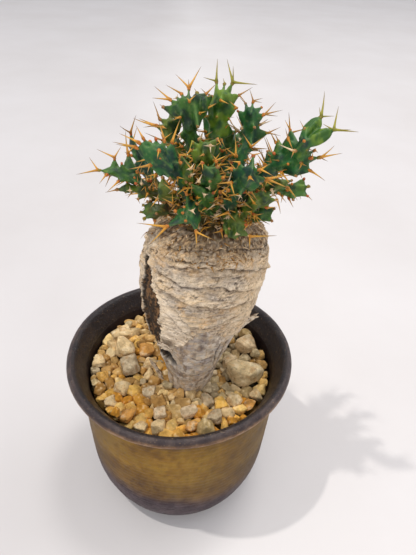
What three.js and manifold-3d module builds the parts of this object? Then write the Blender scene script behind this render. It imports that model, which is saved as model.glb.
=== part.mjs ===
// Potted succulent euphorbia: a glazed pot on a foot ring, a drain screen, a gravel bed,
// a swollen caudex with its taproot, spiny stems and loose stones.
// Millimetres, +Z up, origin under the middle of the foot.
import * as THREE from "three";
import { mergeVertices } from "three/addons/utils/BufferGeometryUtils.js";
import Module from "manifold-3d";

const wasm = await Module();
wasm.setup();

// ---- driving dimensions ---------------------------------------------------
const RIM_R = 60; // outer radius of the lip
const POT_H = 96.5; // height of the rim
const POT_SEGMENTS = 40;
const FOOT_OUT = 41.8; // foot ring, outer and inner radius
const FOOT_IN = 33.6;
const FOOT_RISE = 3.2; // recess under the floor
const FLOOR_T = 3.4;
const DRAIN_R = 6.5;
const NOTCH_R = 3.3; // arched cut-outs through the foot ring
const NOTCH_ANGLES = [-99.5, 20.5, 140.5];
const GAP = 0.3; // clearance between neighbouring pieces
const BED_TOP = 79.6; // mean level of the gravel bed
const STONE_REST = 80.5; // underside of the loose stones

// ---- helpers --------------------------------------------------------------
function solid(geometry) {
  const g = geometry.index ? geometry.toNonIndexed() : geometry.clone();
  g.deleteAttribute("normal");
  g.deleteAttribute("uv");
  const m = mergeVertices(g, 1e-3);
  return new wasm.Manifold(
    new wasm.Mesh({
      numProp: 3,
      vertProperties: new Float32Array(m.attributes.position.array),
      triVerts: new Uint32Array(m.index.array),
    }),
  );
}

function largest(s) {
  const pieces = s.decompose();
  let best = pieces[0];
  for (const p of pieces) if (p.volume() > best.volume()) best = p;
  return best;
}

function toGeometry(s) {
  const m = s.getMesh();
  const g = new THREE.BufferGeometry();
  const n = m.numProp;
  const pos = new Float32Array((m.vertProperties.length / n) * 3);
  for (let i = 0; i < pos.length / 3; i++)
    for (let k = 0; k < 3; k++) pos[3 * i + k] = m.vertProperties[n * i + k];
  g.setAttribute("position", new THREE.BufferAttribute(pos, 3));
  g.setIndex(new THREE.BufferAttribute(new Uint32Array(m.triVerts), 1));
  return g.toNonIndexed();
}

// Keeps the one main shell once nearly coincident vertices have been joined.
function settled(s) {
  for (let i = 0; i < 6; i++) {
    s = largest(s);
    const again = solid(toGeometry(s));
    if (again.decompose().length === 1) return again;
    s = again;
  }
  return s;
}

const group = new THREE.Group();
function add(name, geometry, color, roughness = 0.8) {
  const g = geometry.index ? geometry.toNonIndexed() : geometry;
  g.computeVertexNormals();
  const mesh = new THREE.Mesh(
    g,
    new THREE.MeshStandardMaterial({ color, roughness, metalness: 0 }),
  );
  mesh.name = name;
  group.add(mesh);
}

// Repeatable value between -1 and 1 for surface unevenness.
function wobble(a, b) {
  const s = Math.sin(a * 12.9898 + b * 78.233) * 43758.5453;
  return 2 * (s - Math.floor(s)) - 1;
}

function lathe(profile, segments) {
  const pts = profile.map(([r, z]) => new THREE.Vector2(r, z));
  const g = new THREE.LatheGeometry(pts, segments);
  g.rotateX(Math.PI / 2);
  return g;
}

// A tapered member from a to b.
function member(a, b, ra, rb, sides, grow = 0) {
  const A = new THREE.Vector3(...a);
  const B = new THREE.Vector3(...b);
  const d = B.clone().sub(A);
  const len = d.length();
  d.normalize();
  A.addScaledVector(d, -grow);
  B.addScaledVector(d, grow);
  const g =
    rb <= 0 && grow === 0
      ? new THREE.ConeGeometry(ra, len, sides)
      : new THREE.CylinderGeometry(
          Math.max(rb, 0.02) + grow,
          ra + grow,
          len + 2 * grow,
          sides,
        );
  g.applyQuaternion(
    new THREE.Quaternion().setFromUnitVectors(new THREE.Vector3(0, 1, 0), d),
  );
  g.translate((A.x + B.x) / 2, (A.y + B.y) / 2, (A.z + B.z) / 2);
  return solid(g);
}

// ---- pot ------------------------------------------------------------------
// [radius, height], round the closed wall section, from the foot ring outwards
const POT_PROFILE = [
  [FOOT_IN, 0],
  [FOOT_OUT, 0],
  [43.1, 3.2],
  [46.7, 10],
  [51.0, 26],
  [52.2, 48],
  [54.0, 87.6],
  [57.6, 89.4],
  [RIM_R, 92.6],
  [59.3, 95.6],
  [57.2, POT_H],
  [55.2, 95.2],
  [53.2, 91.4],
  [50.4, 86.4],
  [49.2, 70],
  [47.2, 26],
  [44.2, 14.6],
  [40.0, FOOT_RISE + FLOOR_T + 1.4],
  [30.0, FOOT_RISE + FLOOR_T],
  [DRAIN_R, FOOT_RISE + FLOOR_T],
  [DRAIN_R, FOOT_RISE],
  [FOOT_IN - 1.2, FOOT_RISE],
  [FOOT_IN, 0],
];
let pot = solid(lathe(POT_PROFILE, POT_SEGMENTS));
if (pot.volume() < 0) pot = solid(lathe([...POT_PROFILE].reverse(), POT_SEGMENTS));
for (const deg of NOTCH_ANGLES) {
  const g = new THREE.CylinderGeometry(NOTCH_R, NOTCH_R, 16, 10);
  g.rotateZ(Math.PI / 2);
  g.translate(38, 0, -0.5);
  g.rotateZ((deg * Math.PI) / 180);
  pot = pot.subtract(solid(g));
}
add("pot", toGeometry(pot), 0x6d5230, 0.4);

// ---- drain screen ---------------------------------------------------------
{
  const z0 = FOOT_RISE + FLOOR_T + GAP;
  let s = solid(lathe([[0, z0], [11, z0], [11, z0 + 1], [0, z0 + 1]], 16));
  if (s.volume() < 0)
    s = solid(lathe([[0, z0 + 1], [11, z0 + 1], [11, z0], [0, z0]], 16));
  for (let i = 0; i < 5; i++) {
    const r = i === 0 ? 0 : 3.6;
    const a = (i * Math.PI) / 2;
    const g = new THREE.CylinderGeometry(0.9, 0.9, 4, 6);
    g.rotateX(Math.PI / 2);
    g.translate(r * Math.cos(a), r * Math.sin(a), z0);
    s = s.subtract(solid(g));
  }
  add("drain_screen", toGeometry(s), 0x20242a, 0.6);
}

// ---- caudex ---------------------------------------------------------------
// [height, radius, centre x, centre y], tip of the taproot to the crown
const CAUDEX_RINGS = [
  [36, 0, 3.72, -8.51],
  [37.5, 4, 3.77, -8.46],
  [46, 7.5, 4.05, -8.18],
  [58, 9.4, 4.44, -7.79],
  [70, 10.4, 4.83, -7.4],
  [78, 11, 5.09, -7.14],
  [84, 12.2, 5.26, -6.88],
  [92, 14.8, 5.46, -6.35],
  [102, 17.9, 5.84, -5.69],
  [112, 20.6, 6.36, -5.02],
  [122, 23.7, 7.03, -4.36],
  [132, 26.7, 7.83, -3.7],
  [140, 28.0, 8.57, -3.17],
  [148, 28.5, 9.4, -2.64],
  [157, 28.4, 10.44, -2.05],
  [164, 27.4, 11.33, -1.58],
  [169, 25.8, 12.01, -1.25],
  [173, 23.0, 12.57, -0.99],
  [176.3, 17.5, 13.06, -0.77],
  [178, 9.0, 13.31, -0.66],
  [178.4, 0, 13.38, -0.63],
];
const CAUDEX_SEGMENTS = 24;
function caudexGeometry(grow) {
  const r = CAUDEX_RINGS;
  const z0 = r[0][0];
  const z1 = r[r.length - 1][0];
  const pts = r.map(([z, rad], i) => {
    if (i === 0) return [0, z - grow];
    if (i === r.length - 1) return [0, z + grow];
    return [rad + grow, z];
  });
  const g = lathe(pts, CAUDEX_SEGMENTS);
  const p = g.attributes.position;
  for (let i = 0; i < p.count; i++) {
    let x = p.getX(i);
    let y = p.getY(i);
    const z = p.getZ(i);
    let k = 0;
    while (k < r.length - 2 && z > r[k + 1][0]) k++;
    const u = Math.min(1, Math.max(0, (z - r[k][0]) / (r[k + 1][0] - r[k][0])));
    const cx = r[k][2] + (r[k + 1][2] - r[k][2]) * u;
    const cy = r[k][3] + (r[k + 1][3] - r[k][3]) * u;
    const rad = Math.hypot(x, y);
    if (rad > 1e-3) {
      const a = Math.round((Math.atan2(y, x) / (2 * Math.PI)) * CAUDEX_SEGMENTS);
      const seg = (a + CAUDEX_SEGMENTS) % CAUDEX_SEGMENTS;
      const s =
        1 +
        (0.012 * wobble(seg, Math.round(z)) +
          0.014 * Math.sin((6 * Math.PI * seg) / CAUDEX_SEGMENTS + z * 0.05)) *
          Math.min(1, rad / 12);
      x *= s;
      y *= s;
    }
    p.setXYZ(i, x + cx, y + cy, z);
  }
  let s = solid(g);
  return s;
}
const caudex = caudexGeometry(0);
const caudexPlus = caudexGeometry(GAP);
const caudexNear = caudexGeometry(GAP / 3);
add("caudex", toGeometry(caudex), 0xab9a86, 0.9);

// ---- peeling bark ---------------------------------------------------------
// Thin irregular plates standing just clear of the caudex.
function barkFlake(outline, thickness, at, normal, twist) {
  const shape = new THREE.Shape(outline.map(([x, y]) => new THREE.Vector2(x, y)));
  const g = new THREE.ExtrudeGeometry(shape, {
    depth: thickness,
    bevelEnabled: false,
  });
  const n = new THREE.Vector3(...normal).normalize();
  const side = new THREE.Vector3(0, 0, 1).cross(n).normalize();
  const up = n.clone().cross(side);
  const m = new THREE.Matrix4().makeBasis(side, up, n);
  g.rotateZ(twist);
  g.applyMatrix4(m);
  g.translate(...at);
  return solid(g);
}

// [name, outline in its own plane, thickness, middle, outward normal, turn]
const BARK_PLATES = [
  ["bark_flake_right", [[-2.6, -3.4], [1.2, -3.9], [2.9, -1.0], [2.2, 2.6], [-0.4, 3.8], [-2.9, 1.4]], 0.7, [33.6, -12.0, 126.5], [0.93, -0.3, -0.2], 0.1],
  ["bark_flake_front", [[-4.8, -2.6], [-1.0, -3.6], [3.9, -2.4], [4.9, 0.9], [1.6, 2.8], [-3.6, 3.2]], 0.7, [-6.9, -26.0, 123.2], [-0.52, -0.8, -0.3], -0.12],
  ["bark_flap_left", [[-2.2, -7.4], [1.8, -7.0], [3.0, -0.6], [2.3, 6.6], [-0.6, 8.2], [-2.8, 3.0]], 0.8, [-9.9, -12.9, 92.5], [-0.88, -0.37, -0.3], 0.05],
];
for (const [name, outline, thickness, at, normal, turn] of BARK_PLATES)
  add(name, toGeometry(barkFlake(outline, thickness, at, normal, turn)), 0xc9b59c, 0.9);

// ---- gravel bed -----------------------------------------------------------
{
  const wall = 0.35;
  const prof = [
    [0, BED_TOP + 0.6],
    [18, BED_TOP + 0.5],
    [27, BED_TOP + 0.1],
    [35, BED_TOP - 0.1],
    [43, BED_TOP - 0.3],
    [49.2 - wall, BED_TOP - 0.6],
    [48.9 - wall, 68],
    [47.0 - wall, 26],
    [44.0 - wall, 15],
    [39.6 - wall, FOOT_RISE + FLOOR_T + 2.2],
    [30, FOOT_RISE + FLOOR_T + 1.9],
    [0, FOOT_RISE + FLOOR_T + 1.9],
  ];
  const g = lathe([...prof].reverse(), 28);
  const p = g.attributes.position;
  for (let i = 0; i < p.count; i++) {
    const r = Math.hypot(p.getX(i), p.getY(i));
    if (p.getZ(i) > BED_TOP - 0.5 && r > 5 && r < 46) {
      const a = Math.round((Math.atan2(p.getY(i), p.getX(i)) / (2 * Math.PI)) * 28);
      p.setZ(i, p.getZ(i) + 0.32 * wobble((a + 28) % 28, Math.round(r)));
    }
  }
  let bed = solid(g);
  if (bed.volume() < 0) throw new Error("gravel bed is inside out");
  bed = largest(bed.subtract(caudexPlus));
  add("gravel_bed", toGeometry(bed), 0xb9975f, 1.0);
}

// ---- loose stones ---------------------------------------------------------
// [x, y, z, radius x, radius y, radius z, tone, turn in degrees]
const STONES = [
  [35.8, -8.76, 86.28, 9.05, 7.98, 5.78, 0, 31.0],
  [-31.02, 9.94, 84.97, 6.89, 6.07, 4.47, 1, 85.0],
  [-26.77, -2.86, 84.48, 6.08, 5.36, 3.98, 2, 288.0],
  [-35.38, 22.71, 84.58, 6.26, 5.51, 4.08, 1, 210.0],
  [38.49, 14.08, 84.55, 6.19, 5.46, 4.05, 3, 34.0],
  [-30.68, -16.77, 83.55, 4.56, 4.02, 3.05, 1, 156.0],
  [-19.13, 9.22, 83.62, 4.68, 4.12, 3.12, 4, 172.0],
  [-25.82, -34.22, 83.26, 4.07, 3.59, 2.76, 4, 58.0],
  [-44.28, 1.02, 83.22, 4.01, 3.53, 2.72, 1, 264.0],
  [4.29, -31.76, 83.3, 4.14, 3.64, 2.8, 5, 41.0],
  [27.98, -25.0, 83.21, 3.99, 3.52, 2.71, 1, 141.0],
  [17.07, -35.67, 83.27, 4.1, 3.61, 2.77, 2, 186.0],
  [24.37, -32.14, 83.01, 3.66, 3.23, 2.51, 1, 155.0],
  [6.25, -40.4, 82.94, 3.55, 3.13, 2.44, 4, 211.0],
  [-10.26, -40.85, 83.21, 4.0, 3.53, 2.71, 1, 266.0],
  [-18.67, -40.72, 82.91, 3.51, 3.09, 2.41, 1, 344.0],
  [-10.14, -32.64, 83.13, 3.87, 3.41, 2.63, 5, 102.0],
  [35.39, -27.5, 82.9, 3.48, 3.07, 2.4, 4, 233.0],
  [26.97, 1.73, 83.41, 4.32, 3.8, 2.91, 3, 251.0],
  [14.59, -24.64, 83.06, 3.75, 3.3, 2.56, 2, 105.0],
  [-16.68, 0.51, 83.23, 4.03, 3.55, 2.73, 1, 1.0],
  [-16.48, -19.61, 83.08, 3.78, 3.33, 2.58, 2, 350.0],
  [-35.21, -26.09, 83.02, 3.69, 3.25, 2.52, 1, 107.0],
  [39.35, -21.24, 82.96, 3.58, 3.16, 2.46, 1, 113.0],
];
const STONE_TONES = [0xc3ad7c, 0xcbb183, 0xa69880, 0xc9b893, 0xc98f45, 0xd3bca2];
STONES.forEach(([x, y, z, rx, ry, rz, tone, turn], i) => {
  const g = new THREE.DodecahedronGeometry(1, 0);
  g.scale(rx * 0.97, ry * 0.97, rz * 0.97);
  g.rotateZ((turn * Math.PI) / 180);
  g.translate(x, y, z);
  add("stone_" + String(i + 1).padStart(2, "0"), toGeometry(solid(g)), STONE_TONES[tone], 1.0);
});

// ---- stems ----------------------------------------------------------------
// core: [x, y, z, radius] along the middle of the stem
// teeth: [root x, y, z, tip x, y, z, root radius, shield kind,
//         [[spine tip x, y, z, spine kind, long spine 1 or 0], ...], modelled 1 or 0]
const STEMS = [
  {
    name: "stem_left_arm",
    core: [[-1.6, -2.4, 176.1, 2.7], [-7.2, -3.0, 187.7, 2.7], [-14.5, -4.0, 191.6, 2.5], [-20.3, -5.0, 195.9, 2.2], [-24.7, -5.0, 197.5, 2.0], [-28.5, -5.0, 198.9, 1.5], [-30.9, -5.0, 199.0, 1.0]],
    teeth: [
      [-29.3, -5.2, 198.7, -33.6, -4.6, 199.1, 1.6, 4, [[-42.2, -7.2, 198.2, 0, 1], [-37.6, -2.3, 203.5, 0, 0]], 1],
      [-27.4, -4.4, 199.3, -27.5, -2.8, 203.3, 1.7, 0, [[-34.7, -0.2, 206.1, 0, 1], [-25.1, 1.1, 207.0, 0, 0]], 1],
      [-21.5, -3.8, 198.4, -22.3, -0.4, 204.5, 2.3, 0, [[-23.5, 5.1, 211.9, 0, 1], [-19.3, 2.9, 207.7, 0, 0]], 1],
      [-23.9, -5.0, 197.1, -25.6, -8.9, 196.6, 1.9, 1, [[-30.0, -12.2, 193.4, 0, 0]], 0],
      [-23.9, -4.4, 198.1, -24.4, -5.1, 202.3, 1.5, 1, [], 1],
      [-19.2, -4.9, 195.4, -18.4, -6.1, 199.5, 1.6, 0, [[-16.2, -3.3, 203.4, 1, 0]], 0],
      [-18.4, -4.7, 195.0, -18.9, -8.9, 195.9, 1.7, 1, [], 0],
      [-16.1, -4.1, 192.9, -16.6, -7.7, 195.2, 1.8, 2, [[-16.8, -8.1, 197.9, 2, 0]], 0],
    ],
  },
  {
    name: "stem_left_low",
    core: [[-1.6, -1.7, 176.1, 2.8], [-7.2, -2.0, 186.2, 2.8], [-12.9, -4.0, 190.3, 2.7], [-17.7, -5.0, 191.6, 2.1], [-21.8, -5.0, 191.7, 1.3], [-24.6, -5.0, 191.8, 0.8]],
    teeth: [
      [-22.6, -5.1, 191.5, -26.8, -5.2, 191.1, 1.2, 3, [[-31.8, -6.6, 190.4, 1, 0]], 0],
      [-20.5, -5.1, 191.5, -21.2, -9.1, 192.9, 1.5, 2, [], 1],
      [-15.7, -5.0, 190.3, -18.1, -8.4, 189.0, 2.0, 2, [[-18.1, -10.3, 189.8, 1, 0], [-17.4, -10.6, 187.7, 1, 0]], 0],
      [-13.3, -4.2, 190.4, -13.5, -7.3, 193.4, 1.8, 3, [], 0],
      [-10.9, -3.3, 189.6, -10.9, -6.3, 192.7, 1.8, 2, [[-12.0, -3.7, 196.0, 1, 0]], 0],
      [-12.1, -3.8, 188.9, -13.3, -7.9, 188.9, 2.2, 2, [], 0],
    ],
  },
  {
    name: "stem_front_left",
    core: [[4.3, -11.1, 176.3, 3.0], [1.0, -15.0, 199.2, 3.0], [-2.1, -19.0, 205.0, 3.3], [-6.0, -22.0, 208.6, 3.4], [-8.4, -23.0, 212.0, 3.0], [-9.5, -23.0, 214.2, 2.2]],
    teeth: [
      [-10.2, -23.3, 213.2, -16.7, -23.0, 216.3, 2.9, 0, [[-24.8, -22.6, 217.9, 0, 1]], 1],
      [-12.7, -21.8, 215.5, -15.6, -23.4, 218.2, 1.6, 0, [[-22.5, -21.2, 220.5, 0, 1]], 1],
      [-11.3, -21.9, 215.5, -14.0, -21.3, 218.8, 1.6, 0, [[-17.1, -17.3, 222.3, 0, 0]], 1],
      [-4.9, -21.3, 212.2, -4.3, -19.1, 216.9, 2.7, 1, [[-1.4, -14.9, 224.5, 0, 1]], 1],
      [-8.5, -23.2, 209.8, -11.5, -26.0, 211.2, 2.6, 1, [[-19.6, -28.5, 210.5, 0, 1], [-12.6, -30.6, 210.0, 1, 0]], 1],
      [-8.8, -23.1, 212.8, -8.6, -25.5, 216.3, 1.8, 1, [[-9.1, -29.2, 214.6, 0, 0]], 0],
      [-9.8, -22.8, 214.5, -11.9, -20.5, 217.4, 1.5, 0, [[-12.4, -20.2, 217.7, 0, 0]], 1],
      [-9.1, -22.6, 214.8, -9.8, -22.0, 219.0, 1.5, 1, [[-8.4, -22.3, 218.7, 0, 0]], 1],
      [-8.4, -22.7, 214.5, -6.9, -22.5, 218.5, 1.5, 0, [[-6.7, -21.7, 219.6, 0, 0]], 1],
      [-5.7, -21.8, 207.0, -4.8, -26.0, 206.5, 2.4, 3, [], 0],
      [-3.9, -20.0, 208.6, -1.3, -22.4, 210.9, 2.0, 0, [], 0],
      [-7.4, -22.5, 214.8, -7.2, -16.9, 217.2, 1.6, 0, [[-9.4, -10.9, 221.8, 0, 1], [-4.0, -16.4, 219.9, 0, 0]], 1],
      [-6.7, -22.2, 209.5, -8.3, -25.2, 213.7, 2.6, 0, [], 0],
    ],
  },
  {
    name: "stem_upper_left",
    core: [[7.8, -4.6, 177.3, 3.0], [5.8, -6.0, 197.6, 3.0], [4.4, -6.0, 206.1, 3.0], [2.2, -6.0, 214.0, 3.1], [2.0, -6.0, 220.9, 3.4], [1.2, -6.0, 225.3, 3.0], [1.1, -6.0, 228.2, 1.8]],
    teeth: [
      [1.3, -6.0, 227.8, 1.4, -3.3, 231.5, 1.4, 0, [[-3.6, 0.0, 235.5, 0, 1], [5.7, 1.4, 238.2, 0, 1], [1.2, 3.0, 233.2, 1, 1]], 1],
      [-0.6, -6.3, 224.2, -5.3, -3.7, 227.3, 2.6, 0, [[-11.4, -0.4, 231.1, 0, 1], [-12.0, -5.1, 228.2, 0, 1]], 1],
      [3.9, -6.0, 222.8, 4.9, -12.8, 220.8, 4.2, 3, [], 1],
      [3.8, -5.8, 223.5, 8.2, -5.9, 225.5, 3.4, 0, [[11.8, -5.9, 227.5, 0, 0], [6.3, -6.4, 226.4, 0, 0]], 1],
      [1.2, -6.0, 226.0, 1.6, -9.4, 228.6, 2.3, 1, [[4.3, -8.9, 231.2, 0, 0], [0.4, -9.4, 230.2, 0, 0]], 0],
      [4.5, -6.1, 226.9, 7.8, -0.9, 229.1, 2.8, 0, [[11.8, 1.4, 232.6, 0, 0], [5.7, 0.5, 230.8, 1, 0]], 1],
      [7.1, -6.2, 226.3, 10.2, 1.0, 227.9, 2.4, 3, [], 1],
      [-2.8, -6.3, 223.4, -8.1, -2.8, 224.3, 2.3, 3, [[-9.4, -2.0, 225.2, 1, 0]], 1],
      [-0.2, -6.0, 222.3, -1.6, -10.0, 223.1, 1.8, 0, [[-4.1, -11.9, 223.8, 0, 0], [-4.8, -12.7, 222.6, 0, 0]], 0],
      [-0.3, -5.9, 227.1, -1.1, -2.1, 228.8, 1.6, 0, [[-7.1, 0.3, 231.5, 0, 1]], 1],
      [-1.4, -5.9, 226.3, -3.0, -0.2, 227.1, 1.6, 2, [], 1],
      [4.1, -6.1, 227.6, 4.5, -0.0, 229.1, 1.3, 4, [[3.3, 1.1, 230.6, 1, 0]], 1],
      [1.0, -6.1, 215.6, -1.6, -9.4, 215.8, 2.2, 2, [[-3.0, -10.9, 215.3, 1, 0]], 0],
      [4.1, -5.9, 213.3, 6.1, -9.2, 215.4, 2.2, 2, [[7.0, -8.6, 217.9, 2, 0]], 0],
      [1.0, -5.8, 219.3, 0.7, -3.9, 215.2, 3.0, 3, [], 0],
    ],
  },
  {
    name: "stem_outer_left",
    core: [[6.0, -3.1, 177.3, 2.7], [3.4, -4.0, 197.5, 2.7], [-0.7, -2.0, 205.1, 2.7], [-4.4, -1.0, 211.9, 2.5], [-5.6, -1.0, 216.7, 2.2]],
    teeth: [
      [-5.6, -1.0, 216.7, -9.3, 0.6, 218.5, 2.0, 3, [[-12.3, 5.0, 224.1, 1, 1], [-10.7, -0.1, 220.8, 1, 0]], 1],
      [-6.7, -1.2, 215.1, -10.6, -1.8, 216.8, 1.8, 0, [[-19.8, 0.3, 218.8, 0, 1], [-17.7, 2.1, 218.1, 0, 1], [-15.7, -4.0, 216.8, 1, 0]], 1],
      [-5.2, -0.6, 217.3, -5.3, 2.0, 220.7, 2.0, 0, [[-7.6, 1.7, 221.8, 0, 0]], 1],
      [-4.0, -0.9, 216.3, -1.2, -0.1, 219.4, 2.2, 3, [], 1],
      [-4.8, -0.9, 212.7, -7.6, -4.1, 212.5, 2.2, 0, [[-9.3, -4.2, 215.7, 0, 0]], 0],
      [-3.2, -1.1, 210.4, -3.1, -5.3, 211.5, 2.2, 1, [[-5.7, -7.5, 211.6, 0, 0]], 0],
    ],
  },
  {
    name: "stem_top",
    core: [[12.4, -3.1, 177.5, 3.1], [12.3, -4.0, 199.5, 3.1], [11.6, -1.0, 207.6, 3.0], [11.8, 2.0, 213.8, 3.0], [12.6, 2.0, 220.2, 3.1], [13.5, 2.0, 225.2, 3.0], [14.0, 2.0, 228.5, 1.9]],
    teeth: [
      [12.3, 2.2, 226.2, 11.9, 6.4, 231.8, 2.2, 4, [[12.2, 11.7, 238.9, 4, 1], [6.7, 6.6, 233.2, 4, 0]], 1],
      [14.6, 1.7, 225.3, 18.0, 5.1, 231.9, 2.8, 4, [[15.7, 10.7, 239.2, 4, 1], [18.0, 7.9, 237.3, 4, 0], [27.2, 2.4, 232.4, 4, 1]], 1],
      [14.1, 2.1, 227.8, 15.2, 7.9, 230.7, 1.8, 4, [[14.6, 9.3, 232.5, 4, 0]], 1],
      [16.1, 1.7, 225.4, 20.7, 5.3, 227.3, 2.8, 3, [[26.2, 7.1, 230.2, 1, 0], [23.4, 1.4, 225.7, 1, 0]], 1],
      [11.4, 2.2, 221.6, 8.7, -0.1, 224.0, 2.2, 0, [[12.2, -0.3, 225.8, 0, 0], [6.5, 0.2, 224.3, 0, 0]], 0],
      [15.9, 1.4, 222.8, 19.3, -0.8, 224.3, 3.0, 0, [[16.3, 0.1, 226.9, 0, 0]], 1],
      [11.1, 2.1, 219.3, 8.7, -1.1, 221.0, 2.0, 4, [], 0],
      [12.6, 2.0, 219.4, 12.3, -1.9, 221.1, 2.0, 4, [], 0],
      [13.1, 2.0, 217.8, 16.0, 0.4, 220.6, 2.4, 3, [[19.6, -3.6, 217.1, 1, 0]], 0],
      [11.6, 2.1, 223.9, 9.3, 5.8, 226.9, 2.4, 3, [], 1],
      [11.0, 1.4, 212.4, 8.8, -2.1, 213.6, 2.0, 0, [[11.1, -2.0, 215.6, 0, 0]], 0],
      [12.3, 0.7, 211.0, 14.3, -2.8, 212.4, 2.2, 3, [[15.9, -5.4, 210.7, 0, 0]], 0],
      [14.8, 1.4, 214.9, 19.5, 3.5, 213.1, 3.4, 3, [], 1],
    ],
  },
  {
    name: "stem_upper_right",
    core: [[18.7, -3.9, 177.3, 2.8], [21.1, -5.0, 200.2, 2.8], [23.7, -1.0, 206.3, 2.8], [25.7, 3.0, 211.5, 2.8], [25.5, 3.0, 217.5, 3.0], [25.8, 3.0, 221.9, 2.4]],
    teeth: [
      [25.9, 2.9, 221.1, 26.4, 4.3, 225.2, 2.0, 0, [[25.0, 7.4, 229.3, 1, 0], [30.3, 5.2, 226.7, 1, 0], [29.9, 3.1, 225.6, 1, 0]], 0],
      [26.9, 2.7, 218.9, 31.0, 2.8, 221.1, 2.5, 0, [[35.6, 5.6, 225.3, 1, 1], [38.4, 3.7, 222.9, 1, 1], [36.3, 1.3, 221.2, 1, 0]], 1],
      [27.9, 2.8, 212.9, 33.1, 2.1, 214.1, 2.5, 4, [[38.5, 3.3, 216.3, 1, 0], [38.3, 0.2, 213.8, 1, 0], [29.1, 4.4, 215.2, 1, 0]], 1],
      [27.1, 2.8, 221.2, 30.0, 5.5, 222.9, 1.6, 0, [], 1],
      [24.3, 3.4, 221.7, 23.9, 7.4, 223.7, 1.5, 3, [[21.7, 8.8, 225.4, 1, 0]], 1],
      [24.2, 3.3, 219.0, 20.9, 3.7, 221.7, 2.0, 1, [], 1],
      [26.3, 2.9, 216.8, 27.2, -1.6, 217.4, 2.3, 3, [], 0],
      [25.7, 2.3, 210.5, 26.4, -3.0, 210.3, 2.3, 0, [[22.6, -0.5, 214.9, 0, 0], [32.0, -1.5, 214.4, 0, 0]], 0],
      [25.1, 3.1, 213.1, 22.6, 1.0, 215.8, 2.2, 2, [[21.9, 1.4, 216.4, 2, 0]], 0],
      [22.9, -1.0, 206.3, 20.5, -5.2, 207.1, 2.4, 0, [[20.0, 0.0, 214.0, 0, 0], [15.2, -3.6, 210.4, 0, 0]], 0],
      [24.5, 2.0, 210.1, 22.1, -0.9, 212.2, 2.0, 2, [], 0],
    ],
  },
  {
    name: "stem_right_arm",
    core: [[21.5, -8.5, 176.6, 2.8], [24.9, -11.5, 195.6, 2.8], [30.3, -13.5, 203.1, 3.0], [35.0, -15.5, 209.1, 3.3], [39.3, -17.5, 211.2, 3.3], [41.8, -20.5, 215.6, 3.0], [42.6, -23.5, 219.8, 2.4]],
    teeth: [
      [35.9, -15.1, 211.3, 35.1, -11.5, 216.1, 2.8, 4, [[33.5, -10.7, 218.8, 1, 0]], 1],
      [39.5, -18.6, 215.9, 38.5, -13.5, 221.1, 2.8, 0, [[36.6, -11.1, 224.0, 0, 0], [36.8, -14.1, 223.4, 1, 0]], 1],
      [38.7, -17.6, 215.1, 37.4, -18.2, 219.2, 2.2, 0, [[36.1, -16.6, 222.8, 1, 0], [39.0, -22.7, 216.6, 0, 0]], 1],
      [33.0, -14.3, 208.5, 31.6, -11.5, 212.0, 2.5, 3, [], 1],
      [34.6, -14.4, 210.5, 33.1, -17.2, 213.4, 2.0, 1, [], 0],
      [41.6, -22.4, 221.1, 47.5, -18.1, 227.5, 2.6, 4, [[48.8, -12.6, 235.0, 4, 1], [47.1, -15.9, 230.4, 4, 0], [52.1, -19.0, 228.4, 4, 0]], 1],
      [42.6, -23.5, 219.8, 50.9, -24.3, 225.3, 3.3, 4, [[52.7, -19.5, 232.0, 4, 1], [59.8, -25.0, 225.2, 4, 1], [56.7, -25.4, 226.1, 4, 0], [46.9, -24.9, 227.5, 4, 0]], 1],
      [41.6, -23.0, 220.3, 41.8, -21.6, 224.3, 1.8, 3, [[41.4, -21.3, 224.7, 1, 0]], 1],
      [42.3, -22.7, 218.8, 41.2, -25.8, 221.6, 2.2, 0, [], 0],
      [42.5, -21.0, 215.1, 42.9, -24.1, 218.0, 2.2, 4, [[43.6, -24.7, 218.9, 0, 0]], 0],
      [43.2, -21.1, 212.9, 48.6, -22.7, 214.7, 2.2, 4, [[53.9, -20.3, 218.4, 0, 1], [56.8, -22.0, 216.3, 0, 1], [51.4, -24.5, 214.0, 1, 0]], 1],
      [42.9, -21.6, 214.2, 46.5, -21.4, 216.6, 2.0, 0, [[47.7, -22.9, 216.4, 0, 0]], 0],
      [42.7, -21.2, 213.7, 45.0, -24.5, 215.1, 2.4, 1, [[45.4, -24.0, 217.5, 0, 0]], 0],
      [42.2, -20.2, 210.9, 45.5, -24.6, 210.4, 3.6, 0, [[51.1, -27.0, 207.6, 0, 1]], 1],
      [38.3, -17.5, 210.0, 37.8, -21.6, 211.4, 2.4, 0, [], 0],
      [40.4, -18.9, 209.5, 40.9, -23.9, 207.8, 3.2, 3, [], 1],
    ],
  },
  {
    name: "stem_right_stub",
    core: [[28.0, -3.9, 175.8, 2.5], [34.0, -5.0, 194.5, 2.5], [41.7, -5.0, 192.9, 2.7], [47.0, -5.0, 193.5, 2.5]],
    teeth: [
      [47.4, -4.8, 193.9, 49.2, -4.7, 197.8, 2.2, 1, [[49.5, -4.6, 197.9, 1, 0]], 1],
      [47.4, -5.0, 193.5, 51.4, -5.7, 195.1, 2.0, 4, [[52.5, -5.9, 194.8, 1, 0]], 1],
      [47.5, -5.5, 192.9, 50.9, -7.9, 192.0, 2.2, 1, [[53.2, -9.1, 190.5, 1, 0]], 1],
      [45.0, -4.9, 193.4, 44.0, -7.4, 196.8, 2.0, 0, [], 0],
      [45.0, -5.6, 192.4, 45.0, -9.7, 191.1, 2.0, 3, [], 1],
      [42.5, -5.0, 192.9, 42.2, -8.9, 194.8, 2.0, 1, [[40.6, -9.3, 195.9, 0, 0]], 0],
      [40.4, -5.6, 192.3, 40.2, -9.9, 192.7, 2.2, 3, [[39.7, -11.6, 190.3, 0, 0]], 1],
    ],
  },
  {
    name: "stem_right_mid",
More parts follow.
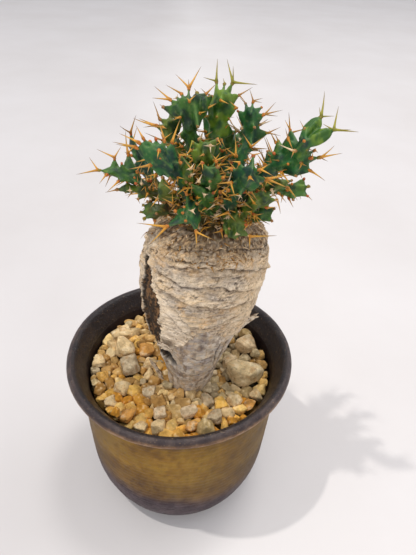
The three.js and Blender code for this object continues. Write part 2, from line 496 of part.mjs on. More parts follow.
    core: [[25.4, -6.7, 176.2, 2.5], [30.3, -9.0, 193.6, 2.5], [35.5, -10.0, 196.5, 2.5], [39.7, -10.0, 198.4, 2.1]],
    teeth: [
      [38.9, -10.0, 197.9, 43.0, -9.4, 199.2, 2.4, 3, [], 0],
      [37.0, -9.6, 197.7, 36.7, -12.1, 201.2, 2.0, 3, [], 0],
      [35.0, -8.7, 198.5, 34.3, -7.2, 202.4, 2.0, 2, [[33.5, -5.7, 204.4, 0, 0]], 1],
      [35.1, -10.0, 196.0, 35.0, -14.2, 196.5, 2.2, 2, [[35.7, -15.5, 194.9, 2, 0]], 0],
    ],
  },
  {
    name: "stem_front_right",
    core: [[17.3, -11.8, 176.6, 3.0], [19.0, -16.0, 195.1, 3.0], [21.2, -21.0, 201.4, 3.1], [22.7, -24.0, 206.5, 3.3], [23.4, -25.0, 209.7, 2.5]],
    teeth: [
      [23.8, -24.9, 209.3, 24.9, -21.5, 214.0, 2.5, 1, [[28.7, -20.8, 215.3, 0, 0], [22.6, -20.6, 215.0, 3, 0]], 1],
      [21.5, -23.9, 207.6, 19.9, -23.3, 211.7, 2.6, 0, [[16.4, -23.6, 212.7, 0, 0]], 0],
      [20.7, -22.7, 205.9, 17.4, -21.6, 208.8, 2.8, 0, [[14.2, -21.7, 209.9, 0, 0], [13.9, -22.9, 208.3, 0, 0]], 1],
      [24.2, -24.7, 205.7, 30.0, -25.5, 206.9, 3.0, 0, [[39.1, -25.8, 209.0, 0, 0], [38.1, -29.6, 205.4, 0, 1], [28.2, -26.5, 208.7, 0, 0]], 1],
      [23.4, -24.3, 206.7, 23.4, -28.9, 209.0, 2.4, 0, [[22.1, -30.6, 208.3, 0, 0], [25.0, -30.7, 208.4, 0, 0]], 0],
      [21.6, -21.0, 201.5, 20.9, -25.7, 200.1, 2.8, 2, [], 0],
      [20.7, -20.9, 202.6, 17.7, -23.5, 204.3, 2.4, 0, [[19.2, -28.1, 199.9, 0, 0], [11.5, -24.5, 204.1, 0, 0]], 0],
      [24.3, -24.3, 205.1, 27.5, -27.0, 206.0, 2.8, 3, [], 1],
    ],
  },
  {
    name: "stem_low_right",
    core: [[21.4, -9.6, 176.5, 2.7], [24.8, -13.0, 186.5, 2.7], [27.9, -17.0, 192.4, 2.8], [30.6, -18.0, 195.2, 2.4]],
    teeth: [
      [28.2, -16.8, 193.6, 26.1, -17.4, 197.7, 2.3, 1, [[23.3, -19.3, 196.5, 3, 0], [28.9, -20.9, 194.9, 3, 0]], 1],
      [31.0, -18.0, 195.2, 33.7, -17.2, 198.4, 2.0, 2, [[34.3, -18.7, 196.5, 2, 0]], 0],
      [31.4, -18.5, 194.6, 35.9, -19.3, 195.6, 2.2, 2, [[37.7, -22.6, 191.3, 0, 0], [35.8, -18.3, 197.0, 2, 0]], 1],
      [30.3, -17.7, 195.0, 30.3, -18.4, 199.3, 2.2, 3, [], 0],
      [26.0, -14.7, 189.8, 23.8, -17.3, 192.9, 2.2, 2, [[27.7, -20.1, 191.2, 3, 0]], 0],
    ],
  },
  {
    name: "stem_low_right_stub",
    core: [[22.8, -6.0, 176.7, 2.4], [26.7, -8.0, 180.5, 2.4], [30.6, -11.0, 184.6, 2.5], [33.4, -11.0, 185.7, 2.2]],
    teeth: [
      [33.4, -11.2, 185.3, 37.3, -11.0, 187.2, 2.2, 3, [], 0],
      [33.4, -11.7, 184.6, 36.2, -14.8, 183.8, 2.2, 3, [], 1],
      [31.0, -11.5, 184.0, 30.6, -15.8, 183.5, 2.0, 2, [[28.0, -17.4, 182.6, 2, 0], [32.1, -17.6, 182.8, 3, 0]], 1],
    ],
  },
  {
    name: "stem_front_low",
    core: [[7.2, -11.8, 176.5, 2.7], [5.0, -16.0, 192.9, 2.7], [3.5, -21.0, 192.1, 2.8], [2.7, -25.0, 191.2, 2.8]],
    teeth: [
      [3.1, -22.9, 191.8, 1.2, -20.7, 198.0, 2.6, 0, [[-1.2, -20.4, 199.8, 0, 0], [3.2, -18.6, 202.6, 0, 0]], 1],
      [1.6, -25.0, 191.2, -5.9, -28.2, 187.9, 2.9, 0, [[-17.3, -27.9, 188.9, 0, 1], [-13.0, -33.2, 182.2, 0, 1]], 1],
      [3.8, -24.7, 191.1, 5.0, -30.1, 187.3, 3.2, 0, [[5.5, -35.2, 182.2, 0, 1], [11.8, -33.2, 185.5, 0, 1]], 1],
      [1.6, -23.1, 191.9, 0.5, -26.0, 195.0, 1.8, 0, [], 0],
      [0.0, -24.5, 191.7, -2.7, -27.0, 193.8, 1.6, 0, [], 1],
      [1.2, -24.7, 191.5, -0.1, -28.9, 194.2, 1.8, 0, [], 1],
      [2.0, -25.4, 190.6, 1.0, -30.7, 191.9, 2.2, 0, [], 1],
      [3.5, -23.7, 191.4, 3.6, -27.2, 194.2, 2.2, 2, [], 0],
    ],
  },
  {
    name: "stem_left_stub",
    core: [[-0.3, -4.6, 176.2, 2.5], [-5.4, -6.0, 183.7, 2.5], [-9.5, -9.0, 183.8, 2.7], [-12.3, -9.0, 183.3, 2.2]],
    teeth: [
      [-12.8, -9.0, 183.2, -17.1, -8.8, 183.0, 1.7, 4, [[-17.5, -8.3, 183.7, 1, 0]], 1],
      [-12.3, -9.2, 182.9, -15.7, -11.5, 181.5, 1.8, 4, [[-15.9, -12.5, 180.2, 1, 0]], 1],
      [-12.4, -8.5, 183.9, -16.2, -7.2, 185.3, 1.7, 4, [[-17.0, -6.6, 186.0, 1, 0]], 1],
      [-11.5, -8.3, 184.3, -14.5, -8.1, 187.5, 1.7, 3, [[-14.4, -7.9, 187.7, 1, 0]], 1],
      [-10.3, -9.2, 183.4, -10.6, -13.2, 185.0, 1.8, 3, [], 0],
    ],
  },
  {
    name: "stem_front_right_low",
    core: [[16.1, -8.2, 177.2, 2.5], [17.5, -11.0, 188.4, 2.5], [18.1, -16.0, 186.2, 2.7], [18.4, -20.0, 183.4, 2.7]],
    teeth: [
      [18.1, -16.4, 185.9, 17.6, -19.9, 189.7, 2.2, 2, [[10.2, -22.0, 187.8, 0, 0], [20.9, -22.9, 187.5, 0, 0], [18.0, -18.6, 191.4, 2, 0]], 1],
      [17.3, -19.1, 183.8, 15.6, -22.1, 186.4, 1.8, 3, [], 0],
      [18.4, -20.0, 183.4, 18.0, -24.7, 185.5, 2.0, 3, [], 1],
      [17.7, -20.7, 182.4, 17.0, -24.9, 182.4, 2.0, 3, [], 1],
      [19.7, -21.0, 182.2, 21.6, -24.7, 181.0, 2.2, 3, [], 1],
      [19.7, -20.5, 182.9, 21.1, -24.5, 183.2, 2.0, 2, [], 1],
      [20.9, -19.0, 184.3, 25.1, -20.3, 184.7, 3.0, 1, [[23.8, -22.5, 183.2, 0, 0], [26.7, -19.1, 186.4, 0, 0]], 1],
      [21.2, -20.6, 182.9, 26.3, -23.3, 181.5, 2.2, 2, [[37.4, -23.5, 182.1, 0, 1], [26.5, -27.6, 177.2, 0, 0]], 1],
      [17.4, -12.3, 187.8, 15.4, -14.1, 191.8, 2.4, 2, [[14.8, -16.8, 189.9, 3, 0]], 1],
      [19.0, -13.4, 187.5, 22.4, -13.4, 191.2, 2.4, 2, [[23.9, -12.5, 192.6, 2, 0]], 1],
      [19.7, -15.3, 186.7, 22.1, -17.9, 189.3, 2.2, 2, [[22.1, -20.4, 187.4, 3, 0]], 1],
    ],
  },
  {
    name: "stem_back_mid",
    core: [[15.4, 2.6, 177.4, 2.8], [16.4, 4.0, 192.4, 2.8], [17.0, 8.0, 199.7, 2.8], [18.4, 10.0, 206.9, 2.8], [19.0, 10.0, 210.3, 2.4]],
    teeth: [
      [18.7, 10.0, 208.6, 21.7, 11.7, 211.2, 2.2, 3, [[16.5, 14.1, 213.9, 1, 0]], 0],
      [17.5, 10.0, 206.8, 15.1, 11.2, 210.1, 2.6, 3, [], 0],
      [18.5, 9.6, 205.3, 22.1, 8.6, 207.4, 2.4, 3, [], 0],
      [18.6, 10.0, 209.5, 17.7, 12.6, 212.8, 2.2, 3, [[15.6, 13.8, 214.3, 1, 0]], 0],
      [16.9, 9.1, 202.8, 14.9, 6.1, 205.1, 2.4, 0, [], 0],
    ],
  },
  {
    name: "stem_centre_upper",
    core: [[10.7, -7.5, 177.3, 2.8], [9.9, -10.0, 194.4, 2.8], [9.0, -13.0, 203.5, 2.8], [7.8, -16.0, 211.1, 3.0], [7.3, -16.0, 214.6, 2.4]],
    teeth: [
      [8.5, -15.9, 213.0, 9.3, -18.9, 216.0, 2.0, 2, [[6.8, -18.6, 216.1, 2, 0], [11.3, -18.9, 216.2, 2, 0], [9.5, -21.3, 214.5, 2, 0]], 0],
      [6.3, -16.1, 212.6, 3.3, -15.2, 215.7, 2.4, 4, [[1.8, -17.9, 213.6, 4, 0]], 0],
      [5.6, -16.2, 211.1, 2.7, -18.0, 213.8, 2.4, 4, [[0.1, -20.4, 212.0, 0, 0]], 1],
      [7.4, -16.2, 210.8, 6.9, -20.0, 213.2, 2.2, 3, [[5.1, -21.4, 212.9, 3, 0]], 0],
      [9.4, -15.3, 209.3, 11.0, -18.9, 210.9, 2.4, 4, [[13.4, -18.2, 213.8, 0, 0]], 0],
      [7.0, -15.9, 213.4, 5.7, -12.6, 215.8, 2.2, 3, [[6.9, -11.1, 218.0, 2, 0]], 0],
      [9.1, -16.0, 213.9, 11.9, -14.2, 216.6, 2.2, 3, [[13.8, -16.7, 215.1, 0, 0]], 1],
    ],
  },
  {
    name: "stem_centre",
    core: [[11.7, -11.1, 176.9, 2.8], [11.2, -15.0, 195.2, 2.8], [10.0, -19.0, 201.8, 3.1], [9.2, -23.0, 208.0, 3.1]],
    teeth: [
      [8.9, -22.4, 207.3, 6.8, -22.8, 211.0, 2.4, 1, [[4.4, -24.6, 210.1, 3, 0], [6.9, -25.5, 209.1, 0, 0]], 0],
      [10.0, -22.4, 207.4, 12.1, -24.4, 210.5, 2.6, 3, [[13.5, -24.3, 212.5, 0, 0]], 0],
      [8.8, -19.9, 203.4, 5.9, -23.0, 204.3, 2.4, 2, [[7.2, -22.0, 207.5, 2, 0], [4.6, -23.8, 204.7, 2, 0]], 0],
      [9.9, -19.9, 203.4, 9.6, -24.9, 205.2, 2.2, 3, [], 0],
      [10.9, -20.5, 204.2, 14.3, -22.6, 205.7, 2.6, 0, [[15.4, -22.6, 207.6, 0, 0]], 0],
      [10.1, -18.0, 200.1, 9.5, -23.0, 201.7, 2.2, 2, [], 0],
    ],
  },
  {
    name: "stem_centre_low",
    core: [[10.9, -9.6, 177.2, 2.5], [10.2, -13.0, 185.2, 2.5], [8.1, -18.0, 193.2, 2.8], [7.0, -21.0, 199.4, 3.0]],
    teeth: [
      [7.5, -20.3, 197.8, 7.8, -25.0, 199.9, 2.0, 2, [], 0],
      [8.7, -19.4, 196.5, 11.3, -21.7, 199.1, 2.4, 1, [[12.9, -21.6, 201.1, 0, 0]], 0],
      [9.7, -17.1, 192.8, 12.6, -19.2, 195.2, 2.4, 1, [[10.7, -21.1, 194.1, 3, 0], [13.7, -17.8, 197.1, 0, 0]], 0],
      [7.3, -18.9, 194.5, 5.4, -22.7, 195.0, 2.2, 3, [[7.5, -21.8, 196.5, 0, 0]], 0],
      [7.0, -17.4, 192.0, 5.2, -21.3, 192.1, 2.0, 3, [[8.8, -23.6, 191.1, 0, 0]], 0],
      [8.2, -16.7, 191.2, 8.5, -21.0, 192.2, 2.2, 3, [[6.5, -22.7, 191.4, 0, 0]], 0],
      [5.9, -21.0, 199.3, 2.6, -20.6, 202.0, 2.6, 3, [], 0],
      [9.9, -16.0, 190.4, 13.3, -17.3, 192.7, 2.0, 2, [], 0],
    ],
  },
  {
    name: "stem_centre_left",
    core: [[7.2, -8.9, 177.1, 2.7], [5.1, -12.0, 192.6, 2.7], [2.9, -16.0, 199.7, 2.8], [1.6, -19.0, 205.2, 2.8], [1.2, -19.0, 207.5, 2.2]],
    teeth: [
      [1.6, -18.9, 205.5, 2.5, -21.9, 208.5, 2.0, 2, [[0.1, -20.9, 211.4, 3, 0], [3.9, -20.7, 210.3, 2, 0], [0.9, -23.0, 208.5, 2, 0]], 0],
      [2.1, -18.4, 203.7, 2.9, -21.8, 206.1, 2.0, 2, [[4.5, -21.4, 206.7, 2, 0]], 0],
      [0.9, -18.8, 207.8, -1.2, -16.4, 210.8, 2.2, 0, [[4.4, -17.3, 211.8, 0, 0], [-2.6, -15.1, 212.4, 4, 0]], 1],
      [2.1, -16.8, 200.9, 1.0, -20.9, 202.8, 2.2, 3, [], 0],
      [2.9, -16.0, 199.7, 3.2, -19.2, 202.6, 2.0, 3, [[2.9, -23.3, 198.7, 3, 0]], 0],
      [0.9, -18.5, 203.3, -2.5, -21.1, 203.7, 2.2, 2, [[-4.1, -23.8, 201.6, 0, 0]], 0],
    ],
  },
  {
    name: "stem_left_mid",
    core: [[3.9, -6.0, 176.9, 2.7], [0.4, -8.0, 185.9, 2.7], [-3.6, -12.0, 191.5, 2.8], [-6.8, -13.0, 195.0, 2.7], [-7.9, -13.0, 196.7, 2.1]],
    teeth: [
      [-6.8, -13.4, 193.9, -9.9, -16.7, 193.3, 2.4, 2, [[-12.7, -19.7, 190.7, 0, 0], [-9.4, -15.3, 195.2, 3, 0]], 1],
      [-3.6, -12.2, 191.2, -3.9, -17.7, 192.2, 2.2, 0, [[-8.9, -17.0, 194.3, 0, 0], [-4.2, -15.5, 196.7, 0, 0]], 1],
      [-7.6, -13.0, 195.8, -8.1, -10.4, 199.2, 2.2, 3, [[-8.8, -9.4, 200.5, 2, 0]], 0],
      [-2.9, -11.5, 190.8, -2.0, -15.0, 193.1, 2.0, 2, [[-8.6, -15.2, 193.9, 4, 0]], 0],
      [-2.1, -10.7, 189.1, -1.8, -15.4, 190.4, 1.8, 0, [[-3.9, -15.8, 191.3, 0, 0]], 0],
      [-6.0, -12.6, 194.3, -4.9, -15.3, 197.5, 2.4, 3, [], 0],
    ],
  },
  {
    name: "stem_back_1",
    core: [[16.0, 16.0, 176.0, 2.9], [18.7, 20.7, 181.5, 2.9], [21.3, 25.3, 189.5, 2.8], [24.0, 30.0, 200.0, 2.2]],
    teeth: [
      [18.4, 20.2, 180.9, 21.0, 26.9, 180.6, 2.232, 3, [[16.6, 36.3, 180.9, 1, 1], [28.9, 29.7, 180.6, 1, 0]], 1],
      [19.3, 21.8, 183.2, 23.1, 18.1, 189.2, 2.232, 3, [[30.9, 14.6, 191.8, 0, 0], [18.2, 12.9, 196.0, 1, 0]], 1],
      [20.3, 23.5, 185.9, 14.9, 25.3, 192.4, 2.232, 3, [[13.5, 21.5, 199.4, 1, 0], [9.5, 31.6, 194.4, 1, 1]], 1],
      [21.2, 25.1, 189.0, 27.2, 29.2, 189.4, 2.232, 0, [[27.9, 36.8, 189.0, 0, 1], [35.6, 28.9, 189.8, 1, 0]], 1],
      [22.1, 26.7, 192.5, 27.1, 23.8, 197.8, 2.232, 3, [[36.4, 24.5, 197.8, 1, 1], [26.9, 19.6, 204.3, 1, 1]], 1],
      [23.1, 28.4, 196.2, 20.5, 33.0, 201.3, 2.232, 0, [[15.8, 31.5, 210.4, 0, 1], [18.7, 42.2, 203.8, 1, 1]], 1],
      [24.0, 30.0, 200.0, 27.8, 36.8, 202.9, 2.232, 1, [[24.7, 45.3, 206.9, 1, 1], [36.2, 38.8, 204.8, 1, 1]], 1],
    ],
  },
  {
    name: "stem_back_2",
    core: [[3.0, 18.0, 176.0, 2.9], [0.0, 23.0, 180.9, 2.9], [-3.0, 28.0, 188.2, 2.8], [-6.0, 33.0, 198.0, 2.2]],
    teeth: [
      [0.3, 22.5, 180.3, 1.8, 29.9, 181.2, 2.232, 1, [[-4.0, 37.1, 177.0, 0, 1], [8.1, 35.0, 182.8, 1, 1]], 1],
      [-0.7, 24.2, 182.5, 1.1, 22.9, 189.4, 2.232, 1, [[9.3, 25.3, 194.8, 0, 0], [-3.4, 16.7, 196.1, 1, 1]], 1],
      [-1.8, 26.0, 184.9, -9.0, 26.5, 186.4, 2.232, 3, [[-15.6, 20.9, 192.1, 1, 0], [-13.3, 32.5, 183.3, 0, 1]], 1],
      [-2.8, 27.8, 187.8, 1.7, 34.0, 189.6, 2.232, 3, [[2.6, 41.9, 187.7, 1, 1], [8.0, 36.7, 196.7, 1, 1]], 1],
      [-3.9, 29.5, 191.0, -4.2, 26.3, 198.1, 2.232, 1, [[0.7, 23.6, 204.3, 0, 1], [-11.2, 20.5, 201.8, 1, 1]], 1],
      [-4.9, 31.2, 194.4, -9.8, 36.0, 196.5, 2.232, 3, [[-18.6, 35.9, 200.3, 1, 1], [-9.5, 46.0, 197.7, 0, 1]], 1],
      [-6.0, 33.0, 198.0, -3.0, 38.8, 203.7, 2.232, 1, [[-2.9, 46.6, 204.7, 1, 1], [1.5, 37.2, 212.6, 1, 1]], 1],
    ],
  },
  {
    name: "stem_back_3",
    core: [[22.0, 6.0, 178.0, 2.9], [29.0, 9.0, 183.4, 2.9], [36.0, 12.0, 191.7, 2.8], [43.0, 15.0, 203.0, 2.2]],
    teeth: [
      [28.3, 8.7, 182.8, 28.2, 4.6, 188.6, 2.232, 1, [[34.8, -2.2, 192.4, 0, 0], [23.9, 4.3, 196.3, 1, 0]], 1],
      [30.8, 9.8, 185.1, 28.4, 13.7, 192.1, 2.232, 0, [[27.3, 11.7, 202.4, 1, 1], [28.0, 21.5, 193.1, 1, 0]], 1],
      [33.2, 10.8, 188.0, 39.8, 13.2, 186.7, 2.232, 3, [[42.9, 22.1, 186.4, 1, 1], [48.4, 7.7, 185.3, 0, 1]], 1],
      [35.6, 11.8, 191.2, 35.3, 7.6, 198.2, 2.232, 3, [[38.1, 2.0, 202.4, 1, 1], [32.3, 8.1, 205.2, 1, 1]], 1],
      [38.1, 12.9, 194.9, 38.7, 19.4, 198.2, 2.232, 3, [[35.1, 22.9, 205.5, 1, 1], [46.2, 24.9, 194.7, 0, 1]], 1],
      [40.6, 14.0, 198.9, 48.8, 15.8, 199.6, 2.232, 3, [[53.4, 22.9, 198.2, 0, 1], [55.4, 9.8, 199.3, 0, 1]], 1],
      [43.0, 15.0, 203.0, 44.5, 12.5, 210.4, 2.232, 0, [[51.5, 7.2, 215.0, 1, 1], [42.8, 13.0, 219.3, 0, 1]], 1],
    ],
  },
  {
    name: "stem_back_4",
    core: [[-3.0, 8.0, 176.0, 2.9], [-9.3, 11.7, 180.9, 2.9], [-15.7, 15.3, 188.6, 2.8], [-22.0, 19.0, 199.0, 2.2]],
    teeth: [
      [-8.7, 11.3, 180.3, -7.9, 8.2, 187.8, 2.232, 3, [[-2.3, 10.0, 194.5, 1, 1], [-8.3, -0.1, 192.9, 1, 0]], 1],
      [-10.9, 12.6, 182.5, -18.1, 10.3, 182.3, 2.232, 0, [[-20.9, 2.8, 185.9, 0, 1], [-26.6, 14.3, 178.6, 0, 1]], 1],
      [-13.1, 13.9, 185.1, -16.5, 21.4, 184.0, 2.232, 0, [[-23.3, 24.7, 181.1, 0, 1], [-13.0, 27.9, 186.9, 1, 1]], 1],
      [-15.3, 15.2, 188.1, -14.7, 13.8, 196.2, 2.232, 0, [[-10.1, 15.9, 202.0, 1, 1], [-16.5, 6.6, 202.7, 0, 1]], 1],
      [-17.6, 16.4, 191.5, -26.2, 15.5, 190.0, 2.232, 1, [[-31.4, 9.5, 191.7, 0, 1], [-34.0, 21.8, 187.5, 1, 1]], 1],
      [-19.8, 17.7, 195.2, -23.5, 24.1, 197.7, 2.232, 3, [[-31.1, 27.2, 197.7, 0, 1], [-21.3, 30.3, 204.8, 0, 1]], 1],
      [-22.0, 19.0, 199.0, -22.9, 17.7, 206.4, 2.232, 1, [[-20.4, 19.2, 213.9, 0, 1], [-26.9, 13.0, 211.2, 1, 1]], 1],
    ],
  },
  {
    name: "stem_back_5",
    core: [[10.8, 9.8, 176.8, 3.0], [10.0, 14.0, 178.0, 3.0], [10.7, 17.3, 185.8, 3.0], [11.3, 20.7, 196.4, 2.9], [12.0, 24.0, 210.0, 2.3]],
    teeth: [
      [10.6, 17.0, 184.9, 4.6, 14.9, 190.0, 2.356, 3, [[2.5, 8.9, 196.2, 0, 1], [-3.4, 20.7, 193.2, 1, 1]], 1],
      [10.8, 18.0, 187.6, 13.4, 26.1, 190.0, 2.356, 0, [[9.2, 35.6, 189.6, 0, 1], [20.9, 30.4, 193.5, 0, 0]], 1],
      [11.0, 19.0, 190.6, 15.5, 15.1, 195.5, 2.356, 1, [[23.3, 14.9, 197.5, 1, 1], [12.2, 9.1, 203.0, 0, 0]], 1],
      [11.2, 20.0, 194.0, 4.7, 19.6, 198.6, 2.356, 3, [[3.3, 13.6, 205.4, 0, 1], [-2.8, 26.0, 200.9, 1, 0]], 1],
      [11.4, 21.0, 197.7, 13.0, 28.8, 198.8, 2.356, 0, [[8.4, 34.9, 199.7, 0, 1], [19.1, 34.4, 201.6, 1, 0]], 1],
      [11.6, 22.0, 201.6, 16.3, 18.1, 206.4, 2.356, 1, [[26.0, 19.8, 208.7, 0, 1], [15.8, 10.4, 210.9, 0, 0]], 1],
      [11.8, 23.0, 205.8, 7.9, 23.8, 213.0, 2.356, 3, [[9.0, 19.5, 220.7, 1, 1], [2.0, 30.4, 216.5, 0, 1]], 1],
      [12.0, 24.0, 210.0, 13.8, 30.8, 214.8, 2.356, 0, [[9.7, 38.0, 219.5, 1, 1], [20.9, 31.2, 219.4, 1, 1]], 1],
    ],
  },
  {
    name: "stem_back_6",
    core: [[25.0, 15.0, 174.0, 2.7], [29.7, 20.3, 175.9, 2.7], [34.3, 25.7, 179.9, 2.6], [39.0, 31.0, 186.0, 2.0]],
    teeth: [
      [29.2, 19.8, 175.6, 28.1, 27.6, 176.4, 2.108, 0, [[24.1, 32.7, 181.1, 1, 1], [31.6, 35.3, 170.2, 1, 1]], 1],
      [31.2, 22.0, 176.9, 37.5, 23.8, 173.7, 2.108, 0, [[38.2, 30.2, 167.9, 1, 1], [45.9, 20.3, 175.0, 1, 1]], 1],
      [33.1, 24.3, 178.6, 34.0, 24.5, 187.1, 2.108, 0, [[37.3, 19.8, 194.5, 1, 0], [30.4, 29.5, 194.2, 0, 0]], 1],
      [35.1, 26.5, 180.8, 35.6, 34.6, 179.9, 2.108, 0, [[30.9, 41.5, 184.4, 0, 1], [38.7, 39.6, 174.7, 0, 1]], 1],
      [37.0, 28.8, 183.3, 44.2, 32.7, 183.2, 2.108, 1, [[49.8, 39.6, 179.1, 0, 1], [53.4, 31.6, 187.2, 0, 1]], 1],
      [39.0, 31.0, 186.0, 42.0, 31.3, 193.1, 2.108, 1, [[49.2, 27.9, 195.9, 0, 1], [38.3, 35.3, 200.7, 0, 1]], 1],
    ],
  },
];
const CORE_SIDES = 6;
const TOOTH_SIDES = 4;
const SPINE_SIDES = 3;
const BLEND = 0.1; // facets finer than this are merged

// A round bar swept through [x, y, z, radius] points, closed at both ends.
function sweep(points, sides, grow) {
  const P = points.map((p) => new THREE.Vector3(p[0], p[1], p[2]));
  const n = P.length;
  const T = P.map((_, i) =>
    P[Math.min(n - 1, i + 1)].clone().sub(P[Math.max(0, i - 1)]).normalize(),
  );
  P[0].addScaledVector(T[0], -grow);
  P[n - 1].addScaledVector(T[n - 1], grow);
  const N = [];
  let ref = Math.abs(T[0].z) < 0.9 ? new THREE.Vector3(0, 0, 1) : new THREE.Vector3(1, 0, 0);
  for (let i = 0; i < n; i++) {
    ref = ref.clone().addScaledVector(T[i], -ref.dot(T[i])).normalize();
    N.push(ref);
  }
  const g = new THREE.CylinderGeometry(1, 1, 1, sides, n - 1);
  const p = g.attributes.position;
  for (let k = 0; k < p.count; k++) {
    const i = Math.round((p.getY(k) + 0.5) * (n - 1));
    const r = points[i][3] + grow;
    const B = N[i].clone().cross(T[i]);
    const v = P[i].clone();
    v.addScaledVector(N[i], p.getX(k) * r).addScaledVector(B, p.getZ(k) * r);
    p.setXYZ(k, v.x, v.y, v.z);
  }
  return solid(g);
}

function stemBody(stem, grow) {
  const c = stem.core;
  // rounded growing tip
  const a = c[c.length - 2];
  const b = c[c.length - 1];
  const d = Math.hypot(b[0] - a[0], b[1] - a[1], b[2] - a[2]);
  const q = [0, 1, 2].map((k) => b[k] + ((b[k] - a[k]) / d) * b[3] * 0.8);
  const parts = [sweep([...c, [...q, b[3] * 0.45]], CORE_SIDES, grow)];
  for (const t of stem.teeth)
    if (t[9])
      parts.push(member(t.slice(0, 3), t.slice(3, 6), t[6], 0.5, TOOTH_SIDES, grow));
  return wasm.Manifold.union(parts);
}

function stemSpines(stem, grow) {
  const parts = [];
  for (const t of stem.teeth) {
    if (!t[9]) continue;
    // each spine starts a little inside its tooth
    const v = [0, 1, 2].map((k) => t[3 + k] + (t[k] - t[3 + k]) * 0.12);
    for (const s of t[8])
      if (s[4]) parts.push(member(v, s.slice(0, 3), 0.55, 0, SPINE_SIDES, grow));
  }
  return parts.length ? wasm.Manifold.union(parts) : null;
}

const bodies = [];
const bodiesPlus = STEMS.map((s) => stemBody(s, GAP));
STEMS.forEach((stem, i) => {
  let s = stemBody(stem, 0).subtract(caudexPlus);
  for (let j = 0; j < i; j++) s = s.subtract(bodiesPlus[j]);
  bodies.push(largest(s));
});
const spinesPlus = [];
STEMS.forEach((stem, i) => {
  let s = stemSpines(stem, 0);
  let whole = bodies[i];
  if (s) {
    s = s.subtract(caudexPlus);
    bodiesPlus.forEach((b, j) => {
      if (j !== i) s = s.subtract(b);
    });
    for (const p of spinesPlus) if (p) s = s.subtract(p);
    whole = whole.add(s);
  }
  spinesPlus.push(stemSpines(stem, GAP));
  whole = largest(whole).simplify(BLEND).subtract(caudexNear);
  whole = settled(largest(whole));
  add(stem.name, toGeometry(whole), 0x2f6b34, 0.6);
});

export default group;
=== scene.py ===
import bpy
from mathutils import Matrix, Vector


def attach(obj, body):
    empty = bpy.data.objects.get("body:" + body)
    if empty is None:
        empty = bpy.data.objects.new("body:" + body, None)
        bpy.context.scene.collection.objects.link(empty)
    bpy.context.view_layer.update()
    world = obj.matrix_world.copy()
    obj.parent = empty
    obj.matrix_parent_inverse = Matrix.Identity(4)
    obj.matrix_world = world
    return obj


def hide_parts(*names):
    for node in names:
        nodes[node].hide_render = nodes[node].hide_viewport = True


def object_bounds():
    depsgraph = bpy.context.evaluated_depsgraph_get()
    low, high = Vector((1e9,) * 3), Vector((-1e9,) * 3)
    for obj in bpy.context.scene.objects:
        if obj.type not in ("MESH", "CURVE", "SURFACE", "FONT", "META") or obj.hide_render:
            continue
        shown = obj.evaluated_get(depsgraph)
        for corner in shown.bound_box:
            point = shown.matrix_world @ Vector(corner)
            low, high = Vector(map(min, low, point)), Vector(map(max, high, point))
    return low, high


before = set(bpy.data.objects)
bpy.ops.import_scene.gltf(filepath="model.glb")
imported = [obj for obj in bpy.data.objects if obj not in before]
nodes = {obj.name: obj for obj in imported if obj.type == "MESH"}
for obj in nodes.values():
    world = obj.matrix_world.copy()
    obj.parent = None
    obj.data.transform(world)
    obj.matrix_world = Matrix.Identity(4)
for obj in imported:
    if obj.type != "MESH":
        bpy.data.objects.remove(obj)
CAD_BOUNDS = [list(c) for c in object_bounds()]

import math
import bpy
import numpy as np
from mathutils import Matrix, Vector

MM = 0.001


# ------------------------------------------------------------------ helpers
def lin(c):
    """sRGB 0-255 to linear."""
    c = np.asarray(c, float) / 255.0
    return np.where(c <= 0.04045, c / 12.92, ((c + 0.055) / 1.055) ** 2.4)


def smooth(a, b, x):
    t = np.clip((x - a) / (b - a), 0, 1)
    return t * t * (3 - 2 * t)


def mixc(a, b, t):
    t = np.asarray(t)[..., None]
    return a * (1 - t) + b * t


def _hash(i, j, k, s):
    n = (i * 374761393 + j * 668265263 + k * 2147483647 + s * 1442695041) & 0xFFFFFFFF
    n = ((n ^ (n >> 13)) * 1274126177) & 0xFFFFFFFF
    n = ((n ^ (n >> 16)) * 2246822519) & 0xFFFFFFFF
    return ((n ^ (n >> 15)) & 0xFFFFFF) / float(0xFFFFFF)


def noise(p, seed=0):
    """Value noise, about -1 to 1."""
    p = np.asarray(p, float)
    f = np.floor(p)
    i = f.astype(np.int64)
    u = p - f
    u = u * u * u * (u * (u * 6 - 15) + 10)
    r = 0
    for dx in (0, 1):
        wx = u[..., 0] if dx else 1 - u[..., 0]
        for dy in (0, 1):
            wy = u[..., 1] if dy else 1 - u[..., 1]
            for dz in (0, 1):
                wz = u[..., 2] if dz else 1 - u[..., 2]
                r = r + wx * wy * wz * _hash(i[..., 0] + dx, i[..., 1] + dy, i[..., 2] + dz, seed)
    return r * 2 - 1


def fbm(p, seed=0, octaves=4, gain=0.5):
    a, s, r = 1.0, 0.0, 0
    q = np.asarray(p, float)
    for o in range(octaves):
        r = r + a * noise(q * 2.03**o + 17.3 * o, seed + o)
        s += a
        a *= gain
    return r / s


def worley(p, seed=0):
    """Distance to the nearest and second nearest cell point, and the nearest cell's own value."""
    p = np.asarray(p, float)
    c = np.floor(p).astype(np.int64)
    d1 = np.full(p.shape[:-1], 9.0)
    d2 = np.full(p.shape[:-1], 9.0)
    v = np.zeros(p.shape[:-1])
    for dx in (-1, 0, 1):
        for dy in (-1, 0, 1):
            for dz in (-1, 0, 1):
                i, j, k = c[..., 0] + dx, c[..., 1] + dy, c[..., 2] + dz
                q = np.stack([i + _hash(i, j, k, seed), j + _hash(i, j, k, seed + 1), k + _hash(i, j, k, seed + 2)], -1)
                d = np.sqrt(((q - p) ** 2).sum(-1))
                w = _hash(i, j, k, seed + 3)
                near = d < d1
                d2 = np.where(near, d1, np.minimum(d2, d))
                v = np.where(near, w, v)
                d1 = np.where(near, d, d1)
    return d1, d2, v


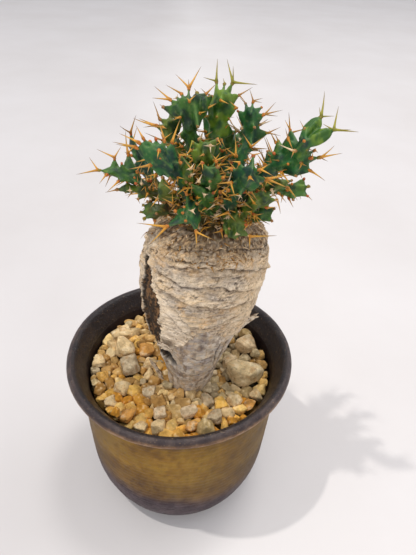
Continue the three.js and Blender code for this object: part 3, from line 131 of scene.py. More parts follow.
class Mesh:
    """Collects closed shells in mm with a colour per vertex and a material slot per face."""

    def __init__(self):
        self.v, self.c, self.f, self.m, self.n = [], [], [], [], 0

    def add(self, v, f, col, mat=0):
        v = np.asarray(v, float)
        f = np.asarray(f, np.int64)
        if f.shape[1] == 3:
            f = np.concatenate([f, np.full((len(f), 1), -1)], 1)
        col = np.broadcast_to(np.asarray(col, float), (len(v), 3))
        self.v.append(v)
        self.c.append(col)
        self.f.append(np.where(f >= 0, f + self.n, -1))
        self.m.append(np.full(len(f), mat))
        self.n += len(v)

    def build(self, name, materials, smooth_shade=True):
        v = np.concatenate(self.v) * MM
        c = np.concatenate(self.c)
        f = np.concatenate(self.f)
        m = np.concatenate(self.m)
        count = np.where(f[:, 3] < 0, 3, 4)
        loops = f[f >= 0]
        start = np.concatenate([[0], np.cumsum(count)[:-1]])
        me = bpy.data.meshes.new(name)
        me.vertices.add(len(v))
        me.vertices.foreach_set("co", v.astype(np.float32).ravel())
        me.loops.add(len(loops))
        me.loops.foreach_set("vertex_index", loops.astype(np.int32))
        me.polygons.add(len(f))
        me.polygons.foreach_set("loop_start", start.astype(np.int32))
        me.polygons.foreach_set("loop_total", count.astype(np.int32))
        me.polygons.foreach_set("material_index", m.astype(np.int32))
        me.polygons.foreach_set("use_smooth", np.full(len(f), bool(smooth_shade)))
        a = me.color_attributes.new("tone", "FLOAT_COLOR", "POINT")
        a.data.foreach_set("color", np.concatenate([c, np.ones((len(c), 1))], 1).astype(np.float32).ravel())
        for mt in materials:
            me.materials.append(mt)
        me.update()
        me.validate()
        o = bpy.data.objects.new(name, me)
        bpy.context.scene.collection.objects.link(o)
        return o


def piece(o, slot, *names):
    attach(o, "root")
    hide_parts(*names)
    return o


def icosphere(level):
    t = (1 + 5**0.5) / 2
    v = [(-1, t, 0), (1, t, 0), (-1, -t, 0), (1, -t, 0), (0, -1, t), (0, 1, t), (0, -1, -t), (0, 1, -t), (t, 0, -1), (t, 0, 1), (-t, 0, -1), (-t, 0, 1)]
    f = [(0, 11, 5), (0, 5, 1), (0, 1, 7), (0, 7, 10), (0, 10, 11), (1, 5, 9), (5, 11, 4), (11, 10, 2), (10, 7, 6), (7, 1, 8), (3, 9, 4), (3, 4, 2), (3, 2, 6), (3, 6, 8), (3, 8, 9), (4, 9, 5), (2, 4, 11), (6, 2, 10), (8, 6, 7), (9, 8, 1)]
    v = [np.array(p, float) / np.linalg.norm(p) for p in v]
    for _ in range(level):
        mid, g = {}, []

        def m(a, b):
            k = (min(a, b), max(a, b))
            if k not in mid:
                q = v[a] + v[b]
                v.append(q / np.linalg.norm(q))
                mid[k] = len(v) - 1
            return mid[k]

        for a, b, c in f:
            x, y, z = m(a, b), m(b, c), m(c, a)
            g += [(a, x, z), (b, y, x), (c, z, y), (x, y, z)]
        f = g
    return np.array(v), np.array(f)


def grid_faces(rows, cols, wrap=True):
    """Quads of a rows x cols grid whose columns close on themselves."""
    i = np.arange(rows - 1)[:, None]
    j = np.arange(cols if wrap else cols - 1)[None, :]
    a = i * cols + j
    b = i * cols + (j + 1) % cols
    return np.stack([a, b, b + cols, a + cols], -1).reshape(-1, 4)


# ---------------------------------------------------------------- materials
def material(name, build):
    m = bpy.data.materials.new(name)
    m.use_nodes = True
    nt = m.node_tree
    nt.nodes.clear()
    out = nt.nodes.new("ShaderNodeOutputMaterial")
    bsdf = nt.nodes.new("ShaderNodeBsdfPrincipled")
    nt.links.new(bsdf.outputs[0], out.inputs[0])
    build(nt, bsdf)
    return m


def N(nt, kind, **values):
    n = nt.nodes.new("ShaderNode" + kind)
    for k, v in values.items():
        if hasattr(n, k) and k not in n.inputs:
            setattr(n, k, v)
        else:
            n.inputs[k].default_value = v
    return n


def ramp(nt, stops, source):
    r = nt.nodes.new("ShaderNodeValToRGB")
    e = r.color_ramp.elements
    while len(e) < len(stops):
        e.new(0.5)
    for k, (pos, c) in enumerate(stops):
        e[k].position = pos
        e[k].color = (*c, 1) if len(c) == 3 else c
    nt.links.new(source, r.inputs[0])
    return r


def mixrgb(nt, a, b, fac, mode="MIX"):
    n = nt.nodes.new("ShaderNodeMix")
    n.data_type = "RGBA"
    n.blend_type = mode
    for k, s in ((6, a), (7, b), (0, fac)):
        if hasattr(s, "is_linked") or hasattr(s, "links"):
            nt.links.new(s, n.inputs[k])
        elif k == 0:
            n.inputs[0].default_value = s
        else:
            n.inputs[k].default_value = (*s, 1)
    return n.outputs[2]


def math_(nt, op, a, b=0.5, clamp=False):
    n = nt.nodes.new("ShaderNodeMath")
    n.operation = op
    n.use_clamp = clamp
    for k, s in ((0, a), (1, b)):
        if hasattr(s, "links"):
            nt.links.new(s, n.inputs[k])
        else:
            n.inputs[k].default_value = s
    return n.outputs[0]


def coords(nt, scale=(1, 1, 1)):
    g = nt.nodes.new("ShaderNodeNewGeometry")
    m = nt.nodes.new("ShaderNodeMapping")
    m.inputs["Scale"].default_value = scale
    nt.links.new(g.outputs["Position"], m.inputs["Vector"])
    return m.outputs[0]


def tex(nt, kind, vec, **values):
    n = N(nt, kind, **values)
    nt.links.new(vec, n.inputs["Vector"])
    return n


def bump(nt, bsdf, height, distance, strength=1.0):
    b = nt.nodes.new("ShaderNodeBump")
    b.inputs["Distance"].default_value = distance
    b.inputs["Strength"].default_value = strength
    nt.links.new(height, b.inputs["Height"])
    nt.links.new(b.outputs[0], bsdf.inputs["Normal"])
    return b


def tone_attr(nt):
    a = nt.nodes.new("ShaderNodeVertexColor")
    a.layer_name = "tone"
    return a.outputs[0]


def m_bark(nt, bsdf):
    tone = tone_attr(nt)
    fib = tex(nt, "TexNoise", coords(nt, (380, 380, 1500)), Scale=1.0, Detail=6.0, Roughness=0.65)
    spk = tex(nt, "TexNoise", coords(nt, (1500, 1500, 1900)), Scale=1.0, Detail=3.0, Roughness=0.6)
    blo = tex(nt, "TexNoise", coords(nt, (150, 150, 260)), Scale=1.0, Detail=5.0, Roughness=0.6)
    k = ramp(nt, [(0.3, (0.55, 0.51, 0.46)), (0.45, (0.96, 0.95, 0.94)), (0.66, (1.12, 1.11, 1.09))], fib.outputs["Fac"])
    c = mixrgb(nt, tone, k.outputs[0], 0.7, "MULTIPLY")
    s = ramp(nt, [(0.33, (0.22, 0.18, 0.14)), (0.40, (1, 1, 1))], spk.outputs["Fac"])
    c = mixrgb(nt, c, s.outputs[0], 0.6, "MULTIPLY")
    w = ramp(nt, [(0.35, (0.86, 0.85, 0.86)), (0.65, (1.12, 1.08, 1.02))], blo.outputs["Fac"])
    c = mixrgb(nt, c, w.outputs[0], 0.8, "MULTIPLY")
    nt.links.new(c, bsdf.inputs["Base Color"])
    r = ramp(nt, [(0.3, (0.93,) * 3), (0.7, (0.74,) * 3)], fib.outputs["Fac"])
    nt.links.new(r.outputs[0], bsdf.inputs["Roughness"])
    bsdf.inputs["Specular IOR Level"].default_value = 0.3
    h = math_(nt, "ADD", math_(nt, "MULTIPLY", fib.outputs["Fac"], 0.8), math_(nt, "MULTIPLY", spk.outputs["Fac"], 0.5))
    bump(nt, bsdf, h, 0.0006, 0.8)


def m_skin(nt, bsdf):
    tone = tone_attr(nt)
    a = tex(nt, "TexNoise", coords(nt, (420, 420, 420)), Scale=1.0, Detail=4.0, Roughness=0.55)
    b = tex(nt, "TexNoise", coords(nt, (2600, 2600, 2600)), Scale=1.0, Detail=2.0, Roughness=0.5)
    v = tex(nt, "TexVoronoi", coords(nt, (2300, 2300, 2300)), Scale=1.0)
    k = ramp(nt, [(0.3, (0.8, 0.84, 0.82)), (0.55, (1.0, 1.0, 1.0)), (0.75, (1.18, 1.14, 1.08))], a.outputs["Fac"])
    c = mixrgb(nt, tone, k.outputs[0], 0.5, "MULTIPLY")
    d = ramp(nt, [(0.05, (1.3, 1.28, 1.2)), (0.25, (1, 1, 1))], v.outputs["Distance"])
    c = mixrgb(nt, c, d.outputs[0], 0.45, "MULTIPLY")
    nt.links.new(c, bsdf.inputs["Base Color"])
    r = ramp(nt, [(0.3, (0.38,) * 3), (0.7, (0.54,) * 3)], a.outputs["Fac"])
    nt.links.new(r.outputs[0], bsdf.inputs["Roughness"])
    bsdf.inputs["Specular IOR Level"].default_value = 0.42
    bump(nt, bsdf, math_(nt, "ADD", b.outputs["Fac"], math_(nt, "MULTIPLY", v.outputs["Distance"], 0.6)), 0.00012, 0.6)


def m_horn(nt, bsdf):
    tone = tone_attr(nt)
    a = tex(nt, "TexNoise", coords(nt, (900, 900, 900)), Scale=1.0, Detail=4.0, Roughness=0.6)
    k = ramp(nt, [(0.3, (0.66, 0.62, 0.6)), (0.55, (1.0, 1.0, 1.0)), (0.75, (1.25, 1.22, 1.2))], a.outputs["Fac"])
    nt.links.new(mixrgb(nt, tone, k.outputs[0], 0.75, "MULTIPLY"), bsdf.inputs["Base Color"])
    r = ramp(nt, [(0.3, (0.42,) * 3), (0.7, (0.6,) * 3)], a.outputs["Fac"])
    nt.links.new(r.outputs[0], bsdf.inputs["Roughness"])
    bump(nt, bsdf, a.outputs["Fac"], 0.0002, 0.6)


def m_stone(nt, bsdf):
    tone = tone_attr(nt)
    a = tex(nt, "TexNoise", coords(nt, (260, 260, 260)), Scale=1.0, Detail=6.0, Roughness=0.62)
    b = tex(nt, "TexNoise", coords(nt, (1700, 1700, 1700)), Scale=1.0, Detail=4.0, Roughness=0.7)
    k = ramp(nt, [(0.32, (0.62, 0.57, 0.5)), (0.5, (1.0, 1.0, 1.0)), (0.68, (1.26, 1.24, 1.2))], a.outputs["Fac"])
    c = mixrgb(nt, tone, k.outputs[0], 0.85, "MULTIPLY")
    p = ramp(nt, [(0.33, (0.5, 0.42, 0.32)), (0.43, (1, 1, 1)), (0.68, (1.12, 1.11, 1.1))], b.outputs["Fac"])
    c = mixrgb(nt, c, p.outputs[0], 0.6, "MULTIPLY")
    nt.links.new(c, bsdf.inputs["Base Color"])
    r = ramp(nt, [(0.3, (0.95,) * 3), (0.7, (0.8,) * 3)], b.outputs["Fac"])
    nt.links.new(r.outputs[0], bsdf.inputs["Roughness"])
    bsdf.inputs["Specular IOR Level"].default_value = 0.25
    bump(nt, bsdf, math_(nt, "ADD", b.outputs["Fac"], math_(nt, "MULTIPLY", a.outputs["Fac"], 0.8)), 0.00035, 0.8)


def m_glaze(nt, bsdf):
    tone = tone_attr(nt)
    a = tex(nt, "TexNoise", coords(nt, (45, 45, 60)), Scale=1.0, Detail=6.0, Roughness=0.6)
    b = tex(nt, "TexNoise", coords(nt, (700, 700, 700)), Scale=1.0, Detail=5.0, Roughness=0.65)
    s = tex(nt, "TexNoise", coords(nt, (2600, 2600, 2600)), Scale=1.0, Detail=2.0, Roughness=0.5)
    w = tex(nt, "TexNoise", coords(nt, (60, 60, 420)), Scale=1.0, Detail=4.0, Roughness=0.6)
    k = ramp(nt, [(0.3, (0.72, 0.68, 0.64)), (0.5, (1.0, 1.0, 1.0)), (0.7, (1.18, 1.15, 1.05))], a.outputs["Fac"])
    c = mixrgb(nt, tone, k.outputs[0], 0.75, "MULTIPLY")
    g = ramp(nt, [(0.3, (0.74, 0.72, 0.7)), (0.5, (1, 1, 1)), (0.7, (1.2, 1.18, 1.12))], b.outputs["Fac"])
    c = mixrgb(nt, c, g.outputs[0], 0.55, "MULTIPLY")
    q = ramp(nt, [(0.62, (1, 1, 1)), (0.72, (1.9, 1.75, 1.6))], s.outputs["Fac"])
    c = mixrgb(nt, c, q.outputs[0], 0.5, "MULTIPLY")
    nt.links.new(c, bsdf.inputs["Base Color"])
    r = ramp(nt, [(0.3, (0.36,) * 3), (0.7, (0.58,) * 3)], b.outputs["Fac"])
    nt.links.new(r.outputs[0], bsdf.inputs["Roughness"])
    bsdf.inputs["Specular IOR Level"].default_value = 0.16
    h = math_(nt, "ADD", math_(nt, "MULTIPLY", w.outputs["Fac"], 0.35), math_(nt, "ADD", math_(nt, "MULTIPLY", b.outputs["Fac"], 0.45), math_(nt, "MULTIPLY", s.outputs["Fac"], 0.12)))
    bump(nt, bsdf, h, 0.0005, 0.7)


def m_lip(nt, bsdf):
    tone = tone_attr(nt)
    b = tex(nt, "TexNoise", coords(nt, (500, 500, 500)), Scale=1.0, Detail=6.0, Roughness=0.7)
    v = tex(nt, "TexVoronoi", coords(nt, (1050, 1050, 1050)), Scale=1.0)
    w = tex(nt, "TexNoise", coords(nt, (120, 120, 120)), Scale=1.0, Detail=4.0, Roughness=0.6)
    g = ramp(nt, [(0.3, (0.6, 0.58, 0.58)), (0.5, (1, 1, 1)), (0.7, (1.5, 1.4, 1.25))], b.outputs["Fac"])
    c = mixrgb(nt, tone, g.outputs[0], 0.8, "MULTIPLY")
    spot = ramp(nt, [(0.10, (1, 1, 1)), (0.26, (0, 0, 0))], v.outputs["Distance"])
    some = ramp(nt, [(0.5, (0, 0, 0)), (0.62, (1, 1, 1))], b.outputs["Fac"])
    f = math_(nt, "MULTIPLY", spot.outputs[0], some.outputs[0])
    c = mixrgb(nt, c, tuple(lin((196, 164, 118))), math_(nt, "MULTIPLY", f, 0.6))
    nt.links.new(c, bsdf.inputs["Base Color"])
    r = ramp(nt, [(0.3, (0.26,) * 3), (0.7, (0.5,) * 3)], w.outputs["Fac"])
    nt.links.new(r.outputs[0], bsdf.inputs["Roughness"])
    bsdf.inputs["Specular IOR Level"].default_value = 0.42
    h = math_(nt, "ADD", math_(nt, "MULTIPLY", b.outputs["Fac"], 1.0), math_(nt, "MULTIPLY", v.outputs["Distance"], -0.35))
    bump(nt, bsdf, h, 0.0006, 0.8)


def m_plastic(nt, bsdf):
    a = tex(nt, "TexNoise", coords(nt, (900, 900, 900)), Scale=1.0, Detail=4.0)
    k = ramp(nt, [(0.3, (0.03, 0.033, 0.036)), (0.7, (0.06, 0.062, 0.066))], a.outputs["Fac"])
    nt.links.new(k.outputs[0], bsdf.inputs["Base Color"])
    bsdf.inputs["Roughness"].default_value = 0.6
    bump(nt, bsdf, a.outputs["Fac"], 0.0001, 0.4)


def m_floor(nt, bsdf):
    a = tex(nt, "TexNoise", coords(nt, (5, 5, 5)), Scale=1.0, Detail=5.0, Roughness=0.55)
    b = tex(nt, "TexNoise", coords(nt, (220, 220, 220)), Scale=1.0, Detail=3.0)
    k = ramp(nt, [(0.3, tuple(lin((222, 218, 216)))), (0.7, tuple(lin((229, 226, 225))))], a.outputs["Fac"])
    # painted shade: the table is darker towards the left, where less light falls, and a little darker again towards the
    # right
    x = nt.nodes.new("ShaderNodeSeparateXYZ")
    nt.links.new(coords(nt), x.inputs[0])
    g = ramp(nt, [(0.1, (0.84, 0.835, 0.84)), (0.36, (0.86, 0.85, 0.85)), (0.52, (0.98, 0.975, 0.97)), (0.6, (0.97, 0.96, 0.955)), (0.8, (0.92, 0.91, 0.91))], math_(nt, "ADD", math_(nt, "MULTIPLY", x.outputs[0], 1.25), 0.5))
    nt.links.new(mixrgb(nt, k.outputs[0], g.outputs[0], 1.0, "MULTIPLY"), bsdf.inputs["Base Color"])
    r = ramp(nt, [(0.3, (0.5,) * 3), (0.7, (0.6,) * 3)], b.outputs["Fac"])
    nt.links.new(r.outputs[0], bsdf.inputs["Roughness"])
    bsdf.inputs["Specular IOR Level"].default_value = 0.25
    bump(nt, bsdf, b.outputs["Fac"], 0.00004, 0.3)


BARK = material("papery bark", m_bark)
SKIN = material("succulent skin", m_skin)
HORN = material("horny spine", m_horn)
STONE = material("pumice", m_stone)
GLAZE = material("iron glaze", m_glaze)
LIP = material("iron glaze on the lip", m_lip)
PLASTIC = material("screen plastic", m_plastic)
FLOOR = material("pale table", m_floor)


# ------------------------------------------------------------------- shapes
# Swollen trunk: [height, radius, centre x, centre y] in mm.
RINGS = np.array([
    [36, 0, 3.72, -8.51],
    [37.5, 4, 3.77, -8.46],
    [46, 7.5, 4.05, -8.18],
    [58, 9.4, 4.44, -7.79],
    [70, 10.4, 4.83, -7.4],
    [78, 11, 5.09, -7.14],
    [84, 12.2, 5.26, -6.88],
    [92, 14.8, 5.46, -6.35],
    [102, 17.9, 5.84, -5.69],
    [112, 20.6, 6.36, -5.02],
    [122, 23.7, 7.03, -4.36],
    [132, 26.7, 7.83, -3.7],
    [140, 28, 8.57, -3.17],
    [148, 28.5, 9.4, -2.64],
    [157, 28.4, 10.44, -2.05],
    [164, 27.4, 11.33, -1.58],
    [169, 25.8, 12.01, -1.25],
    [173, 23, 12.57, -0.99],
    [176.3, 17.5, 13.06, -0.77],
    [178, 9, 13.31, -0.66],
    [178.4, 0, 13.38, -0.63],
])
# Larger stones: [x, y, z, radii x, y, z, tone, turn].
PEBBLES = [
    [35.8, -8.76, 86.28, 9.05, 7.98, 5.78, 0, 31],
    [-31.02, 9.94, 84.97, 6.89, 6.07, 4.47, 1, 85],
    [-26.77, -2.86, 84.48, 6.08, 5.36, 3.98, 2, 288],
    [-35.38, 22.71, 84.58, 6.26, 5.51, 4.08, 1, 210],
    [38.49, 14.08, 84.55, 6.19, 5.46, 4.05, 3, 34],
    [-30.68, -16.77, 83.55, 4.56, 4.02, 3.05, 1, 156],
    [-19.13, 9.22, 83.62, 4.68, 4.12, 3.12, 4, 172],
    [-25.82, -34.22, 83.26, 4.07, 3.59, 2.76, 4, 58],
    [-44.28, 1.02, 83.22, 4.01, 3.53, 2.72, 1, 264],
    [4.29, -31.76, 83.3, 4.14, 3.64, 2.8, 5, 41],
    [27.98, -25, 83.21, 3.99, 3.52, 2.71, 1, 141],
    [17.07, -35.67, 83.27, 4.1, 3.61, 2.77, 2, 186],
    [24.37, -32.14, 83.01, 3.66, 3.23, 2.51, 1, 155],
    [6.25, -40.4, 82.94, 3.55, 3.13, 2.44, 4, 211],
    [-10.26, -40.85, 83.21, 4, 3.53, 2.71, 1, 266],
    [-18.67, -40.72, 82.91, 3.51, 3.09, 2.41, 1, 344],
    [-10.14, -32.64, 83.13, 3.87, 3.41, 2.63, 5, 102],
    [35.39, -27.5, 82.9, 3.48, 3.07, 2.4, 4, 233],
    [26.97, 1.73, 83.41, 4.32, 3.8, 2.91, 3, 251],
    [14.59, -24.64, 83.06, 3.75, 3.3, 2.56, 2, 105],
    [-16.68, 0.51, 83.23, 4.03, 3.55, 2.73, 1, 1],
    [-16.48, -19.61, 83.08, 3.78, 3.33, 2.58, 2, 350],
    [-35.21, -26.09, 83.02, 3.69, 3.25, 2.52, 1, 107],
    [39.35, -21.24, 82.96, 3.58, 3.16, 2.46, 1, 113],
]
# Stems: name, tint, core [x, y, z, r], teeth [root xyz, tip xyz, root radius, shield kind, spines [tip xyz, kind]].
STEMS = [
    ("stem_left_arm", 0, [[-1.6, -2.4, 176.1, 2.7], [-7.2, -3, 187.7, 2.7], [-14.5, -4, 191.6, 2.5], [-20.3, -5, 195.9, 2.2], [-24.7, -5, 197.5, 2], [-28.5, -5, 198.9, 1.5], [-30.9, -5, 199, 1]], [
        [-29.3, -5.2, 198.7, -33.6, -4.6, 199.1, 1.6, 4, [[-42.2, -7.2, 198.2, 0], [-37.6, -2.3, 203.5, 0]]],
        [-27.4, -4.4, 199.3, -27.5, -2.8, 203.3, 1.7, 0, [[-34.7, -0.2, 206.1, 0], [-25.1, 1.1, 207, 0]]],
        [-21.5, -3.8, 198.4, -22.3, -0.4, 204.5, 2.3, 0, [[-23.5, 5.1, 211.9, 0], [-19.3, 2.9, 207.7, 0]]],
        [-23.9, -5, 197.1, -25.6, -8.9, 196.6, 1.9, 1, [[-30, -12.2, 193.4, 0]]],
        [-23.9, -4.4, 198.1, -24.4, -5.1, 202.3, 1.5, 1, []],
        [-19.2, -4.9, 195.4, -18.4, -6.1, 199.5, 1.6, 0, [[-16.2, -3.3, 203.4, 1]]],
        [-18.4, -4.7, 195, -18.9, -8.9, 195.9, 1.7, 1, []],
        [-16.1, -4.1, 192.9, -16.6, -7.7, 195.2, 1.8, 2, [[-16.8, -8.1, 197.9, 2]]],
    ]),
    ("stem_left_low", 1, [[-1.6, -1.7, 176.1, 2.8], [-7.2, -2, 186.2, 2.8], [-12.9, -4, 190.3, 2.7], [-17.7, -5, 191.6, 2.1], [-21.8, -5, 191.7, 1.3], [-24.6, -5, 191.8, 0.8]], [
        [-22.6, -5.1, 191.5, -26.8, -5.2, 191.1, 1.2, 3, [[-31.8, -6.6, 190.4, 1]]],
        [-20.5, -5.1, 191.5, -21.2, -9.1, 192.9, 1.5, 2, []],
        [-15.7, -5, 190.3, -18.1, -8.4, 189, 2, 2, [[-18.1, -10.3, 189.8, 1], [-17.4, -10.6, 187.7, 1]]],
        [-13.3, -4.2, 190.4, -13.5, -7.3, 193.4, 1.8, 3, []],
        [-10.9, -3.3, 189.6, -10.9, -6.3, 192.7, 1.8, 2, [[-12, -3.7, 196, 1]]],
        [-12.1, -3.8, 188.9, -13.3, -7.9, 188.9, 2.2, 2, []],
    ]),
    ("stem_front_left", 2, [[4.3, -11.1, 176.3, 3], [1, -15, 199.2, 3], [-2.1, -19, 205, 3.3], [-6, -22, 208.6, 3.4], [-8.4, -23, 212, 3], [-9.5, -23, 214.2, 2.2]], [
        [-10.2, -23.3, 213.2, -16.7, -23, 216.3, 2.9, 0, [[-24.8, -22.6, 217.9, 0]]],
        [-12.7, -21.8, 215.5, -15.6, -23.4, 218.2, 1.6, 0, [[-22.5, -21.2, 220.5, 0]]],
        [-11.3, -21.9, 215.5, -14, -21.3, 218.8, 1.6, 0, [[-17.1, -17.3, 222.3, 0]]],
        [-4.9, -21.3, 212.2, -4.3, -19.1, 216.9, 2.7, 1, [[-1.4, -14.9, 224.5, 0]]],
        [-8.5, -23.2, 209.8, -11.5, -26, 211.2, 2.6, 1, [[-19.6, -28.5, 210.5, 0], [-12.6, -30.6, 210, 1]]],
        [-8.8, -23.1, 212.8, -8.6, -25.5, 216.3, 1.8, 1, [[-9.1, -29.2, 214.6, 0]]],
        [-9.8, -22.8, 214.5, -11.9, -20.5, 217.4, 1.5, 0, [[-12.4, -20.2, 217.7, 0]]],
        [-9.1, -22.6, 214.8, -9.8, -22, 219, 1.5, 1, [[-8.4, -22.3, 218.7, 0]]],
        [-8.4, -22.7, 214.5, -6.9, -22.5, 218.5, 1.5, 0, [[-6.7, -21.7, 219.6, 0]]],
        [-5.7, -21.8, 207, -4.8, -26, 206.5, 2.4, 3, []],
        [-3.9, -20, 208.6, -1.3, -22.4, 210.9, 2, 0, []],
        [-7.4, -22.5, 214.8, -7.2, -16.9, 217.2, 1.6, 0, [[-9.4, -10.9, 221.8, 0], [-4, -16.4, 219.9, 0]]],
        [-6.7, -22.2, 209.5, -8.3, -25.2, 213.7, 2.6, 0, []],
    ]),
    ("stem_upper_left", 0, [[7.8, -4.6, 177.3, 3], [5.8, -6, 197.6, 3], [4.4, -6, 206.1, 3], [2.2, -6, 214, 3.1], [2, -6, 220.9, 3.4], [1.2, -6, 225.3, 3], [1.1, -6, 228.2, 1.8]], [
        [1.3, -6, 227.8, 1.4, -3.3, 231.5, 1.4, 0, [[-3.6, 0, 235.5, 0], [5.7, 1.4, 238.2, 0], [1.2, 3, 233.2, 1]]],
        [-0.6, -6.3, 224.2, -5.3, -3.7, 227.3, 2.6, 0, [[-11.4, -0.4, 231.1, 0], [-12, -5.1, 228.2, 0]]],
        [3.9, -6, 222.8, 4.9, -12.8, 220.8, 4.2, 3, []],
        [3.8, -5.8, 223.5, 8.2, -5.9, 225.5, 3.4, 0, [[11.8, -5.9, 227.5, 0], [6.3, -6.4, 226.4, 0]]],
        [1.2, -6, 226, 1.6, -9.4, 228.6, 2.3, 1, [[4.3, -8.9, 231.2, 0], [0.4, -9.4, 230.2, 0]]],
        [4.5, -6.1, 226.9, 7.8, -0.9, 229.1, 2.8, 0, [[11.8, 1.4, 232.6, 0], [5.7, 0.5, 230.8, 1]]],
        [7.1, -6.2, 226.3, 10.2, 1, 227.9, 2.4, 3, []],
        [-2.8, -6.3, 223.4, -8.1, -2.8, 224.3, 2.3, 3, [[-9.4, -2, 225.2, 1]]],
        [-0.2, -6, 222.3, -1.6, -10, 223.1, 1.8, 0, [[-4.1, -11.9, 223.8, 0], [-4.8, -12.7, 222.6, 0]]],
        [-0.3, -5.9, 227.1, -1.1, -2.1, 228.8, 1.6, 0, [[-7.1, 0.3, 231.5, 0]]],
        [-1.4, -5.9, 226.3, -3, -0.2, 227.1, 1.6, 2, []],
        [4.1, -6.1, 227.6, 4.5, 0, 229.1, 1.3, 4, [[3.3, 1.1, 230.6, 1]]],
        [1, -6.1, 215.6, -1.6, -9.4, 215.8, 2.2, 2, [[-3, -10.9, 215.3, 1]]],
        [4.1, -5.9, 213.3, 6.1, -9.2, 215.4, 2.2, 2, [[7, -8.6, 217.9, 2]]],
        [1, -5.8, 219.3, 0.7, -3.9, 215.2, 3, 3, []],
    ]),
    ("stem_outer_left", 1, [[6, -3.1, 177.3, 2.7], [3.4, -4, 197.5, 2.7], [-0.7, -2, 205.1, 2.7], [-4.4, -1, 211.9, 2.5], [-5.6, -1, 216.7, 2.2]], [
        [-5.6, -1, 216.7, -9.3, 0.6, 218.5, 2, 3, [[-12.3, 5, 224.1, 1], [-10.7, -0.1, 220.8, 1]]],
        [-6.7, -1.2, 215.1, -10.6, -1.8, 216.8, 1.8, 0, [[-19.8, 0.3, 218.8, 0], [-17.7, 2.1, 218.1, 0], [-15.7, -4, 216.8, 1]]],
        [-5.2, -0.6, 217.3, -5.3, 2, 220.7, 2, 0, [[-7.6, 1.7, 221.8, 0]]],
        [-4, -0.9, 216.3, -1.2, -0.1, 219.4, 2.2, 3, []],
        [-4.8, -0.9, 212.7, -7.6, -4.1, 212.5, 2.2, 0, [[-9.3, -4.2, 215.7, 0]]],
        [-3.2, -1.1, 210.4, -3.1, -5.3, 211.5, 2.2, 1, [[-5.7, -7.5, 211.6, 0]]],
    ]),
    ("stem_top", 3, [[12.4, -3.1, 177.5, 3.1], [12.3, -4, 199.5, 3.1], [11.6, -1, 207.6, 3], [11.8, 2, 213.8, 3], [12.6, 2, 220.2, 3.1], [13.5, 2, 225.2, 3], [14, 2, 228.5, 1.9]], [
        [12.3, 2.2, 226.2, 11.9, 6.4, 231.8, 2.2, 4, [[12.2, 11.7, 238.9, 4], [6.7, 6.6, 233.2, 4]]],
        [14.6, 1.7, 225.3, 18, 5.1, 231.9, 2.8, 4, [[15.7, 10.7, 239.2, 4], [18, 7.9, 237.3, 4], [27.2, 2.4, 232.4, 4]]],
        [14.1, 2.1, 227.8, 15.2, 7.9, 230.7, 1.8, 4, [[14.6, 9.3, 232.5, 4]]],
        [16.1, 1.7, 225.4, 20.7, 5.3, 227.3, 2.8, 3, [[26.2, 7.1, 230.2, 1], [23.4, 1.4, 225.7, 1]]],
        [11.4, 2.2, 221.6, 8.7, -0.1, 224, 2.2, 0, [[12.2, -0.3, 225.8, 0], [6.5, 0.2, 224.3, 0]]],
        [15.9, 1.4, 222.8, 19.3, -0.8, 224.3, 3, 0, [[16.3, 0.1, 226.9, 0]]],
        [11.1, 2.1, 219.3, 8.7, -1.1, 221, 2, 4, []],
        [12.6, 2, 219.4, 12.3, -1.9, 221.1, 2, 4, []],
        [13.1, 2, 217.8, 16, 0.4, 220.6, 2.4, 3, [[19.6, -3.6, 217.1, 1]]],
        [11.6, 2.1, 223.9, 9.3, 5.8, 226.9, 2.4, 3, []],
        [11, 1.4, 212.4, 8.8, -2.1, 213.6, 2, 0, [[11.1, -2, 215.6, 0]]],
        [12.3, 0.7, 211, 14.3, -2.8, 212.4, 2.2, 3, [[15.9, -5.4, 210.7, 0]]],
        [14.8, 1.4, 214.9, 19.5, 3.5, 213.1, 3.4, 3, []],
    ]),
    ("stem_upper_right", 2, [[18.7, -3.9, 177.3, 2.8], [21.1, -5, 200.2, 2.8], [23.7, -1, 206.3, 2.8], [25.7, 3, 211.5, 2.8], [25.5, 3, 217.5, 3], [25.8, 3, 221.9, 2.4]], [
        [25.9, 2.9, 221.1, 26.4, 4.3, 225.2, 2, 0, [[25, 7.4, 229.3, 1], [30.3, 5.2, 226.7, 1], [29.9, 3.1, 225.6, 1]]],
        [26.9, 2.7, 218.9, 31, 2.8, 221.1, 2.5, 0, [[35.6, 5.6, 225.3, 1], [38.4, 3.7, 222.9, 1], [36.3, 1.3, 221.2, 1]]],
        [27.9, 2.8, 212.9, 33.1, 2.1, 214.1, 2.5, 4, [[38.5, 3.3, 216.3, 1], [38.3, 0.2, 213.8, 1], [29.1, 4.4, 215.2, 1]]],
        [27.1, 2.8, 221.2, 30, 5.5, 222.9, 1.6, 0, []],
        [24.3, 3.4, 221.7, 23.9, 7.4, 223.7, 1.5, 3, [[21.7, 8.8, 225.4, 1]]],
        [24.2, 3.3, 219, 20.9, 3.7, 221.7, 2, 1, []],
        [26.3, 2.9, 216.8, 27.2, -1.6, 217.4, 2.3, 3, []],
        [25.7, 2.3, 210.5, 26.4, -3, 210.3, 2.3, 0, [[22.6, -0.5, 214.9, 0], [32, -1.5, 214.4, 0]]],
        [25.1, 3.1, 213.1, 22.6, 1, 215.8, 2.2, 2, [[21.9, 1.4, 216.4, 2]]],
        [22.9, -1, 206.3, 20.5, -5.2, 207.1, 2.4, 0, [[20, 0, 214, 0], [15.2, -3.6, 210.4, 0]]],
        [24.5, 2, 210.1, 22.1, -0.9, 212.2, 2, 2, []],
    ]),
    ("stem_right_arm", 2, [[21.5, -8.5, 176.6, 2.8], [24.9, -11.5, 195.6, 2.8], [30.3, -13.5, 203.1, 3], [35, -15.5, 209.1, 3.3], [39.3, -17.5, 211.2, 3.3], [41.8, -20.5, 215.6, 3], [42.6, -23.5, 219.8, 2.4]], [
        [35.9, -15.1, 211.3, 35.1, -11.5, 216.1, 2.8, 4, [[33.5, -10.7, 218.8, 1]]],
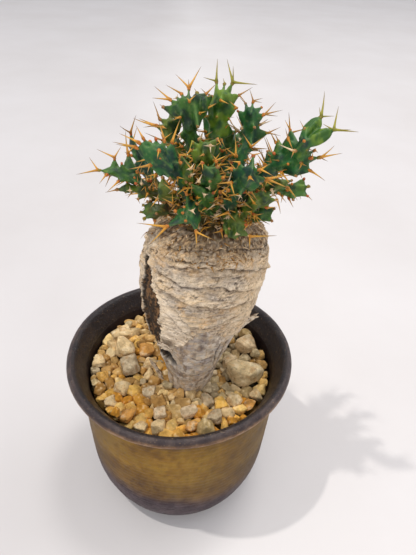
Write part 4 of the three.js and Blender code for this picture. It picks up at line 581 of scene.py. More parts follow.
        [39.5, -18.6, 215.9, 38.5, -13.5, 221.1, 2.8, 0, [[36.6, -11.1, 224, 0], [36.8, -14.1, 223.4, 1]]],
        [38.7, -17.6, 215.1, 37.4, -18.2, 219.2, 2.2, 0, [[36.1, -16.6, 222.8, 1], [39, -22.7, 216.6, 0]]],
        [33, -14.3, 208.5, 31.6, -11.5, 212, 2.5, 3, []],
        [34.6, -14.4, 210.5, 33.1, -17.2, 213.4, 2, 1, []],
        [41.6, -22.4, 221.1, 47.5, -18.1, 227.5, 2.6, 4, [[48.8, -12.6, 235, 4], [47.1, -15.9, 230.4, 4], [52.1, -19, 228.4, 4]]],
        [42.6, -23.5, 219.8, 50.9, -24.3, 225.3, 3.3, 4, [[52.7, -19.5, 232, 4], [59.8, -25, 225.2, 4], [56.7, -25.4, 226.1, 4], [46.9, -24.9, 227.5, 4]]],
        [41.6, -23, 220.3, 41.8, -21.6, 224.3, 1.8, 3, [[41.4, -21.3, 224.7, 1]]],
        [42.3, -22.7, 218.8, 41.2, -25.8, 221.6, 2.2, 0, []],
        [42.5, -21, 215.1, 42.9, -24.1, 218, 2.2, 4, [[43.6, -24.7, 218.9, 0]]],
        [43.2, -21.1, 212.9, 48.6, -22.7, 214.7, 2.2, 4, [[53.9, -20.3, 218.4, 0], [56.8, -22, 216.3, 0], [51.4, -24.5, 214, 1]]],
        [42.9, -21.6, 214.2, 46.5, -21.4, 216.6, 2, 0, [[47.7, -22.9, 216.4, 0]]],
        [42.7, -21.2, 213.7, 45, -24.5, 215.1, 2.4, 1, [[45.4, -24, 217.5, 0]]],
        [42.2, -20.2, 210.9, 45.5, -24.6, 210.4, 3.6, 0, [[51.1, -27, 207.6, 0]]],
        [38.3, -17.5, 210, 37.8, -21.6, 211.4, 2.4, 0, []],
        [40.4, -18.9, 209.5, 40.9, -23.9, 207.8, 3.2, 3, []],
    ]),
    ("stem_right_stub", 0, [[28, -3.9, 175.8, 2.5], [34, -5, 194.5, 2.5], [41.7, -5, 192.9, 2.7], [47, -5, 193.5, 2.5]], [
        [47.4, -4.8, 193.9, 49.2, -4.7, 197.8, 2.2, 1, [[49.5, -4.6, 197.9, 1]]],
        [47.4, -5, 193.5, 51.4, -5.7, 195.1, 2, 4, [[52.5, -5.9, 194.8, 1]]],
        [47.5, -5.5, 192.9, 50.9, -7.9, 192, 2.2, 1, [[53.2, -9.1, 190.5, 1]]],
        [45, -4.9, 193.4, 44, -7.4, 196.8, 2, 0, []],
        [45, -5.6, 192.4, 45, -9.7, 191.1, 2, 3, []],
        [42.5, -5, 192.9, 42.2, -8.9, 194.8, 2, 1, [[40.6, -9.3, 195.9, 0]]],
        [40.4, -5.6, 192.3, 40.2, -9.9, 192.7, 2.2, 3, [[39.7, -11.6, 190.3, 0]]],
    ]),
    ("stem_right_mid", 1, [[25.4, -6.7, 176.2, 2.5], [30.3, -9, 193.6, 2.5], [35.5, -10, 196.5, 2.5], [39.7, -10, 198.4, 2.1]], [
        [38.9, -10, 197.9, 43, -9.4, 199.2, 2.4, 3, []],
        [37, -9.6, 197.7, 36.7, -12.1, 201.2, 2, 3, []],
        [35, -8.7, 198.5, 34.3, -7.2, 202.4, 2, 2, [[33.5, -5.7, 204.4, 0]]],
        [35.1, -10, 196, 35, -14.2, 196.5, 2.2, 2, [[35.7, -15.5, 194.9, 2]]],
    ]),
    ("stem_front_right", 2, [[17.3, -11.8, 176.6, 3], [19, -16, 195.1, 3], [21.2, -21, 201.4, 3.1], [22.7, -24, 206.5, 3.3], [23.4, -25, 209.7, 2.5]], [
        [23.8, -24.9, 209.3, 24.9, -21.5, 214, 2.5, 1, [[28.7, -20.8, 215.3, 0], [22.6, -20.6, 215, 3]]],
        [21.5, -23.9, 207.6, 19.9, -23.3, 211.7, 2.6, 0, [[16.4, -23.6, 212.7, 0]]],
        [20.7, -22.7, 205.9, 17.4, -21.6, 208.8, 2.8, 0, [[14.2, -21.7, 209.9, 0], [13.9, -22.9, 208.3, 0]]],
        [24.2, -24.7, 205.7, 30, -25.5, 206.9, 3, 0, [[39.1, -25.8, 209, 0], [38.1, -29.6, 205.4, 0], [28.2, -26.5, 208.7, 0]]],
        [23.4, -24.3, 206.7, 23.4, -28.9, 209, 2.4, 0, [[22.1, -30.6, 208.3, 0], [25, -30.7, 208.4, 0]]],
        [21.6, -21, 201.5, 20.9, -25.7, 200.1, 2.8, 2, []],
        [20.7, -20.9, 202.6, 17.7, -23.5, 204.3, 2.4, 0, [[19.2, -28.1, 199.9, 0], [11.5, -24.5, 204.1, 0]]],
        [24.3, -24.3, 205.1, 27.5, -27, 206, 2.8, 3, []],
    ]),
    ("stem_low_right", 1, [[21.4, -9.6, 176.5, 2.7], [24.8, -13, 186.5, 2.7], [27.9, -17, 192.4, 2.8], [30.6, -18, 195.2, 2.4]], [
        [28.2, -16.8, 193.6, 26.1, -17.4, 197.7, 2.3, 1, [[23.3, -19.3, 196.5, 3], [28.9, -20.9, 194.9, 3]]],
        [31, -18, 195.2, 33.7, -17.2, 198.4, 2, 2, [[34.3, -18.7, 196.5, 2]]],
        [31.4, -18.5, 194.6, 35.9, -19.3, 195.6, 2.2, 2, [[37.7, -22.6, 191.3, 0], [35.8, -18.3, 197, 2]]],
        [30.3, -17.7, 195, 30.3, -18.4, 199.3, 2.2, 3, []],
        [26, -14.7, 189.8, 23.8, -17.3, 192.9, 2.2, 2, [[27.7, -20.1, 191.2, 3]]],
    ]),
    ("stem_low_right_stub", 0, [[22.8, -6, 176.7, 2.4], [26.7, -8, 180.5, 2.4], [30.6, -11, 184.6, 2.5], [33.4, -11, 185.7, 2.2]], [
        [33.4, -11.2, 185.3, 37.3, -11, 187.2, 2.2, 3, []],
        [33.4, -11.7, 184.6, 36.2, -14.8, 183.8, 2.2, 3, []],
        [31, -11.5, 184, 30.6, -15.8, 183.5, 2, 2, [[28, -17.4, 182.6, 2], [32.1, -17.6, 182.8, 3]]],
    ]),
    ("stem_front_low", 2, [[7.2, -11.8, 176.5, 2.7], [5, -16, 192.9, 2.7], [3.5, -21, 192.1, 2.8], [2.7, -25, 191.2, 2.8]], [
        [3.1, -22.9, 191.8, 1.2, -20.7, 198, 2.6, 0, [[-1.2, -20.4, 199.8, 0], [3.2, -18.6, 202.6, 0]]],
        [1.6, -25, 191.2, -5.9, -28.2, 187.9, 2.9, 0, [[-17.3, -27.9, 188.9, 0], [-13, -33.2, 182.2, 0]]],
        [3.8, -24.7, 191.1, 5, -30.1, 187.3, 3.2, 0, [[5.5, -35.2, 182.2, 0], [11.8, -33.2, 185.5, 0]]],
        [1.6, -23.1, 191.9, 0.5, -26, 195, 1.8, 0, []],
        [0, -24.5, 191.7, -2.7, -27, 193.8, 1.6, 0, []],
        [1.2, -24.7, 191.5, -0.1, -28.9, 194.2, 1.8, 0, []],
        [2, -25.4, 190.6, 1, -30.7, 191.9, 2.2, 0, []],
        [3.5, -23.7, 191.4, 3.6, -27.2, 194.2, 2.2, 2, []],
    ]),
    ("stem_left_stub", 0, [[-0.3, -4.6, 176.2, 2.5], [-5.4, -6, 183.7, 2.5], [-9.5, -9, 183.8, 2.7], [-12.3, -9, 183.3, 2.2]], [
        [-12.8, -9, 183.2, -17.1, -8.8, 183, 1.7, 4, [[-17.5, -8.3, 183.7, 1]]],
        [-12.3, -9.2, 182.9, -15.7, -11.5, 181.5, 1.8, 4, [[-15.9, -12.5, 180.2, 1]]],
        [-12.4, -8.5, 183.9, -16.2, -7.2, 185.3, 1.7, 4, [[-17, -6.6, 186, 1]]],
        [-11.5, -8.3, 184.3, -14.5, -8.1, 187.5, 1.7, 3, [[-14.4, -7.9, 187.7, 1]]],
        [-10.3, -9.2, 183.4, -10.6, -13.2, 185, 1.8, 3, []],
    ]),
    ("stem_front_right_low", 1, [[16.1, -8.2, 177.2, 2.5], [17.5, -11, 188.4, 2.5], [18.1, -16, 186.2, 2.7], [18.4, -20, 183.4, 2.7]], [
        [18.1, -16.4, 185.9, 17.6, -19.9, 189.7, 2.2, 2, [[10.2, -22, 187.8, 0], [20.9, -22.9, 187.5, 0], [18, -18.6, 191.4, 2]]],
        [17.3, -19.1, 183.8, 15.6, -22.1, 186.4, 1.8, 3, []],
        [18.4, -20, 183.4, 18, -24.7, 185.5, 2, 3, []],
        [17.7, -20.7, 182.4, 17, -24.9, 182.4, 2, 3, []],
        [19.7, -21, 182.2, 21.6, -24.7, 181, 2.2, 3, []],
        [19.7, -20.5, 182.9, 21.1, -24.5, 183.2, 2, 2, []],
        [20.9, -19, 184.3, 25.1, -20.3, 184.7, 3, 1, [[23.8, -22.5, 183.2, 0], [26.7, -19.1, 186.4, 0]]],
        [21.2, -20.6, 182.9, 26.3, -23.3, 181.5, 2.2, 2, [[37.4, -23.5, 182.1, 0], [26.5, -27.6, 177.2, 0]]],
        [17.4, -12.3, 187.8, 15.4, -14.1, 191.8, 2.4, 2, [[14.8, -16.8, 189.9, 3]]],
        [19, -13.4, 187.5, 22.4, -13.4, 191.2, 2.4, 2, [[23.9, -12.5, 192.6, 2]]],
        [19.7, -15.3, 186.7, 22.1, -17.9, 189.3, 2.2, 2, [[22.1, -20.4, 187.4, 3]]],
    ]),
    ("stem_back_mid", 0, [[15.4, 2.6, 177.4, 2.8], [16.4, 4, 192.4, 2.8], [17, 8, 199.7, 2.8], [18.4, 10, 206.9, 2.8], [19, 10, 210.3, 2.4]], [
        [18.7, 10, 208.6, 21.7, 11.7, 211.2, 2.2, 3, [[16.5, 14.1, 213.9, 1]]],
        [17.5, 10, 206.8, 15.1, 11.2, 210.1, 2.6, 3, []],
        [18.5, 9.6, 205.3, 22.1, 8.6, 207.4, 2.4, 3, []],
        [18.6, 10, 209.5, 17.7, 12.6, 212.8, 2.2, 3, [[15.6, 13.8, 214.3, 1]]],
        [16.9, 9.1, 202.8, 14.9, 6.1, 205.1, 2.4, 0, []],
    ]),
    ("stem_centre_upper", 1, [[10.7, -7.5, 177.3, 2.8], [9.9, -10, 194.4, 2.8], [9, -13, 203.5, 2.8], [7.8, -16, 211.1, 3], [7.3, -16, 214.6, 2.4]], [
        [8.5, -15.9, 213, 9.3, -18.9, 216, 2, 2, [[6.8, -18.6, 216.1, 2], [11.3, -18.9, 216.2, 2], [9.5, -21.3, 214.5, 2]]],
        [6.3, -16.1, 212.6, 3.3, -15.2, 215.7, 2.4, 4, [[1.8, -17.9, 213.6, 4]]],
        [5.6, -16.2, 211.1, 2.7, -18, 213.8, 2.4, 4, [[0.1, -20.4, 212, 0]]],
        [7.4, -16.2, 210.8, 6.9, -20, 213.2, 2.2, 3, [[5.1, -21.4, 212.9, 3]]],
        [9.4, -15.3, 209.3, 11, -18.9, 210.9, 2.4, 4, [[13.4, -18.2, 213.8, 0]]],
        [7, -15.9, 213.4, 5.7, -12.6, 215.8, 2.2, 3, [[6.9, -11.1, 218, 2]]],
        [9.1, -16, 213.9, 11.9, -14.2, 216.6, 2.2, 3, [[13.8, -16.7, 215.1, 0]]],
    ]),
    ("stem_centre", 0, [[11.7, -11.1, 176.9, 2.8], [11.2, -15, 195.2, 2.8], [10, -19, 201.8, 3.1], [9.2, -23, 208, 3.1]], [
        [8.9, -22.4, 207.3, 6.8, -22.8, 211, 2.4, 1, [[4.4, -24.6, 210.1, 3], [6.9, -25.5, 209.1, 0]]],
        [10, -22.4, 207.4, 12.1, -24.4, 210.5, 2.6, 3, [[13.5, -24.3, 212.5, 0]]],
        [8.8, -19.9, 203.4, 5.9, -23, 204.3, 2.4, 2, [[7.2, -22, 207.5, 2], [4.6, -23.8, 204.7, 2]]],
        [9.9, -19.9, 203.4, 9.6, -24.9, 205.2, 2.2, 3, []],
        [10.9, -20.5, 204.2, 14.3, -22.6, 205.7, 2.6, 0, [[15.4, -22.6, 207.6, 0]]],
        [10.1, -18, 200.1, 9.5, -23, 201.7, 2.2, 2, []],
    ]),
    ("stem_centre_low", 0, [[10.9, -9.6, 177.2, 2.5], [10.2, -13, 185.2, 2.5], [8.1, -18, 193.2, 2.8], [7, -21, 199.4, 3]], [
        [7.5, -20.3, 197.8, 7.8, -25, 199.9, 2, 2, []],
        [8.7, -19.4, 196.5, 11.3, -21.7, 199.1, 2.4, 1, [[12.9, -21.6, 201.1, 0]]],
        [9.7, -17.1, 192.8, 12.6, -19.2, 195.2, 2.4, 1, [[10.7, -21.1, 194.1, 3], [13.7, -17.8, 197.1, 0]]],
        [7.3, -18.9, 194.5, 5.4, -22.7, 195, 2.2, 3, [[7.5, -21.8, 196.5, 0]]],
        [7, -17.4, 192, 5.2, -21.3, 192.1, 2, 3, [[8.8, -23.6, 191.1, 0]]],
        [8.2, -16.7, 191.2, 8.5, -21, 192.2, 2.2, 3, [[6.5, -22.7, 191.4, 0]]],
        [5.9, -21, 199.3, 2.6, -20.6, 202, 2.6, 3, []],
        [9.9, -16, 190.4, 13.3, -17.3, 192.7, 2, 2, []],
    ]),
    ("stem_centre_left", 1, [[7.2, -8.9, 177.1, 2.7], [5.1, -12, 192.6, 2.7], [2.9, -16, 199.7, 2.8], [1.6, -19, 205.2, 2.8], [1.2, -19, 207.5, 2.2]], [
        [1.6, -18.9, 205.5, 2.5, -21.9, 208.5, 2, 2, [[0.1, -20.9, 211.4, 3], [3.9, -20.7, 210.3, 2], [0.9, -23, 208.5, 2]]],
        [2.1, -18.4, 203.7, 2.9, -21.8, 206.1, 2, 2, [[4.5, -21.4, 206.7, 2]]],
        [0.9, -18.8, 207.8, -1.2, -16.4, 210.8, 2.2, 0, [[4.4, -17.3, 211.8, 0], [-2.6, -15.1, 212.4, 4]]],
        [2.1, -16.8, 200.9, 1, -20.9, 202.8, 2.2, 3, []],
        [2.9, -16, 199.7, 3.2, -19.2, 202.6, 2, 3, [[2.9, -23.3, 198.7, 3]]],
        [0.9, -18.5, 203.3, -2.5, -21.1, 203.7, 2.2, 2, [[-4.1, -23.8, 201.6, 0]]],
    ]),
    ("stem_left_mid", 1, [[3.9, -6, 176.9, 2.7], [0.4, -8, 185.9, 2.7], [-3.6, -12, 191.5, 2.8], [-6.8, -13, 195, 2.7], [-7.9, -13, 196.7, 2.1]], [
        [-6.8, -13.4, 193.9, -9.9, -16.7, 193.3, 2.4, 2, [[-12.7, -19.7, 190.7, 0], [-9.4, -15.3, 195.2, 3]]],
        [-3.6, -12.2, 191.2, -3.9, -17.7, 192.2, 2.2, 0, [[-8.9, -17, 194.3, 0], [-4.2, -15.5, 196.7, 0]]],
        [-7.6, -13, 195.8, -8.1, -10.4, 199.2, 2.2, 3, [[-8.8, -9.4, 200.5, 2]]],
        [-2.9, -11.5, 190.8, -2, -15, 193.1, 2, 2, [[-8.6, -15.2, 193.9, 4]]],
        [-2.1, -10.7, 189.1, -1.8, -15.4, 190.4, 1.8, 0, [[-3.9, -15.8, 191.3, 0]]],
        [-6, -12.6, 194.3, -4.9, -15.3, 197.5, 2.4, 3, []],
    ]),
    ("stem_back_1", 0, [[16, 16, 176, 2.9], [18.7, 20.7, 181.5, 2.9], [21.3, 25.3, 189.5, 2.8], [24, 30, 200, 2.2]], [
        [18.4, 20.2, 180.9, 21, 26.9, 180.6, 2.23, 3, [[16.6, 36.3, 180.9, 1], [28.9, 29.7, 180.6, 1]]],
        [19.3, 21.8, 183.2, 23.1, 18.1, 189.2, 2.23, 3, [[30.9, 14.6, 191.8, 0], [18.2, 12.9, 196, 1]]],
        [20.3, 23.5, 185.9, 14.9, 25.3, 192.4, 2.23, 3, [[13.5, 21.5, 199.4, 1], [9.5, 31.6, 194.4, 1]]],
        [21.2, 25.1, 189, 27.2, 29.2, 189.4, 2.23, 0, [[27.9, 36.8, 189, 0], [35.6, 28.9, 189.8, 1]]],
        [22.1, 26.7, 192.5, 27.1, 23.8, 197.8, 2.23, 3, [[36.4, 24.5, 197.8, 1], [26.9, 19.6, 204.3, 1]]],
        [23.1, 28.4, 196.2, 20.5, 33, 201.3, 2.23, 0, [[15.8, 31.5, 210.4, 0], [18.7, 42.2, 203.8, 1]]],
        [24, 30, 200, 27.8, 36.8, 202.9, 2.23, 1, [[24.7, 45.3, 206.9, 1], [36.2, 38.8, 204.8, 1]]],
    ]),
    ("stem_back_2", 1, [[3, 18, 176, 2.9], [0, 23, 180.9, 2.9], [-3, 28, 188.2, 2.8], [-6, 33, 198, 2.2]], [
        [0.3, 22.5, 180.3, 1.8, 29.9, 181.2, 2.23, 1, [[-4, 37.1, 177, 0], [8.1, 35, 182.8, 1]]],
        [-0.7, 24.2, 182.5, 1.1, 22.9, 189.4, 2.23, 1, [[9.3, 25.3, 194.8, 0], [-3.4, 16.7, 196.1, 1]]],
        [-1.8, 26, 184.9, -9, 26.5, 186.4, 2.23, 3, [[-15.6, 20.9, 192.1, 1], [-13.3, 32.5, 183.3, 0]]],
        [-2.8, 27.8, 187.8, 1.7, 34, 189.6, 2.23, 3, [[2.6, 41.9, 187.7, 1], [8, 36.7, 196.7, 1]]],
        [-3.9, 29.5, 191, -4.2, 26.3, 198.1, 2.23, 1, [[0.7, 23.6, 204.3, 0], [-11.2, 20.5, 201.8, 1]]],
        [-4.9, 31.2, 194.4, -9.8, 36, 196.5, 2.23, 3, [[-18.6, 35.9, 200.3, 1], [-9.5, 46, 197.7, 0]]],
        [-6, 33, 198, -3, 38.8, 203.7, 2.23, 1, [[-2.9, 46.6, 204.7, 1], [1.5, 37.2, 212.6, 1]]],
    ]),
    ("stem_back_3", 0, [[22, 6, 178, 2.9], [29, 9, 183.4, 2.9], [36, 12, 191.7, 2.8], [43, 15, 203, 2.2]], [
        [28.3, 8.7, 182.8, 28.2, 4.6, 188.6, 2.23, 1, [[34.8, -2.2, 192.4, 0], [23.9, 4.3, 196.3, 1]]],
        [30.8, 9.8, 185.1, 28.4, 13.7, 192.1, 2.23, 0, [[27.3, 11.7, 202.4, 1], [28, 21.5, 193.1, 1]]],
        [33.2, 10.8, 188, 39.8, 13.2, 186.7, 2.23, 3, [[42.9, 22.1, 186.4, 1], [48.4, 7.7, 185.3, 0]]],
        [35.6, 11.8, 191.2, 35.3, 7.6, 198.2, 2.23, 3, [[38.1, 2, 202.4, 1], [32.3, 8.1, 205.2, 1]]],
        [38.1, 12.9, 194.9, 38.7, 19.4, 198.2, 2.23, 3, [[35.1, 22.9, 205.5, 1], [46.2, 24.9, 194.7, 0]]],
        [40.6, 14, 198.9, 48.8, 15.8, 199.6, 2.23, 3, [[53.4, 22.9, 198.2, 0], [55.4, 9.8, 199.3, 0]]],
        [43, 15, 203, 44.5, 12.5, 210.4, 2.23, 0, [[51.5, 7.2, 215, 1], [42.8, 13, 219.3, 0]]],
    ]),
    ("stem_back_4", 2, [[-3, 8, 176, 2.9], [-9.3, 11.7, 180.9, 2.9], [-15.7, 15.3, 188.6, 2.8], [-22, 19, 199, 2.2]], [
        [-8.7, 11.3, 180.3, -7.9, 8.2, 187.8, 2.23, 3, [[-2.3, 10, 194.5, 1], [-8.3, -0.1, 192.9, 1]]],
        [-10.9, 12.6, 182.5, -18.1, 10.3, 182.3, 2.23, 0, [[-20.9, 2.8, 185.9, 0], [-26.6, 14.3, 178.6, 0]]],
        [-13.1, 13.9, 185.1, -16.5, 21.4, 184, 2.23, 0, [[-23.3, 24.7, 181.1, 0], [-13, 27.9, 186.9, 1]]],
        [-15.3, 15.2, 188.1, -14.7, 13.8, 196.2, 2.23, 0, [[-10.1, 15.9, 202, 1], [-16.5, 6.6, 202.7, 0]]],
        [-17.6, 16.4, 191.5, -26.2, 15.5, 190, 2.23, 1, [[-31.4, 9.5, 191.7, 0], [-34, 21.8, 187.5, 1]]],
        [-19.8, 17.7, 195.2, -23.5, 24.1, 197.7, 2.23, 3, [[-31.1, 27.2, 197.7, 0], [-21.3, 30.3, 204.8, 0]]],
        [-22, 19, 199, -22.9, 17.7, 206.4, 2.23, 1, [[-20.4, 19.2, 213.9, 0], [-26.9, 13, 211.2, 1]]],
    ]),
    ("stem_back_5", 2, [[10.8, 9.8, 176.8, 3], [10, 14, 178, 3], [10.7, 17.3, 185.8, 3], [11.3, 20.7, 196.4, 2.9], [12, 24, 210, 2.3]], [
        [10.6, 17, 184.9, 4.6, 14.9, 190, 2.36, 3, [[2.5, 8.9, 196.2, 0], [-3.4, 20.7, 193.2, 1]]],
        [10.8, 18, 187.6, 13.4, 26.1, 190, 2.36, 0, [[9.2, 35.6, 189.6, 0], [20.9, 30.4, 193.5, 0]]],
        [11, 19, 190.6, 15.5, 15.1, 195.5, 2.36, 1, [[23.3, 14.9, 197.5, 1], [12.2, 9.1, 203, 0]]],
        [11.2, 20, 194, 4.7, 19.6, 198.6, 2.36, 3, [[3.3, 13.6, 205.4, 0], [-2.8, 26, 200.9, 1]]],
        [11.4, 21, 197.7, 13, 28.8, 198.8, 2.36, 0, [[8.4, 34.9, 199.7, 0], [19.1, 34.4, 201.6, 1]]],
        [11.6, 22, 201.6, 16.3, 18.1, 206.4, 2.36, 1, [[26, 19.8, 208.7, 0], [15.8, 10.4, 210.9, 0]]],
        [11.8, 23, 205.8, 7.9, 23.8, 213, 2.36, 3, [[9, 19.5, 220.7, 1], [2, 30.4, 216.5, 0]]],
        [12, 24, 210, 13.8, 30.8, 214.8, 2.36, 0, [[9.7, 38, 219.5, 1], [20.9, 31.2, 219.4, 1]]],
    ]),
    ("stem_back_6", 1, [[25, 15, 174, 2.7], [29.7, 20.3, 175.9, 2.7], [34.3, 25.7, 179.9, 2.6], [39, 31, 186, 2]], [
        [29.2, 19.8, 175.6, 28.1, 27.6, 176.4, 2.11, 0, [[24.1, 32.7, 181.1, 1], [31.6, 35.3, 170.2, 1]]],
        [31.2, 22, 176.9, 37.5, 23.8, 173.7, 2.11, 0, [[38.2, 30.2, 167.9, 1], [45.9, 20.3, 175, 1]]],
        [33.1, 24.3, 178.6, 34, 24.5, 187.1, 2.11, 0, [[37.3, 19.8, 194.5, 1], [30.4, 29.5, 194.2, 0]]],
        [35.1, 26.5, 180.8, 35.6, 34.6, 179.9, 2.11, 0, [[30.9, 41.5, 184.4, 0], [38.7, 39.6, 174.7, 0]]],
        [37, 28.8, 183.3, 44.2, 32.7, 183.2, 2.11, 1, [[49.8, 39.6, 179.1, 0], [53.4, 31.6, 187.2, 0]]],
        [39, 31, 186, 42, 31.3, 193.1, 2.11, 1, [[49.2, 27.9, 195.9, 0], [38.3, 35.3, 200.7, 0]]],
    ]),
]


# ---------------------------------------------------------------------- pot
RIM_R, POT_H = 60.0, 96.5
FOOT_OUT, FOOT_IN, RISE = 41.8, 33.6, 3.2
NOTCH = [math.radians(a) for a in (-99.5, 20.5, 140.5)]
# [radius, height] of the closed wall section, and how finely each stretch is cut
POT_PROFILE = [
    (FOOT_IN, 0, 3), (34.4, -0.0, 4), (41.0, 0.0, 3), (FOOT_OUT, 0.5, 3), (42.5, 1.8, 4), (44.0, 4.4, 6), (46.7, 10, 6),
    (49.1, 17, 8), (50.9, 26, 12), (51.8, 38, 12), (52.3, 50, 12), (52.8, 62, 10), (53.2, 73, 9), (53.7, 82, 5),
    (54.3, 86.8, 4), (55.4, 88.6, 4), (57.6, 89.9, 4), (59.2, 91.4, 4), (59.9, 93.2, 4), (59.7, 94.9, 4), (58.9, 96.0, 4),
    (57.6, POT_H, 4), (56.2, 96.2, 4), (55.0, 95.0, 5), (53.4, 92.0, 6), (51.4, 88.2, 6), (50.0, 84.2, 6), (49.3, 78, 6),
    (48.9, 64, 4), (48.4, 50, 4), (47.2, 26, 4), (44.2, 14.6, 4), (40.0, 8.0, 3), (30.0, 6.6, 2), (7.2, 6.6, 2), (6.5, 6.0, 2),
    (6.5, 3.8, 2), (7.2, RISE, 2), (31.6, RISE, 2), (32.8, 2.4, 2),
]


def catmull(points, steps):
    P = np.array(points, float)
    n = len(P)
    out = []
    for i in range(n):
        a, b, c, d = P[i - 1], P[i], P[(i + 1) % n], P[(i + 2) % n]
        lo, hi = np.minimum(b, c), np.maximum(b, c)
        for t in np.arange(steps[i]) / steps[i]:
            q = 0.5 * (2 * b + (c - a) * t + (2 * a - 5 * b + 4 * c - d) * t**2 + (3 * b - a - 3 * c + d) * t**3)
            out.append(np.clip(q, lo, hi) if i < 2 or i > 27 else q)
    return np.array(out)


def make_pot():
    prof = catmull([p[:2] for p in POT_PROFILE], [p[2] for p in POT_PROFILE])
    M, K = 288, len(prof)
    th = np.arange(M) / M * 2 * np.pi
    R = np.repeat(prof[:, :1], M, 1)
    Z = np.repeat(prof[:, 1:], M, 1)
    T = np.repeat(th[None], K, 0)
    cs, sn = np.cos(T), np.sin(T)
    # thrown by hand: the wall and the lip are a little uneven
    w = 0.30 * np.sin(2 * T + 0.6) + 0.22 * np.sin(3 * T + 2.0) + 0.16 * fbm(np.stack([cs * 1.6, sn * 1.6, Z * 0.02], -1), 5, 3)
    hi = smooth(60, 96, Z)
    R2 = R + w * hi * smooth(20, 45, R) - 0.36 * hi
    lip = smooth(86, 96, Z)
    Z2 = Z + lip * (0.35 * np.sin(2 * T + 2.2) + 0.25 * np.sin(5 * T + 0.7) + 0.35 * fbm(np.stack([cs * 3, sn * 3, cs * 0], -1), 9, 3) - 0.45)
    R2 = R2 + 0.10 * fbm(np.stack([cs * 14, sn * 14, Z * 0.25], -1), 3, 3) * smooth(30, 40, R) * smooth(1, 4, Z)
    R2 = R2 + 0.09 * np.sin(Z * 2.1 + 1.3 * np.sin(T)) * smooth(12, 20, Z) * (1 - smooth(84, 90, Z))
    R2 = np.minimum(R2, RIM_R)
    # arched cut-outs through the foot ring
    for a in NOTCH:
        d = (T - a + np.pi) % (2 * np.pi) - np.pi
        s = np.abs(d) * 38
        arch = np.sqrt(np.maximum(3.4**2 - s**2, 0)) - 0.5
        under = (R > 33) & (Z < 3.0)
        Z2 = np.where(under & (arch > 0), np.maximum(Z2, np.minimum(arch, 2.7)), Z2)
    X, Y = R2 * cs, R2 * sn
    P = np.stack([X, Y, Z2], -1)
    # glaze: bronze body, dark lip, inside and foot
    q = np.stack([X, Y, Z], -1)
    n1, n2 = fbm(q / 13.0, 21, 4), fbm(q / 4.0, 22, 4, 0.6)
    bronze = mixc(lin((132, 96, 30)), lin((104, 72, 24)), smooth(-0.2, 0.45, n1 + 0.4 * n2))
    bronze = mixc(bronze, lin((150, 118, 42)), smooth(0.05, 0.5, -n1 + 0.5 * n2) * 0.5)
    n3 = fbm(q / np.array([2.2, 2.2, 3.4]), 41, 4, 0.6)
    bronze = mixc(bronze, lin((86, 56, 22)), smooth(0.1, 0.42, n3) * 0.35)
    bronze = mixc(bronze, lin((160, 124, 52)), smooth(0.1, 0.42, -n3) * 0.3)
    # painted shade: the glaze is darkened on the left and right sides of the pot, where the wall turns away
    bronze = mixc(bronze, lin((84, 66, 30)), smooth(0.2, 0.95, np.abs(np.cos(T + 0.2))) * 0.55)
    dark = mixc(lin((50, 38, 39)), lin((74, 60, 56)), smooth(-0.2, 0.5, n2))
    band = mixc(lin((58, 44, 50)), lin((82, 68, 72)), smooth(-0.3, 0.4, n2))
    inner = mixc(lin((30, 22, 23)), lin((48, 37, 33)), smooth(-0.3, 0.5, n1 + 0.4 * n2))
    outer = np.arange(K)[:, None] < int(np.argmax(prof[:, 1]))
    low = 1 - smooth(24, 44, Z + 7.0 * n1 + 3.0 * n2 + 5 * np.cos(T))
    up = smooth(80, 88, Z + 2.4 * n1 + 1.5 * n2)
    c = mixc(bronze, band, np.clip(low, 0, 1))
    # dark ring where the wall turns into the lower band
    ring = np.exp(-(((Z + 7.0 * n1 + 5 * np.cos(T) - 45) / 6.0) ** 2)) * 0.35
    c = mixc(c, lin((60, 44, 38)), ring)
    c = mixc(c, dark, up)
    # crazing near the bottom at the front
    d1, d2, _ = worley(q / 6.5, 31)
    crack = (1 - smooth(0.0, 0.07, d2 - d1)) * smooth(0.0, 0.35, fbm(q / 22.0, 33, 2) + 0.25) * (1 - smooth(46, 60, Z)) * smooth(8, 16, Z)
    c = mixc(c, lin((64, 44, 24)), crack * 0.55)
    c = np.where(outer[..., None], c, inner)
    frontl = smooth(0.1, 0.75, np.cos(T + np.pi / 2 - 0.1)) * outer * smooth(84, 88, Z) * (1 - smooth(93.0, 95.5, Z))
    c = mixc(c, mixc(lin((104, 66, 26)), lin((148, 104, 52)), smooth(-0.3, 0.3, n2)), frontl * 0.85)
    worn = smooth(89.5, 91.5, Z) * (1 - smooth(93.5, 95.0, Z)) * smooth(0.05, 0.35, n2 + 0.6 * fbm(q / 1.6, 35, 2)) * outer
    c = mixc(c, lin((150, 120, 92)), worn * 0.55)
    c = np.where((Z < 3.4)[..., None] & (R < 42.3)[..., None], lin((74, 60, 58)), c)
    m = Mesh()
    f = grid_faces(K, M)
    last = np.stack([(K - 1) * M + np.arange(M), (K - 1) * M + (np.arange(M) + 1) % M, (np.arange(M) + 1) % M, np.arange(M)], -1)
    F_ = np.concatenate([f, last])
    zf = P.reshape(-1, 3)[F_][..., 2].mean(1)
    m.add(P.reshape(-1, 3), F_, c.reshape(-1, 3))
    m.m = [np.where(zf > 86.5, 1, 0)]
    return piece(m.build("glazed_pot_body", [GLAZE, LIP]), "glazed_pot", "pot")


make_pot()


